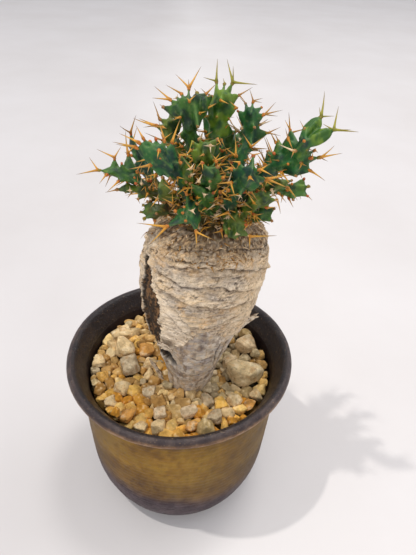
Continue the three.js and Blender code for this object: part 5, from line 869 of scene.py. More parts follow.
def make_screen():
    """A round mesh plate with holes over the drain hole."""
    m = Mesh()
    rings = [0.0] + list(np.linspace(1.0, 11.0, 21))
    M = 96
    z0, z1 = 6.9, 7.9
    pts, keep = [], []
    S = 56
    g = (np.arange(S) - S / 2 + 0.5) * (22.0 / S)
    X, Y = np.meshgrid(g, g, indexing="ij")
    r = np.hypot(X, Y)
    hole = np.hypot((X + 1.5) % 3 - 1.5, (Y + 1.5) % 3 - 1.5) < 0.75
    solid = (r < 10.9) & ~(hole & (r < 9.2))
    idx = -np.ones((S + 1, S + 1, 2), int)
    V, F = [], []

    def vid(i, j, k):
        if idx[i, j, k] < 0:
            idx[i, j, k] = len(V)
            V.append(((i - S / 2) * 22.0 / S, (j - S / 2) * 22.0 / S, (z0, z1)[k]))
        return idx[i, j, k]

    for i in range(S):
        for j in range(S):
            if not solid[i, j]:
                continue
            F.append([vid(i, j, 1), vid(i + 1, j, 1), vid(i + 1, j + 1, 1), vid(i, j + 1, 1)])
            F.append([vid(i, j, 0), vid(i, j + 1, 0), vid(i + 1, j + 1, 0), vid(i + 1, j, 0)])
            for di, dj, a, b in ((-1, 0, (i, j + 1), (i, j)), (1, 0, (i + 1, j), (i + 1, j + 1)), (0, -1, (i, j), (i + 1, j)), (0, 1, (i + 1, j + 1), (i, j + 1))):
                u, w = i + di, j + dj
                if not (0 <= u < S and 0 <= w < S and solid[u, w]):
                    F.append([vid(*a, 0), vid(*b, 0), vid(*b, 1), vid(*a, 1)])
    m.add(np.array(V), np.array(F), (0.05, 0.05, 0.05))
    return piece(m.build("drain_mesh_plate", [PLASTIC], False), "drain_screen", "drain_screen")


make_screen()


# ------------------------------------------------------------------- caudex
# Layers of peeling bark: [angle in degrees, height in mm] along each fold, its drop and its overhang in mm.
FOLDS = [
    ([[-139, 171.2], [-120, 172.9], [-99, 173.6], [-74, 173.9], [-53, 172.4], [-26, 169.2], [10, 168.6], [60, 170.4]], 0.45, 0.35),
    ([[-134, 168.0], [-123, 168.8], [-110, 169.6], [-95, 170.0], [-86, 169.6]], 0.4, 0.3),
    ([[-127, 165.6], [-108, 167.2], [-93, 167.6], [-72, 167.2], [-54, 164.8], [-20, 158.5], [20, 160.5]], 0.8, 0.55),
    ([[-96, 165.0], [-82, 163.6], [-74, 164.1], [-61, 162.8]], 0.4, 0.25),
    ([[-140, 160.4], [-127, 160.8], [-117, 159.6], [-107, 159.4], [-95, 159.4], [-83, 160.2], [-72, 158.6], [-59, 156.0], [-37, 152.6], [-5, 152.2]], 0.55, 0.45),
    ([[-142, 157.2], [-130, 154.4], [-116, 153.2], [-107, 152.2], [-100, 150.8], [-87, 150.6], [-75, 149.0], [-62, 148.6], [-48, 148.0], [-30, 146.4], [0, 147.0], [30, 149.0]], 0.95, 0.6),
    ([[-125, 150.4], [-113, 146.4], [-106, 141.4], [-98, 138.8], [-88, 138.0], [-80, 138.8], [-66, 141.5], [-50, 142.5]], 0.5, 0.4),
    ([[-120, 143.0], [-110, 137.5], [-102, 134.0], [-96, 133.0]], 0.35, 0.3),
    ([[-60, 139.0], [-44, 137.5], [-25, 138.8], [0, 137.0], [40, 139.5]], 0.35, 0.3),
    ([[-262, 170.0], [-230, 168.0], [-205, 170.5], [-180, 167.5], [-160, 166.0]], 0.6, 0.45),
    ([[-272, 161.5], [-240, 163.0], [-212, 160.0], [-190, 161.8], [-165, 160.8]], 0.7, 0.5),
    ([[-266, 153.0], [-238, 151.0], [-215, 154.0], [-190, 152.0], [-168, 150.2]], 0.8, 0.5),
    ([[-274, 143.5], [-244, 145.5], [-222, 141.0], [-196, 143.0], [-172, 140.6]], 0.6, 0.45),
    ([[-268, 133.0], [-240, 131.0], [-214, 134.0], [-185, 131.5], [-165, 130.0]], 0.6, 0.4),
    ([[20, 157.0], [50, 154.5], [90, 156.0]], 0.6, 0.4),
    ([[25, 146.0], [60, 143.0], [92, 145.5]], 0.6, 0.4),
    ([[10, 131.0], [50, 133.5], [92, 131.5]], 0.5, 0.4),
    ([[-95, 114.0], [-82, 111.5], [-66, 112.5]], 0.3, 0.2),
    ([[-128, 104.0], [-112, 100.0], [-90, 97.5], [-70, 99.0]], 0.25, 0.2),
    ([[-150, 99.0], [-120, 94.0], [-100, 92.0]], 0.3, 0.2),
    ([[-260, 112.0], [-225, 108.0], [-190, 111.0]], 0.35, 0.3),
    ([[-262, 99.0], [-215, 96.0], [-180, 98.0]], 0.3, 0.25),
    ([[0, 112.0], [40, 108.0], [88, 111.0]], 0.35, 0.3),
]
MANTLE = [[-272, 121.0], [-250, 118.5], [-232, 122.5], [-210, 119.0], [-190, 116.0], [-165, 112.5], [-150, 113.5], [-141, 115.5], [-131, 117.2], [-120, 118.4], [-111, 123.6],
          [-105, 125.2], [-98, 130.6], [-91, 134.6], [-84, 136.2], [-76, 133.6], [-68, 131.2], [-60, 128.4], [-54, 128.2], [-46, 128.0], [-34, 127.0], [-20, 124.0], [5, 121.0], [35, 123.5], [65, 119.0], [92, 121.0]]
FISSURE = [[-162, 163.5], [-151, 160.5], [-145, 156.0], [-140, 151.0], [-131, 148.0], [-129, 142.0], [-133, 137.0], [-128, 131.0], [-134, 125.0], [-137, 119.5], [-135, 114.0], [-142, 108.0], [-152, 103.5], [-170, 102.0], [-172, 112.5],
           [-166, 121.0], [-163, 128.0], [-164, 135.0], [-162, 142.0], [-164, 148.0], [-161, 154.0]]
CREAM = [[-129, 151.0], [-118, 149.4], [-108, 145.0], [-100, 139.6], [-96, 133.0], [-103, 127.0], [-111, 123.6], [-120, 118.4], [-131, 117.2], [-136, 118.0], [-133, 125.0], [-128, 132.0], [-126, 141.0]]
BLOTCH = [[-91, 134.0], [-80, 132.5], [-77, 126.0], [-81, 119.5], [-86, 122.5], [-89, 128.0]]
HOLE = [[-146, 115.4], [-137, 116.2], [-129, 115.2], [-122, 111.8], [-115, 107.0], [-119, 104.2], [-128, 105.4], [-136, 106.0], [-143, 103.0], [-149, 106.0]]
SPLITS = [[[-59, 122.0], [-57.5, 113.0], [-51.5, 103.0]], [[-49, 121.5], [-46, 111.0], [-45, 106.0]], [[-200, 108.0], [-196, 96.0], [-199, 88.0]], [[20, 116.0], [23, 104.0], [19, 96.0]], [[-244, 150.0], [-241, 140.0], [-246, 132.0]]]
UNROLL = 26.0


def unrolled(points):
    p = np.array(points, float)
    return np.stack([np.radians(p[:, 0]) * UNROLL, p[:, 1]], 1)


def line_distance(points, x, y):
    p = unrolled(points)
    best = np.full(x.shape, 1e9)
    for a, b in zip(p[:-1], p[1:]):
        e = b - a
        t = np.clip(((x - a[0]) * e[0] + (y - a[1]) * e[1]) / (e @ e), 0, 1)
        best = np.minimum(best, np.hypot(x - a[0] - t * e[0], y - a[1] - t * e[1]))
    return best


def area_distance(points, x, y):
    """Signed distance to a closed outline, negative inside."""
    d = line_distance(points + points[:1], x, y)
    p = unrolled(points)
    inside = np.zeros(x.shape, bool)
    for a, b in zip(p, np.roll(p, -1, 0)):
        crosses = (a[1] > y) != (b[1] > y)
        with np.errstate(divide="ignore", invalid="ignore"):
            inside ^= crosses & (x < (b[0] - a[0]) * (y - a[1]) / (b[1] - a[1]) + a[0])
    return np.where(inside, -d, d)


def caudex_axis(z):
    return np.stack([np.interp(z, RINGS[:, 0], RINGS[:, 2]), np.interp(z, RINGS[:, 0], RINGS[:, 3])], -1)


def caudex_field(T, Z, P):
    """Displacement (mm, outwards) and colour of the bark at angle T, height Z and plain position P."""
    x = T * UNROLL + 1.5 * fbm(P / 2.8, 50, 4, 0.6)
    y = Z + 0.8 * fbm(P / 3.0, 51, 4, 0.6)
    big, mid = fbm(P / 11.0, 52, 3), fbm(P / 4.6, 53, 3)
    fib = fbm(P * np.array([0.22, 0.22, 1.25]), 54, 4)
    fine = fbm(P * np.array([0.8, 0.8, 2.6]), 55, 3)
    grit = fbm(P * 1.9, 56, 2)
    away = 1 - smooth(-0.2, 0.35, -np.sin(T + 0.15))
    rag = 4.5 * away * fbm(np.stack([x / 6.0, x * 0, x * 0 + 3.0], -1), 86, 3) + 0.8 * fbm(P / 1.6, 87, 2)
    edge = y - np.interp(x, *unrolled(MANTLE).T) + rag
    above = smooth(-0.5, 0.5, edge)  # 1 on the upper mantle, 0 below its torn edge
    edge = np.abs(edge)
    top = smooth(166.5, 173.5, Z + 2.6 * mid)
    d = 0.85 * big + 0.4 * mid + 0.5 * fib * (0.5 + 0.8 * above) + 0.2 * fine + 0.13 * grit
    dark = np.zeros(T.shape)
    lit = np.zeros(T.shape)
    for pts, drop, hang in FOLDS:
        u = unrolled(pts)
        zc = np.interp(x, u[:, 0], u[:, 1])
        w = smooth(u[0, 0] - 3.5, u[0, 0] + 2.0, x) * (1 - smooth(u[-1, 0] - 2.0, u[-1, 0] + 3.5, x))
        s = y - zc
        w = w * (0.78 + 0.22 * smooth(-0.35, 0.25, fbm(np.stack([x / 4.0, zc / 6.0, s * 0], -1), 57, 2)))
        d = d + w * (1.9 * hang * np.exp(-(((s - 1.1) / 1.4) ** 2)) - 1.6 * drop * np.exp(-(((s + 0.2) / 0.6) ** 2)) - 0.6 * drop * np.exp(-(((s + 1.5) / 1.6) ** 2)))
        # painted shade in the crease under each fold's overhang
        dark = np.maximum(dark, w * np.exp(-(((s + 0.15) / (0.30 + 0.26 * drop)) ** 2)) * (0.9 + 0.6 * drop) * (0.7 + 0.3 * smooth(-0.3, 0.2, mid)))
        lit = np.maximum(lit, w * np.exp(-(((s - 1.3) / 0.9) ** 2)))
    # the mantle ends in a torn edge, and the trunk below it is smoother and set back
    d = d - 1.5 * (1 - above) * smooth(80, 92, Z) + 0.75 * above * np.exp(-((edge / 1.7) ** 2))
    fis = area_distance(FISSURE, x + 1.1 * fbm(P * np.array([0.5, 0.5, 0.9]), 81, 3), y) + 0.7 * fbm(P / 1.3, 80, 2)
    f_in = 1 - smooth(-0.9, 0.35, fis)
    f_deep = smooth(-0.2, 2.6, -fis)
    d = d - (0.5 * f_in + 1.2 * f_deep) + 0.35 * np.exp(-(((fis - 0.9) / 0.8) ** 2)) + f_in * 1.0 * fbm(P / 1.7, 58, 3)
    hd = area_distance(HOLE, x, y) + 0.6 * fbm(P / 1.3, 82, 2)
    hole = 1 - smooth(-0.6, 0.4, hd)
    d = d - 2.6 * hole + 0.5 * np.exp(-(((hd - 0.8) / 0.6) ** 2))
    cream = 1 - smooth(-1.1, 0.5, area_distance(CREAM, x, y))
    blotch = 1 - smooth(-1.6, 1.0, area_distance(BLOTCH, x, y))
    split = np.zeros(T.shape)
    for pts in SPLITS:
        split = np.maximum(split, np.exp(-((line_distance(pts, x, y) / 0.55) ** 2)))
    d = d - 0.9 * split
    # scars and dried knobs round the crown
    k1, k2, kv = worley(P / 2.3, 60)
    knob = (1 - smooth(0.15, 0.5, k1)) * (kv > 0.35)
    d = d + top * (0.75 * knob + 0.35 * fbm(P / 1.4, 61, 2) - 0.1)
    # lumps on the left and right shoulders
    l1, _, lv = worley(P / 5.2, 62)
    shoulder = smooth(150, 158, Z) * (1 - smooth(171, 175, Z)) * np.clip(np.abs(np.cos(T)) * 1.5 - 0.35, 0, 1)
    d = d + shoulder * 1.45 * (1 - smooth(0.1, 0.62, l1)) * (lv > 0.25)
    d = d * smooth(78, 86, Z + 6) * (1 - 0.75 * smooth(175.5, 178, Z))

    CREAMC, TAN, GREIGE, GREY = lin((240, 220, 190)), lin((222, 194, 156)), lin((200, 184, 162)), lin((188, 180, 170))
    BLUE, BROWN, DARK = lin((170, 166, 168)), lin((122, 90, 60)), lin((44, 30, 20))
    t1 = smooth(-0.35, 0.35, fib + 0.5 * mid + 0.3 * fine)
    c = mixc(GREIGE, TAN, t1)
    c = mixc(c, CREAMC, smooth(0.0, 0.5, fbm(P / 6.0, 63, 3) + 0.35 * fine) * 0.75)
    c = mixc(c, GREY, smooth(0.05, 0.5, fbm(P * np.array([0.14, 0.14, 0.4]), 64, 3) - 0.15 * fine) * 0.7)
    c = mixc(c, lin((222, 182, 130)), smooth(0.18, 0.42, fbm(P / 4.6, 65, 3)) * 0.65 * above)
    low = (1 - above)
    c = mixc(c, mixc(lin((204, 194, 178)), BLUE, smooth(-0.2, 0.4, mid)), low * (0.75 - 0.2 * fine))
    shade = smooth(-151, -141, np.degrees(T)) * (1 - smooth(-136, -120, np.degrees(T))) * smooth(84, 90, Z) * (1 - smooth(104, 110, Z))
    c = mixc(c, lin((86, 74, 64)), shade * 0.6 * smooth(-0.3, 0.2, mid))
    c = mixc(c, TAN, low * smooth(0.1, 0.45, fbm(P * np.array([0.2, 0.2, 0.5]), 66, 3)) * 0.5)
    c = mixc(c, lin((232, 222, 208)), low * smooth(0.02, 0.26, fbm(P / 3.6 + 4.0, 88, 3)) * 0.8)
    c = mixc(c, lin((138, 120, 104)), low * smooth(0.06, 0.3, fbm(P / np.array([2.2, 2.2, 4.2]) + 8.0, 89, 4)) * 0.7)
    c = mixc(c, lin((206, 176, 136)), low * smooth(0.1, 0.4, fbm(P / np.array([1.8, 1.8, 3.6]) + 12.0, 94, 4)) * 0.5)
    c = mixc(c, mixc(CREAMC, lin((252, 236, 212)), smooth(-0.2, 0.3, fib)), cream * 0.92)
    # painted shade: the bark is darkened where it is sunk in
    c = mixc(c, lin((150, 128, 104)), smooth(0.05, 0.5, -(d - 0.2) / 1.6) * 0.4 * above)
    right = smooth(-68, -50, np.degrees(T)) * (1 - smooth(-10, 20, np.degrees(T))) * smooth(126, 132, Z) * (1 - smooth(160, 166, Z))
    c = mixc(c, mixc(TAN, lin((232, 210, 176)), t1), right * 0.65)
    mott = smooth(-0.25, 0.35, fbm(P / 1.5, 67, 3))
    knobc = mixc(lin((138, 108, 76)), lin((220, 196, 158)), mott)
    c = mixc(c, knobc, top * 0.7)
    bits = smooth(-0.06, 0.24, fbm(P / 0.9 + 6.0, 95, 3))
    c = mixc(c, mixc(lin((92, 62, 36)), lin((206, 172, 128)), bits), smooth(167.5, 173.5, Z + 2.4 * mid) * 0.8)
    c = mixc(c, DARK, top * smooth(0.16, 0.42, fbm(P / 1.3, 68, 2)) * 0.75)
    # darker brown at the very top of the trunk: the dried crest's own colour, with painted shade under the crown
    c = mixc(c, lin((70, 48, 28)), smooth(175.0, 177.5, Z + 1.6 * mid) * 0.7)
    # painted highlight on the top of each fold's overhang
    c = mixc(c, lin((222, 204, 176)), lit * 0.42 * (1 - top * 0.5))
    crack = np.exp(-((fbm(P * np.array([0.3, 0.3, 1.3]) + 3.0, 84, 3) / 0.035) ** 2)) * smooth(-0.05, 0.3, fbm(P / 5.0, 85, 3)) * (0.4 + 0.6 * above)
    c = mixc(c, lin((84, 62, 42)), crack * 0.8)
    # painted shade in the creases under the folds
    c = mixc(c, DARK, np.clip(dark, 0, 1) * 0.9)
    streak = smooth(0.12, 0.42, fbm(P * np.array([0.42, 0.42, 2.1]), 71, 3)) * smooth(-0.2, 0.25, fbm(P / 7.0, 72, 2) + 0.05)
    c = mixc(c, lin((112, 90, 68)), streak * 0.62 * (0.35 + 0.65 * above) * (1 - 0.65 * cream) * (1 - 0.5 * right))
    pale = smooth(0.15, 0.4, fbm(P * np.array([0.36, 0.36, 1.5]) + 9.0, 73, 3))
    c = mixc(c, lin((238, 220, 194)), pale * 0.5 * (0.35 + 0.65 * above) * (1 - 0.5 * top))
    speck = smooth(0.24, 0.40, fbm(P * np.array([0.8, 0.8, 1.3]), 69, 2)) * smooth(-0.25, 0.25, fbm(P / 6.0, 74, 2))
    c = mixc(c, DARK, speck * 0.75 * (1 - 0.8 * cream) * (1 - 0.4 * right) * (0.15 + 0.85 * above))
    mesh_ = np.exp(-(((x - np.radians(-83) * UNROLL) / 10.0) ** 2) - (((y - 148.0) / 11.0) ** 2))
    web = np.exp(-((fbm(P * np.array([0.55, 0.55, 1.5]) + 5.0, 90, 3) / 0.05) ** 2))
    c = mixc(c, lin((78, 56, 38)), np.clip(web * mesh_ * 1.2, 0, 1) * 0.65)
    spot = smooth(0.1, 0.36, fbm(P / 3.4 + 15.0, 91, 3)) * above * (1 - cream)
    c = mixc(c, lin((246, 222, 184)), spot * 0.25)
    hair = fbm(P * np.array([0.34, 0.34, 2.3]) + 21.0, 92, 3)
    c = mixc(c, lin((96, 74, 54)), np.exp(-((hair / 0.045) ** 2)) * above * (1 - 0.7 * cream) * 0.42 * smooth(-0.3, 0.15, fbm(P / 5.0 + 2.0, 93, 2)))
    c = mixc(c, lin((250, 234, 210)), np.exp(-(((hair - 0.2) / 0.06) ** 2)) * above * 0.4)
    c = mixc(c, lin((88, 76, 76)), blotch * (0.45 + 0.3 * mott))
    c = mixc(c, mixc(lin((34, 22, 12)), lin((118, 84, 50)), smooth(-0.05, 0.42, fbm(P * np.array([0.9, 0.9, 0.3]), 70, 4) + 0.5 * fbm(P / 1.1, 83, 2))), f_in * 0.95)
    # painted shade: a near-black band just inside the fissure's edge
    c = mixc(c, lin((24, 15, 9)), np.exp(-(((fis + 0.5) / 0.55) ** 2)) * 0.85)
    c = mixc(c, lin((244, 226, 198)), np.exp(-(((fis - 1.1) / 0.8) ** 2)) * 0.55 * smooth(-160, -145, np.degrees(T)))
    # painted shade: the hole and the splits are filled near-black
    c = mixc(c, lin((22, 15, 10)), np.clip(hole + split * 0.8, 0, 1) * 0.9)
    c = mixc(c, lin((92, 70, 50)), np.exp(-(((edge + 0.2) / 0.45) ** 2)) * 0.7 * smooth(-0.35, 0.1, fbm(P / 3.0, 77, 2)))
    c = mixc(c, lin((138, 122, 104)), (1 - smooth(80, 86, Z)) * 0.4)
    return d, c


def caudex_grid():
    k = RINGS[:, :2]
    z = np.concatenate([np.arange(37.5, 76, 2.6), np.arange(76.4, 176.35, 0.36)])
    r = np.interp(z, k[:, 0], k[:, 1])
    for _ in range(6):
        inner = slice(18, len(z) - 6)
        rs = r.copy()
        rs[1:-1] = (r[:-2] + 2 * r[1:-1] + r[2:]) / 4
        r[inner] = rs[inner]
    zt = np.array([176.6, 176.95, 177.3, 177.6, 177.85, 178.05, 178.2, 178.3, 178.36])
    rt = np.interp(zt, k[:, 0], k[:, 1])
    return np.concatenate([z, zt]), np.concatenate([r, rt])


def caudex_point(T, Z, lift=0.0):
    """A point on the bark, for things that lie on it."""
    T, Z = np.atleast_1d(np.asarray(T, float)), np.atleast_1d(np.asarray(Z, float))
    r = np.interp(Z, RINGS[:, 0], RINGS[:, 1])
    ax = caudex_axis(Z)
    P = np.stack([ax[:, 0] + r * np.cos(T), ax[:, 1] + r * np.sin(T), Z], -1)
    d, _ = caudex_field(T, Z, P)
    r = r + d + lift
    return np.stack([ax[:, 0] + r * np.cos(T), ax[:, 1] + r * np.sin(T), Z], -1)


def spine(mesh, a, b, r0, kind, rng, sides=7, rows=9, bend=0.05, root=0.35):
    """One closed, slightly bent, tapering spine from a to b with its root sunk in."""
    a, b = np.asarray(a, float), np.asarray(b, float)
    L = np.linalg.norm(b - a)
    w = (b - a) / L
    a = a - w * root
    u = np.cross(w, [0, 0, 1.0])
    u = u / np.linalg.norm(u) if np.linalg.norm(u) > 1e-3 else np.array([1.0, 0, 0])
    v = np.cross(w, u)
    ph = rng.uniform(0, 2 * np.pi)
    off = (u * np.cos(ph) + v * np.sin(ph)) * bend * L
    t = np.linspace(0, 1, rows) ** 0.85
    c = a + (b - a) * t[:, None] + off * (4 * t * (1 - t))[:, None] * 0.5
    r = r0 * (0.08 + 0.92 * (1 - t) ** 1.05) * (1 + 0.55 * np.exp(-t * 9)) * (1 - 0.45 * smooth(0.93, 1, t))
    an = np.arange(sides) / sides * 2 * np.pi
    ring = c[:, None] + r[:, None, None] * (u * np.cos(an)[:, None] + v * np.sin(an)[:, None])[None]
    V = np.concatenate([ring.reshape(-1, 3), c[:1] - w * r0 * 0.4, c[-1:] + w * r[-1] * 1.6])
    F = [grid_faces(rows, sides)]
    n = rows * sides
    j = np.arange(sides)
    F.append(np.stack([np.full(sides, n), (j + 1) % sides, j, np.full(sides, -1)], -1))
    F.append(np.stack([np.full(sides, n + 1), n - sides + j, n - sides + (j + 1) % sides, np.full(sides, -1)], -1))
    stops = SPINE_COLOURS[kind]
    cc = np.stack([np.interp(t, [0, 0.25, 0.6, 0.85, 1], stops[:, k]) for k in range(3)], -1)
    cc = cc * (1 + 0.16 * rng.uniform(-1, 1))
    C = np.concatenate([np.repeat(cc, sides, 0), cc[:1], cc[-1:]])
    mesh.add(V, np.concatenate([np.concatenate([f, np.full((len(f), 1), -1)], 1) if f.shape[1] == 3 else f for f in F]), C, 1)


SPINE_COLOURS = [lin(c) for c in (
    [(182, 116, 26), (208, 150, 46), (206, 156, 62), (150, 112, 56), (96, 80, 64)],
    [(150, 100, 32), (176, 126, 48), (160, 122, 60), (120, 98, 70), (98, 84, 72)],
    [(206, 168, 118), (226, 200, 160), (216, 192, 156), (196, 172, 140), (168, 148, 122)],
    [(142, 94, 34), (184, 132, 50), (168, 126, 60), (128, 98, 56), (98, 80, 58)],
    [(124, 122, 26), (148, 142, 38), (158, 142, 50), (136, 114, 54), (112, 92, 58)],
)]


def make_caudex():
    z, r = caudex_grid()
    M, K = 460, len(z)
    th = np.radians(-270) + np.arange(M) / M * 2 * np.pi
    T, Z = np.meshgrid(th, z, indexing="xy")
    ax = caudex_axis(Z)
    R = np.repeat(r[:, None], M, 1)
    P = np.stack([ax[..., 0] + R * np.cos(T), ax[..., 1] + R * np.sin(T), Z], -1)
    d, c = caudex_field(T, Z, P)
    taper = np.clip(R / 12.0, 0, 1) ** 0.5
    R2 = np.maximum(R + d * taper, 0.5)
    zs = 0.25 * fbm(P / 2.5, 75, 3) * smooth(60, 90, Z) * (1 - smooth(175, 177, Z))
    zs = zs + 0.8 * fbm(P / 3.0, 76, 3) * smooth(176.0, 177.5, Z)
    Q = np.stack([ax[..., 0] + R2 * np.cos(T), ax[..., 1] + R2 * np.sin(T), Z + zs], -1)
    V = np.concatenate([Q.reshape(-1, 3), Q[0].mean(0)[None] - [0, 0, 1.0], Q[-1].mean(0)[None] + [0, 0, 0.1]])
    C = np.concatenate([c.reshape(-1, 3), c[0, :1], c[-1, :1]])
    f = grid_faces(K, M)
    j = np.arange(M)
    n = K * M
    lo = np.stack([np.full(M, n), (j + 1) % M, j, np.full(M, -1)], -1)
    hi = np.stack([np.full(M, n + 1), n - M + j, n - M + (j + 1) % M, np.full(M, -1)], -1)
    m = Mesh()
    m.add(V, np.concatenate([f, lo, hi]), C)
    # dried spines, stubs and pale fibres left round the crown
    rng = np.random.default_rng(91)
    for k in range(105):
        t = rng.uniform(-270, 90) if k % 2 else rng.uniform(-140, -30)
        h = rng.uniform(168.5, 176.5)
        a = caudex_point([np.radians(t)], [h])[0]
        ax_ = caudex_axis(np.array([h]))[0]
        nrm = np.array([a[0] - ax_[0], a[1] - ax_[1], 0.0])
        nrm /= np.linalg.norm(nrm)
        side = np.array([-nrm[1], nrm[0], 0])
        w = nrm * rng.uniform(0.25, 0.9) + side * rng.uniform(-0.9, 0.9) + np.array([0, 0, rng.uniform(-0.7, 0.5)])
        w /= np.linalg.norm(w)
        spine(m, a, a + w * rng.uniform(1.4, 4.2), rng.uniform(0.18, 0.34), int(rng.choice([2, 2, 3, 3, 1])), rng, sides=5, rows=5, bend=0.1)
    for k in range(46):  # tangle of pale fibres at the front
        t, h = rng.normal(-73, 5.5), rng.normal(170.5, 1.8)
        a = caudex_point([np.radians(t)], [h])[0]
        w = np.array([rng.normal(0, 1.0), -0.35 + rng.normal(0, 0.25), rng.normal(0, 0.9)])
        w /= np.linalg.norm(w)
        spine(m, a, a + w * rng.uniform(2.0, 5.0), rng.uniform(0.11, 0.2), 2, rng, sides=5, rows=6, bend=0.22)
    return piece(m.build("swollen_trunk", [BARK, HORN]), "caudex_bark", "caudex")


make_caudex()

# Plates of bark that stand off the trunk: outline, thickness, middle, outward normal, turn, curl.
PLATES = [
    ("bark_flake_right", [[-4.2, -4.6], [-1.0, -3.2], [1.6, -1.8], [2.4, -0.4], [4.6, 0.4], [3.0, 1.6], [3.6, 4.4], [1.2, 3.0], [-1.4, 2.6], [-3.8, 0.4]], 0.7, [32.9, -13.4, 129.6], [0.3, -0.93, -0.2], 0.1, 0.7),
    ("bark_flake_front", [[-4.8, -2.6], [-1.0, -3.6], [3.9, -2.4], [4.9, 0.9], [1.6, 2.8], [-3.6, 3.2]], 0.7, [-6.9, -26.0, 123.2], [-0.52, -0.8, -0.3], -0.12, 0.5),
    ("bark_flap_left", [[-1.8, -8.6], [1.6, -8.0], [2.8, -0.6], [2.1, 8.0], [-0.6, 10.0], [-2.4, 3.0]], 0.8, [-11.6, -15.4, 96.0], [-0.6, -0.76, -0.28], 0.22, 0.6),
]


def make_plate(name, outline, thick, mid, normal, turn, curl, seed):
    n = np.array(normal, float)
    n /= np.linalg.norm(n)
    side = np.cross([0, 0, 1.0], n)
    side /= np.linalg.norm(side)
    up = np.cross(n, side)
    cs, sn = math.cos(turn), math.sin(turn)
    side, up = side * cs + up * sn, up * cs - side * sn
    o = np.array(outline, float)
    S, K = 160, 26
    # outline resampled by angle, with a torn edge
    an = np.arange(S) / S * 2 * np.pi
    poly = np.concatenate([o, o[:1]])
    rad = np.zeros(S)
    for a, b in zip(poly[:-1], poly[1:]):
        d = np.stack([np.cos(an), np.sin(an)], 1)
        e = b - a
        den = d[:, 0] * e[1] - d[:, 1] * e[0]
        t = (a[0] * e[1] - a[1] * e[0]) / den
        u = (a[0] * d[:, 1] - a[1] * d[:, 0]) / den
        rad = np.where((t > 0) & (u >= 0) & (u <= 1), np.maximum(rad, t), rad)
    rad = rad * (0.97 + 0.10 * fbm(np.stack([np.cos(an) * 2.4, np.sin(an) * 2.4, an * 0 + seed], -1), 80, 3))
    q = np.linspace(0, 1, K) ** 0.9
    U = rad[None] * q[:, None] * np.cos(an)[None]
    W = rad[None] * q[:, None] * np.sin(an)[None]
    H = float(np.abs(o).max())
    lift = curl * ((U / H) ** 2 * 1.0 + (W / H) ** 2 * 0.8) * np.sign(curl)
    p2 = np.stack([U, W, U * 0 + seed], -1)
    wav = 0.34 * fbm(p2 / 2.2, 81, 3) + 0.12 * fbm(p2 * np.array([0.5, 2.2, 1]), 82, 3)
    half = thick / 2 * np.sqrt(1 - 0.92 * q**7)[:, None]
    half = half * (0.75 + 0.3 * fbm(p2 / 1.2, 83, 2))
    base = np.array(mid)[None, None] + U[..., None] * side + W[..., None] * up
    F_ = base + n * (thick / 2 + lift + wav + half)[..., None]
    B_ = base + n * (thick / 2 + lift + wav - half)[..., None]
    V = np.concatenate([F_.reshape(-1, 3), B_.reshape(-1, 3)])
    f = grid_faces(K, S)[S:]
    cap = np.arange(S)
    tri = np.stack([np.zeros(S, int), S + cap, S + (cap + 1) % S, np.full(S, -1)], -1)
    N_ = K * S
    front = np.concatenate([f, tri])
    back = front[:, [0, 3, 2, 1]] + N_
    backt = np.stack([tri[:, 0] + N_, tri[:, 2] + N_, tri[:, 1] + N_, tri[:, 3]], -1)
    e = (K - 1) * S
    rim = np.stack([e + cap, e + N_ + cap, e + N_ + (cap + 1) % S, e + (cap + 1) % S], -1)
    t = smooth(-0.4, 0.4, fbm(p2 * np.array([0.35, 1.6, 1]), 84, 3))
    c = mixc(lin((200, 180, 152)), lin((242, 228, 206)), t)
    c = mixc(c, lin((74, 50, 32)), smooth(0.15, 0.45, fbm(p2 / 1.3, 85, 2)) * 0.75)
    c = mixc(c, lin((150, 122, 92)), np.repeat(smooth(0.9, 1.0, q)[:, None], S, 1) * 0.5)
    cb = mixc(lin((92, 66, 44)), lin((128, 96, 66)), t)
    m = Mesh()
    # front faces run with the outline, seen from outside
    m.add(V, np.concatenate([front[: len(f)], tri, back[: len(f)], backt, rim]), np.concatenate([c.reshape(-1, 3), cb.reshape(-1, 3)]))
    o_ = m.build("peeling_" + name, [BARK])
    return piece(o_, "peeling_bark", name)


for s_, p_ in enumerate(PLATES):
    make_plate(*p_, 3 + 7 * s_)


# ------------------------------------------------------------------- gravel
ICO = {k: icosphere(k) for k in (2, 3, 4)}
INNER_R = 48.6


def grain(level, radii, rng, planes=11, power=9, rough=0.02):
    """A rounded, faceted grain about its own middle."""
    d, f = ICO[level]
    n = rng.normal(size=(planes, 3))
    n /= np.linalg.norm(n, axis=1)[:, None]
    h = rng.uniform(0.74, 1.0, planes)
    n = np.concatenate([n, np.eye(3), -np.eye(3)])
    h = np.concatenate([h, np.ones(6)])
    k = np.maximum(d @ n.T, 0) / h
    r = (k**power).sum(1) ** (-1 / power)
    q = d * r[:, None]
    s = rng.uniform(0, 50, 3)
    q = q * (1 + rough * 2.2 * fbm(d * 1.6 + s, 100, 2) + rough * fbm(d * 4.5 + s, 101, 3))[:, None]
    if level > 2:
        c1, _, _ = worley(d * 3.4 + s, 102)
        q = q * (1 - rough * 0.9 * (1 - smooth(0.0, 0.45, c1)))[:, None]
    return q * np.asarray(radii), f, d, s


def turned(q, rng, tilt=0.5, spin=None):
    a = rng.uniform(0, 2 * np.pi) if spin is None else spin
    b, c = rng.normal(0, tilt), rng.normal(0, tilt)
    Rz = np.array([[math.cos(a), -math.sin(a), 0], [math.sin(a), math.cos(a), 0], [0, 0, 1]])
    Rx = np.array([[1, 0, 0], [0, math.cos(b), -math.sin(b)], [0, math.sin(b), math.cos(b)]])
    Ry = np.array([[math.cos(c), 0, math.sin(c)], [0, 1, 0], [-math.sin(c), 0, math.cos(c)]])
    return q @ (Rz @ Ry @ Rx).T


STONE_TONES = [lin(c) for c in ((206, 182, 138), (218, 190, 142), (184, 164, 132), (210, 184, 144), (206, 150, 78), (222, 198, 162))]


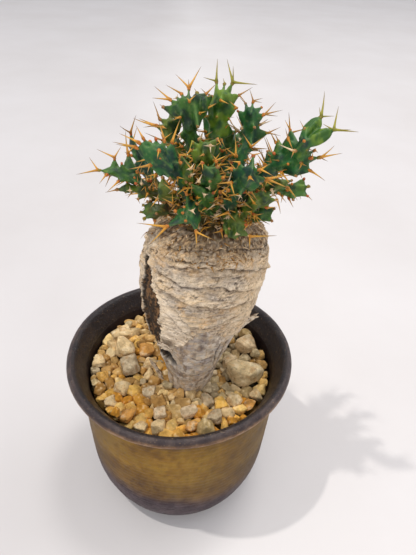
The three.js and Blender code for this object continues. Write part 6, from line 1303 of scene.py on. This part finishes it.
def place_tone(x, y, rng):
    """Grain colour by where it lies: ochre on the left, greyer on the right, and orange along the front wall, which is
    painted warm reflected light.
    """
    tan = [lin(c) for c in ((204, 172, 116), (192, 152, 92), (208, 180, 132), (178, 136, 76), (198, 160, 98))]
    orange = [lin(c) for c in ((226, 180, 100), (212, 156, 66), (236, 196, 122), (202, 144, 54), (240, 208, 144), (230, 186, 100))]
    grey = [lin(c) for c in ((196, 176, 136), (180, 162, 128), (206, 184, 140), (208, 188, 152), (164, 146, 114))]
    r = math.hypot(x, y)
    front = smooth(25, 40, r) * smooth(0.0, 0.6, -y / max(r, 1))
    left = smooth(5, -25, x) if False else float(np.clip((-x + 5) / 35, 0, 1))
    g = float(np.clip((x - 6) / 18, 0, 1)) * (1 - float(smooth(38, 47, r)))
    u = rng.uniform()
    if u < 0.95 * front + 0.22 * left:
        pick = orange
    elif u < 0.95 * front + 0.22 * left + 0.75 * g:
        pick = grey
    else:
        pick = tan
    if rng.uniform() < 0.05:
        pick = grey
    c = pick[int(rng.integers(len(pick)))]
    # painted warm reflected light: grains along the front wall are tinted golden
    c = c * (1 - float(front) * np.array([0.02, 0.11, 0.35]))
    return c * rng.uniform(0.78, 1.14)


def make_stones():
    done = []
    for k, (x, y, z, rx, ry, rz, tone, turn) in enumerate(PEBBLES):
        rng = np.random.default_rng(300 + k)
        big = rx > 7.5
        q, f, d, s = grain(4, (1, 1, 1), rng, planes=9 if big else 8, power=16 if big else 14, rough=0.045)
        q = q / np.abs(q).max(0) * np.array([rx, ry, rz]) * 0.99
        a = math.radians(turn)
        q = q @ np.array([[math.cos(a), -math.sin(a), 0], [math.sin(a), math.cos(a), 0], [0, 0, 1]]).T
        P = q + [x, y, z]
        base = STONE_TONES[int(tone)]
        t = fbm(P / 3.0, 110, 3)
        c = mixc(base, base * 0.78, smooth(0.0, 0.5, t))
        c = mixc(c, lin((232, 216, 182)), smooth(0.05, 0.5, -t) * 0.5)
        # painted shade: the lower half of each stone is darkened
        c = c * (0.5 + 0.5 * smooth(-1.0, 0.0, (P[:, 2] - z) / rz))[:, None]
        c = mixc(c, lin((176, 120, 58)), smooth(0.2, 0.5, fbm(P / 2.2, 111, 3)) * 0.4)
        c = mixc(c, lin((108, 98, 80)), smooth(0.28, 0.5, fbm(P / 1.0, 112, 3)) * 0.45)
        m = Mesh()
        m.add(P, f, c)
        name = "stone_%02d" % (k + 1)
        piece(m.build("pumice_" + name, [STONE]), "stone", name)
        done.append((x, y, max(rx, ry), min(rx, ry), z, rz))
    return done


STONES_AT = make_stones()


def pack(n, z0, zj, rng, stones, shrink=1.0, reach=INNER_R):
    """Grains spread over the pot by pushing each other, the trunk, the wall and the stones apart."""
    ax = caudex_axis(np.array([81.0]))[0]
    rt = 11.6
    r = rng.choice([2.1, 2.6, 3.05, 3.5, 4.0], n, p=[0.18, 0.28, 0.28, 0.18, 0.08]) * rng.uniform(0.93, 1.07, n)
    a, q = rng.uniform(0, 2 * np.pi, n), np.sqrt(rng.uniform(0.05, 1, n)) * 46
    p = np.stack([q * np.cos(a), q * np.sin(a)], 1)
    st = np.array([[s[0], s[1], (0.55 * s[2] + 0.45 * s[3]) * (0.86 if s[2] < 8 else 0.9)] for s in stones]) if stones else np.zeros((0, 3))
    for it in range(260):
        d = p[:, None] - p[None]
        L = np.sqrt((d**2).sum(-1)) + 1e-6
        over = np.clip((r[:, None] + r[None]) * 0.93 * shrink - L, 0, None)
        np.fill_diagonal(over, 0)
        mv = (d / L[..., None] * over[..., None]).sum(1) * 0.36
        for cx, cy, cr in st:
            e = p - [cx, cy]
            M_ = np.sqrt((e**2).sum(1)) + 1e-6
            mv += e / M_[:, None] * np.clip(cr + r * 0.86 - M_, 0, None)[:, None] * 0.6
        e = p - ax
        M_ = np.sqrt((e**2).sum(1)) + 1e-6
        mv += e / M_[:, None] * np.clip(rt + r * 0.8 - M_, 0, None)[:, None] * 0.9
        p = p + mv
        R_ = np.sqrt((p**2).sum(1))
        lim = reach - r * 0.92
        p = np.where((R_ > lim)[:, None], p / R_[:, None] * lim[:, None], p)
    # grains still buried in a stone or the trunk are left out
    keep = np.sqrt(((p - ax) ** 2).sum(1)) > rt + r * 0.35
    for cx, cy, cr in st:
        keep &= np.hypot(p[:, 0] - cx, p[:, 1] - cy) > cr + r * 0.3
    return p[keep], r[keep], z0 + rng.uniform(-zj, zj, n)[keep]


def bed_rise(x, y):
    """The bed heaps up a little at the back left and along the wall."""
    r = np.hypot(x, y)
    return 0.9 * smooth(-5, 40, y) + 0.7 * smooth(38, 47, r) * smooth(0, -30, x) + 0.35 * fbm(np.stack([x / 14.0, y / 14.0, x * 0], -1), 120, 2) * 2


def make_bed():
    rng = np.random.default_rng(404)
    m = Mesh()
    M, K = 180, 44
    # soil-dark body of the bed, under the loose grains
    th = np.arange(M) / M * 2 * np.pi
    ax = caudex_axis(np.array([78.0]))[0]
    t = np.linspace(0, 1, K)[:, None]
    hole = ax + 10.4 * np.stack([np.cos(th), np.sin(th)], 1)
    wall = 48.55 * np.stack([np.cos(th), np.sin(th)], 1)
    T_ = hole[None] * (1 - t[..., None]) + wall[None] * t[..., None]
    zt = 75.6 + 0.5 * fbm(np.stack([T_[..., 0] / 2.2, T_[..., 1] / 2.2, T_[..., 0] * 0], -1), 121, 3) + bed_rise(T_[..., 0], T_[..., 1]) * 0.6
    top = np.concatenate([T_, zt[..., None]], -1)
    low = [(48.0, 45.0), (46.2, 24.0), (43.6, 15.0), (39.5, 8.9), (13.0, 8.9)]
    walls = [np.concatenate([r_ * np.stack([np.cos(th), np.sin(th)], 1), np.full((M, 1), z_)], 1) for r_, z_ in low]
    ax2 = caudex_axis(np.array([50.0]))[0]
    shaft = [np.concatenate([ax2 + r_ * np.stack([np.cos(th), np.sin(th)], 1), np.full((M, 1), z_)], 1) for r_, z_ in ((4.0, 34.0), (9.0, 50.0), (10.0, 62.0))]
    body = np.concatenate([top, np.stack(walls), np.stack([shaft[0], shaft[1], shaft[2]])])
    B = body.reshape(-1, 3)
    K2 = len(body)
    f = grid_faces(K2, M)
    close = np.stack([(K2 - 1) * M + np.arange(M), (K2 - 1) * M + (np.arange(M) + 1) % M, (np.arange(M) + 1) % M, np.arange(M)], -1)
    c = mixc(lin((52, 36, 20)), lin((88, 62, 34)), smooth(-0.3, 0.4, fbm(B / 2.0, 122, 3)))
    # rings run outwards over the top, so they are turned to face up
    m.add(B, np.concatenate([f, close])[:, ::-1], c)
    layers = [(290, 76.7, 0.5, [], 0.98, 1.0), (240, 80.7, 0.9, STONES_AT, 1.06, 1.0), (40, 83.6, 0.5, STONES_AT, 1.7, 1.0)]
    for li, (n, z0, zj, st, shrink, _) in enumerate(layers):
        p, r, z = pack(n, z0, zj, rng, st, shrink)
        for (x, y), rr, zz in zip(p, r, z):
            if li == 2 and (math.hypot(x, y) < 16 or rng.uniform() < 0.35):
                continue
            if li == 0 and math.hypot(x, y) < 13:
                continue
            e = rng.uniform(0.86, 1.2)
            if li:
                rr = rr * 0.93
            q, f, d, s = grain(2 if li == 0 else 3, (rr * e, rr / e**0.6, rr * rng.uniform(0.66, 0.92)), rng, planes=int(rng.integers(6, 11)), power=float(rng.uniform(10, 22)), rough=0.055)
            q = turned(q, rng, 0.35)
            P = q + [x, y, zz + float(bed_rise(np.array(x), np.array(y)))]
            R_ = np.hypot(P[:, 0], P[:, 1])
            lim = np.where(R_ > 48.9, 48.9 / R_, 1.0)
            P[:, :2] *= lim[:, None]
            # painted shade: the grains of the lowest layer are darkened to stand for the shaded gaps between the top
            # grains
            base = place_tone(x, y, rng) * (0.22 if li == 0 else 0.98)
            t = noise(P / 1.3 + s, 123)
            c = base[None] * (1 + 0.2 * t[:, None])
            c = mixc(c, lin((232, 216, 180)), smooth(0.35, 0.85, t) * 0.4 * (0 if li == 0 else 1))
            # painted shade and painted warm reflected light: the undersides of the grains are darkened and tinted
            # golden
            up = smooth(-0.9, 0.35, (P[:, 2] - P[:, 2].mean()) / rr)[:, None]
            c = c * (0.34 + 0.66 * up) * (1 - (1 - up) * np.array([0.0, 0.14, 0.42]))
            m.add(P, f, c)
    return piece(m.build("gravel_bed_grains", [STONE]), "gravel", "gravel_bed")


make_bed()


# -------------------------------------------------------------------- stems
CELL = 0.42


def surface_nets(D, org, h):
    """Smooth quad surface where the field changes sign, negative inside."""
    s = D < 0
    n = np.array(D.shape) - 1
    acc = np.zeros((*n, 3))
    cnt = np.zeros(n)

    def cut(A, off):
        return A[off[0] : off[0] + n[0], off[1] : off[1] + n[1], off[2] : off[2] + n[2]]

    for ax in range(3):
        o1, o2 = [k for k in range(3) if k != ax]
        for p in (0, 1):
            for q in (0, 1):
                lo = [0, 0, 0]
                lo[o1], lo[o2] = p, q
                hi = list(lo)
                hi[ax] = 1
                a, b = cut(D, lo), cut(D, hi)
                x = cut(s, lo) != cut(s, hi)
                with np.errstate(divide="ignore", invalid="ignore"):
                    t = np.where(x, a / (a - b), 0)
                for k in range(3):
                    acc[..., k] += np.where(x, t if k == ax else lo[k], 0)
                cnt += x
    act = cnt > 0
    idx = np.full(n, -1, np.int64)
    idx[act] = np.arange(act.sum())
    V = (acc[act] / cnt[act][:, None] + np.argwhere(act)) * h + org
    quads = []
    for ax in range(3):
        o1, o2 = (ax + 1) % 3, (ax + 2) % 3
        sl = [slice(None)] * 3
        a = [slice(1, -1)] * 3
        b = [slice(1, -1)] * 3
        a[ax], b[ax] = slice(0, -1), slice(1, None)
        sa, sb = s[tuple(a)], s[tuple(b)]
        for flip, mask in ((False, sa & ~sb), (True, ~sa & sb)):
            c = np.argwhere(mask)
            if not len(c):
                continue
            c[:, o1] += 1
            c[:, o2] += 1
            e1, e2 = np.zeros(3, int), np.zeros(3, int)
            e1[o1], e2[o2] = 1, 1
            g = [c - e1 - e2, c - e2, c, c - e1]
            q = np.stack([idx[tuple(k.T)] for k in g], 1)
            quads.append(q[:, ::-1] if flip else q)
    F = np.concatenate(quads)
    return V, F[(F >= 0).all(1)]


def smin(a, b, k):
    h = np.clip(0.5 + 0.5 * (b - a) / k, 0, 1)
    return b * (1 - h) + a * h - k * h * (1 - h)


def stem_field(core, teeth):
    pts = np.concatenate([core[:, :3], np.array([t[3:6] for t in teeth]).reshape(-1, 3)])
    lo, hi = pts.min(0) - 4.2, pts.max(0) + 4.2
    dims = np.ceil((hi - lo) / CELL).astype(int) + 1
    g = [lo[k] + np.arange(dims[k]) * CELL for k in range(3)]
    X = np.stack(np.meshgrid(*g, indexing="ij"), -1).astype(np.float32)
    D = np.full(dims, 9.0, np.float32)
    U = np.zeros(dims, np.float32)  # how far along the stem
    Wt = np.full(dims, 9.0, np.float32)  # distance to the nearest tooth's midrib
    L = np.concatenate([[0], np.cumsum(np.linalg.norm(np.diff(core[:, :3], axis=0), axis=1))])
    best = np.full(dims, 9.0, np.float32)
    Y = np.zeros(dims, np.float32)  # new growth

    def box(a, b, m):
        l_ = np.clip(((np.minimum(a, b) - m - lo) / CELL).astype(int), 0, dims - 1)
        h_ = np.clip(((np.maximum(a, b) + m - lo) / CELL).astype(int) + 2, 1, dims)
        return tuple(slice(l_[k], h_[k]) for k in range(3))

    for k in range(len(core) - 1):
        a, b, ra, rb = core[k, :3], core[k + 1, :3], core[k, 3], core[k + 1, 3]
        sl = box(a, b, max(ra, rb) + 3.4)
        x = X[sl]
        e = b - a
        t = np.clip(((x - a) @ e) / (e @ e), 0, 1)
        d = np.sqrt(((x - a - t[..., None] * e) ** 2).sum(-1)) - (ra + (rb - ra) * t)
        D[sl] = smin(D[sl], d, 1.2) if k else np.minimum(D[sl], d)
        near = d < best[sl]
        best[sl] = np.where(near, d, best[sl])
        U[sl] = np.where(near, (L[k] + t * (L[k + 1] - L[k])) / L[-1], U[sl])
    for tt in teeth:
        a, b, r0 = np.array(tt[0:3], float), np.array(tt[3:6], float), tt[6]
        e = b - a
        ln = np.linalg.norm(e)
        w = e / ln
        # the tooth is flattened across the line of the stem
        k = int(np.argmin(((core[:, :3] - a) ** 2).sum(1)))
        ax = core[min(k + 1, len(core) - 1), :3] - core[max(k - 1, 0), :3]
        flat = np.cross(w, ax)
        flat = flat / np.linalg.norm(flat) if np.linalg.norm(flat) > 1e-3 else np.array([0, 0, 1.0])
        along = np.cross(flat, w)
        sl = box(a, b, r0 * 1.7 + 2.6)
        U[sl] = np.where(best[sl] > 8.9, L[k] / L[-1], U[sl])
        x = X[sl] - a
        s = x @ w
        t = np.clip(s / ln, 0, 1)
        u, v = x @ along, x @ flat
        over = s - t * ln
        if tt[7] == 4 and ln > 8.5 and r0 > 2.3:
            # young shoots are plump and ribbed
            rr = min(r0, 2.35) * (0.3 + 0.7 * np.sin(np.pi * np.clip(t * 0.86 + 0.1, 0, 1)) ** 0.8 - 0.2 * smooth(0.8, 1.0, t))
            an = np.arctan2(v, u)
            rr = rr * (1 + 0.15 * np.cos(4 * an + 0.6))
            d = (np.sqrt(u**2 + v**2 + over**2) - rr) * 0.85
        else:
            rr = r0 * 0.92 * (1 - 0.9 * t**0.95) + 0.12
            d = (np.sqrt((u / 1.5) ** 2 + (v / 0.6) ** 2 + over**2) - rr) * 0.72
        fresh = np.where((tt[7] == 4) & (t > 0.12), np.exp(-np.maximum(d, 0) * 1.6) * smooth(0.1, 0.4, t) * (1.25 if ln > 8.5 else 0.6), 0)
        Y[sl] = np.maximum(Y[sl], fresh)
        D[sl] = smin(D[sl], d, 0.8)
        near = np.abs(v) + np.maximum(d, 0) * 0.5
        Wt[sl] = np.minimum(Wt[sl], np.where(t > 0.05, near, 9))
    return X, D, U, Wt, Y, lo


def trilinear(A, P, lo):
    q = np.clip((P - lo) / CELL, 0, np.array(A.shape) - 1.001)
    i = q.astype(int)
    f = q - i
    r = 0
    for dx in (0, 1):
        for dy in (0, 1):
            for dz in (0, 1):
                w = (f[:, 0] if dx else 1 - f[:, 0]) * (f[:, 1] if dy else 1 - f[:, 1]) * (f[:, 2] if dz else 1 - f[:, 2])
                r = r + w * A[i[:, 0] + dx, i[:, 1] + dy, i[:, 2] + dz]
    return r


GREENS = [
    (lin((20, 66, 22)), lin((56, 100, 28)), lin((8, 48, 26))),
    (lin((52, 78, 16)), lin((92, 108, 28)), lin((28, 58, 16))),
    (lin((10, 66, 36)), lin((34, 94, 38)), lin((6, 50, 36))),
    (lin((48, 92, 16)), lin((104, 134, 30)), lin((24, 70, 18))),
]
SHIELDS = [lin(c) for c in ((204, 124, 40), (184, 92, 34), (232, 210, 180), (166, 120, 66), (148, 126, 34))]
BLOB = icosphere(2)


def shield(mesh, at, w, size, kind, rng):
    """The horny shield round a pair of spines, drawn out down the tooth."""
    d, f = BLOB
    u = np.cross(w, [0.3, 0.2, 1.0])
    u /= np.linalg.norm(u)
    v = np.cross(w, u)
    s = rng.uniform(0, 40, 3)
    k = 1 + (0.34 if kind != 2 else 0.75) * fbm(d * 1.9 + s, 130, 2)
    q = d * k[:, None]
    back = np.where(q[:, 2] < 0, 1.55, 0.75)
    P = at + size * (q[:, :1] * u + q[:, 1:2] * v * 0.85 + (q[:, 2:] * back[:, None] - 0.25) * w)
    c = mixc(SHIELDS[kind], SHIELDS[kind] * 0.55, smooth(0.0, 0.5, fbm(d * 2.6 + s, 131, 2)))
    mesh.add(P, f, c * rng.uniform(0.85, 1.12), 1)


def star(mesh, at, w, size, rng):
    u = np.cross(w, [0.3, 0.2, 1.0])
    u /= np.linalg.norm(u)
    v = np.cross(w, u)
    ph, n = rng.uniform(0, 2 * np.pi), int(rng.integers(3, 5))
    for j in range(n):
        a = ph + j * 2 * np.pi / n + rng.uniform(-0.3, 0.3)
        o = u * np.cos(a) + v * np.sin(a) + w * rng.uniform(0.2, 0.8)
        o /= np.linalg.norm(o)
        tip = at + o * size * rng.uniform(0.7, 1.3)
        tip = np.clip(tip, np.array(LOW) + 0.6, np.array(HIGH) - 0.6)
        spine(mesh, at - w * 0.1, tip, rng.uniform(0.3, 0.42), 2, rng, sides=5, rows=5)


def more_teeth(core, teeth, rng, back):
    """Whorls of smaller teeth between the named ones, turned a little from whorl to whorl."""
    seg = np.linalg.norm(np.diff(core[:, :3], axis=0), axis=1)
    L = np.concatenate([[0], np.cumsum(seg)])
    tips = np.array([t[3:6] for t in teeth]).reshape(-1, 3)
    out = []
    phase = rng.uniform(0, 2 * np.pi)
    for i, s in enumerate(np.arange(2.6, L[-1] + 0.2, 4.3)):
        p = np.array([np.interp(s, L, core[:, j]) for j in range(3)])
        r = np.interp(s, L, core[:, 3])
        q = np.array([np.interp(min(s + 1.5, L[-1]), L, core[:, j]) for j in range(3)]) - np.array([np.interp(max(s - 1.5, 0), L, core[:, j]) for j in range(3)])
        w = q / np.linalg.norm(q)
        e1 = np.cross(w, [0.2, 0.9, 0.1])
        e1 /= np.linalg.norm(e1)
        e2 = np.cross(w, e1)
        age = s / L[-1]
        for j in range(3):
            a = phase + j * 2 * np.pi / 3 + (i % 2) * np.pi / 3 + rng.uniform(-0.25, 0.25)
            o = (e1 * np.cos(a) + e2 * np.sin(a)) * 0.9 + w * rng.uniform(0.25, 0.5)
            o /= np.linalg.norm(o)
            tip = p + o * (r + rng.uniform(2.0, 3.3))
            if len(tips) and np.min(np.linalg.norm(tips - tip, axis=1)) < 3.9:
                continue
            if not (LOW[0] + 1 < tip[0] < HIGH[0] - 1 and LOW[1] + 1 < tip[1] < HIGH[1] - 1 and tip[2] < HIGH[2] - 2 and tip[2] > 170):
                continue
            if age < 0.45:
                sh = int(rng.choice([2, 2, 3, 3, 0]))
            else:
                sh = int(rng.choice([0, 0, 1, 3]))
            sp = []
            side = np.cross(o, w)
            for sg in (1, -1):
                if rng.uniform() < (0.78 if sh != 2 else 1.0):
                    d = o * 0.75 + side * sg * rng.uniform(0.5, 0.8) + rng.normal(0, 0.12, 3)
                    d /= np.linalg.norm(d)
                    e = tip + d * (rng.uniform(2.6, 6.8) if sh != 2 else rng.uniform(1.9, 3.4))
                    if LOW[0] + 1 < e[0] < HIGH[0] - 1 and LOW[1] + 1 < e[1] < HIGH[1] - 1 and e[2] < HIGH[2] - 1 and e[2] > 171:
                        sp.append([*e, {0: 0, 1: 0, 2: 2, 3: int(rng.choice([3, 1, 2]))}[sh]])
            out.append([*p, *tip, r * 0.62 + 0.35, sh, sp])
            tips = np.concatenate([tips, tip[None]])
    return out


SLIM = 0.66


def make_stem(k, name, tint, core, teeth):
    rng = np.random.default_rng(700 + k)
    core = np.array(core, float)
    core[:, 3] *= SLIM
    teeth = [list(t) for t in teeth]
    for t in teeth:  # the teeth that face the viewer stand as far out as those seen side on
        a, b = np.array(t[0:3]), np.array(t[3:6])
        ln = np.linalg.norm(b - a)
        if ln < 4.6:
            t[3:6] = list(a + (b - a) / max(ln, 0.5) * 4.6)
    teeth = teeth + more_teeth(core, teeth, rng, name.startswith("stem_back"))
    # the core line, cut four times finer and smoothed
    n = 4 * (len(core) - 1) + 1
    t0, t1 = np.arange(len(core)), np.linspace(0, len(core) - 1, n)
    fine = np.stack([np.interp(t1, t0, core[:, j]) for j in range(4)], 1)
    sm = fine.copy()
    for _ in range(3):
        sm[1:-1, :3] = (sm[:-2, :3] + 2 * sm[1:-1, :3] + sm[2:, :3]) / 4
    X, D, U, Wt, Y, lo = stem_field(sm, teeth)
    near = np.abs(D) < 1.3
    D[near] += 0.16 * fbm(X[near] / 1.9, 140 + k, 2).astype(np.float32)
    V, F = surface_nets(D, lo, CELL)
    # place along the stem, distance to the midribs and new growth, read at each vertex
    u = trilinear(U, V, lo)
    rib = trilinear(Wt, V, lo)
    yg = trilinear(Y, V, lo)
    a, b, c_ = GREENS[tint]
    t = fbm(V / 3.2, 150, 3)
    col = mixc(a, b, smooth(-0.1, 0.45, t + 0.25 * (u - 0.4)))
    col = mixc(col, c_, smooth(0.05, 0.45, -t))
    # painted highlight along the midribs of the teeth, and painted shade in the valleys between them
    col = mixc(col, mixc(b, lin((128, 156, 72)), np.full(len(V), 0.5)), np.exp(-((rib / 0.42) ** 2)) * 0.62)
    col = col * (1 - 0.3 * (smooth(0.9, 2.2, rib) * (1 - smooth(3.0, 5.0, rib))))[:, None]
    edge = smooth(0.28, 0.5, fbm(V / 0.9, 155, 2))
    col = mixc(col, lin((132, 146, 84)), smooth(0.25, 0.55, fbm(V / 1.1, 151, 2)) * 0.22)
    lime = mixc(lin((50, 92, 18)), lin((118, 146, 36)), smooth(-0.2, 0.4, fbm(V * np.array([1.1, 1.1, 0.4]) / 2.0, 154, 3)))
    col = mixc(col, lime, np.clip(yg * 1.1, 0, 1) * 0.85)
    old = 1 - smooth(0.08, 0.5, u + 0.14 * fbm(V / 2.2, 152, 2))
    col = mixc(col, lin((88, 72, 34)), old * (0.6 if tint != 3 else 0.35))
    col = mixc(col, lin((58, 36, 18)), old * smooth(-0.15, 0.3, fbm(V / 1.6, 153, 2)) * 0.85)
    # painted shade: the hollow below the crown's outer shoots is darkened, and browned like old growth
    hollow_shade = (1 - smooth(13.0, 21.0, np.hypot(V[:, 0], V[:, 1]))) * (1 - smooth(188.0, 200.0, V[:, 2]))
    col = mixc(col, mixc(lin((66, 42, 20)), lin((120, 84, 44)), smooth(0.1, 0.4, fbm(V / 1.1, 156, 2))), hollow_shade * 0.6)
    m = Mesh()
    m.add(V, F, col, 0)
    for tt in teeth:
        A, B, r0, sh = np.array(tt[0:3], float), np.array(tt[3:6], float), tt[6], tt[7]
        w = (B - A) / np.linalg.norm(B - A)
        if sh == 2:  # a dried, pale shield splits into short stubs
            star(m, B, w, rng.uniform(1.1, 1.9), rng)
        elif sh is not None and sh >= 0:
            shield(m, B + w * 0.15, w, (0.68 if sh != 2 else 0.66) * rng.uniform(0.85, 1.2) * (1.0 if len(tt[8]) else 0.85), sh, rng)
        for s in tt[8]:
            tip = np.array(s[:3], float)
            ln = np.linalg.norm(tip - B)
            if ln < 0.8:
                continue
            spine(m, B + w * 0.3, tip, (min(0.54, 0.25 + 0.029 * ln) if s[3] != 2 else 0.42) * (0.85 if s[3] == 1 else 1.0), int(s[3]), rng, bend=rng.uniform(0.0, 0.07))
    # old, short spines and stubs on the lower part of the stem
    G = np.gradient(D, CELL)
    cand = np.nonzero((u > 0.12) & (u < 0.8))[0]
    if len(cand):
        nn = int(8 + len(V) / 1100)
        if name.startswith("stem_back"):
            nn = int(nn * 0.8)
        pick = rng.choice(cand, min(nn, len(cand)), replace=False)
        nrm = -np.stack([trilinear(g, V[pick], lo) for g in G], 1) * -1
        nrm /= np.linalg.norm(nrm, axis=1)[:, None] + 1e-9
        for p, w, uu in zip(V[pick], nrm, u[pick]):
            kind = int(rng.choice([0, 0, 2, 2, 3, 3, 1] if uu < 0.5 else [0, 0, 0, 3, 1]))
            if kind == 2:
                star(m, p, w, rng.uniform(0.8, 1.4), rng)
            else:
                shield(m, p, w, rng.uniform(0.34, 0.56), {0: 0, 1: 3, 3: 3}[kind], rng)
            side = np.cross(w, rng.normal(size=3))
            side /= np.linalg.norm(side)
            for sg in (1, -1):
                if rng.uniform() < 0.75:
                    d = w * 1.0 + side * sg * rng.uniform(0.35, 0.8)
                    d /= np.linalg.norm(d)
                    tip = p + d * rng.uniform(1.8, 5.4)
                    if LOW[0] + 0.8 < tip[0] < HIGH[0] - 0.8 and LOW[1] + 0.8 < tip[1] < HIGH[1] - 0.8 and tip[2] < HIGH[2] - 1:
                        spine(m, p, tip, rng.uniform(0.2, 0.3), kind, rng, sides=5, rows=5)
    return piece(m.build("succulent_" + name, [SKIN, HORN]), "stem_green", name)


LOW = [v * 1000 for v in CAD_BOUNDS[0]]
HIGH = [v * 1000 for v in CAD_BOUNDS[1]]
for k_, (name_, tint_, core_, teeth_) in enumerate(STEMS):
    make_stem(k_, name_, tint_, core_, teeth_)


# ------------------------------------------------- floor, light and camera
def make_floor():
    S, K = 3.4, 40
    g = np.linspace(-S, S, K + 1)
    X, Y = np.meshgrid(g, g + 1.2, indexing="ij")
    V = np.stack([X, Y, X * 0], -1).reshape(-1, 3)
    i, j = np.meshgrid(np.arange(K), np.arange(K), indexing="ij")
    a = (i * (K + 1) + j).ravel()
    F = np.stack([a, a + K + 1, a + K + 2, a + 1], -1)
    me = bpy.data.meshes.new("table_top")
    me.from_pydata([tuple(v) for v in V], [], [tuple(int(q) for q in f) for f in F])
    me.materials.append(FLOOR)
    o = bpy.data.objects.new("table_top", me)
    bpy.context.scene.collection.objects.link(o)


make_floor()


def area_light(name, direction, distance, size, power, colour):
    d = Vector(direction).normalized()
    l = bpy.data.lights.new(name, "AREA")
    l.shape = "DISK"
    l.size = size
    l.energy = power
    l.color = colour
    o = bpy.data.objects.new(name, l)
    o.location = Vector((0, 0, 0.1)) + d * distance
    o.rotation_euler = (-d).to_track_quat("-Z", "Y").to_euler()
    bpy.context.scene.collection.objects.link(o)


area_light("key", (-0.38, -0.06, 0.92), 2.6, 0.07, 22.5, (1.0, 0.965, 0.92))
area_light("second", (0.17, 0.13, 0.96), 2.4, 0.5, 12.0, (1.0, 0.98, 0.96))
area_light("right", (1.1, 0.55, 1.3), 2.6, 2.0, 13.0, (1.0, 0.985, 0.97))
area_light("front", (-0.2, -1.0, 0.75), 2.4, 1.4, 9.0, (1.0, 0.985, 0.97))

world = bpy.data.worlds.new("studio")
bpy.context.scene.world = world
world.use_nodes = True
bg = world.node_tree.nodes["Background"]
bg.inputs["Color"].default_value = (0.86, 0.87, 0.92, 1)
bg.inputs["Strength"].default_value = 0.76

pitch, yaw, roll = 0.638, 0.068, 0.058
fw = Vector((math.sin(yaw) * math.cos(pitch), math.cos(yaw) * math.cos(pitch), -math.sin(pitch)))
right = Vector((math.cos(yaw), -math.sin(yaw), 0))
up = right.cross(fw)
r2 = right * math.cos(roll) + up * math.sin(roll)
u2 = up * math.cos(roll) - right * math.sin(roll)
cam = bpy.data.cameras.new("view")
cam.sensor_fit = "VERTICAL"
cam.sensor_height = 36
cam.sensor_width = 36 * 416 / 555
cam.lens = 480 / 555 * 36
cam.clip_start = 0.01
cam.clip_end = 50
eye = bpy.data.objects.new("view", cam)
eye.matrix_world = Matrix(((r2.x, u2.x, -fw.x, 0.0), (r2.y, u2.y, -fw.y, -0.185046), (r2.z, u2.z, -fw.z, 0.280839), (0, 0, 0, 1)))
bpy.context.scene.collection.objects.link(eye)
bpy.context.scene.camera = eye
bpy.context.scene.view_settings.view_transform = "Standard"

bpy.context.view_layer.update()
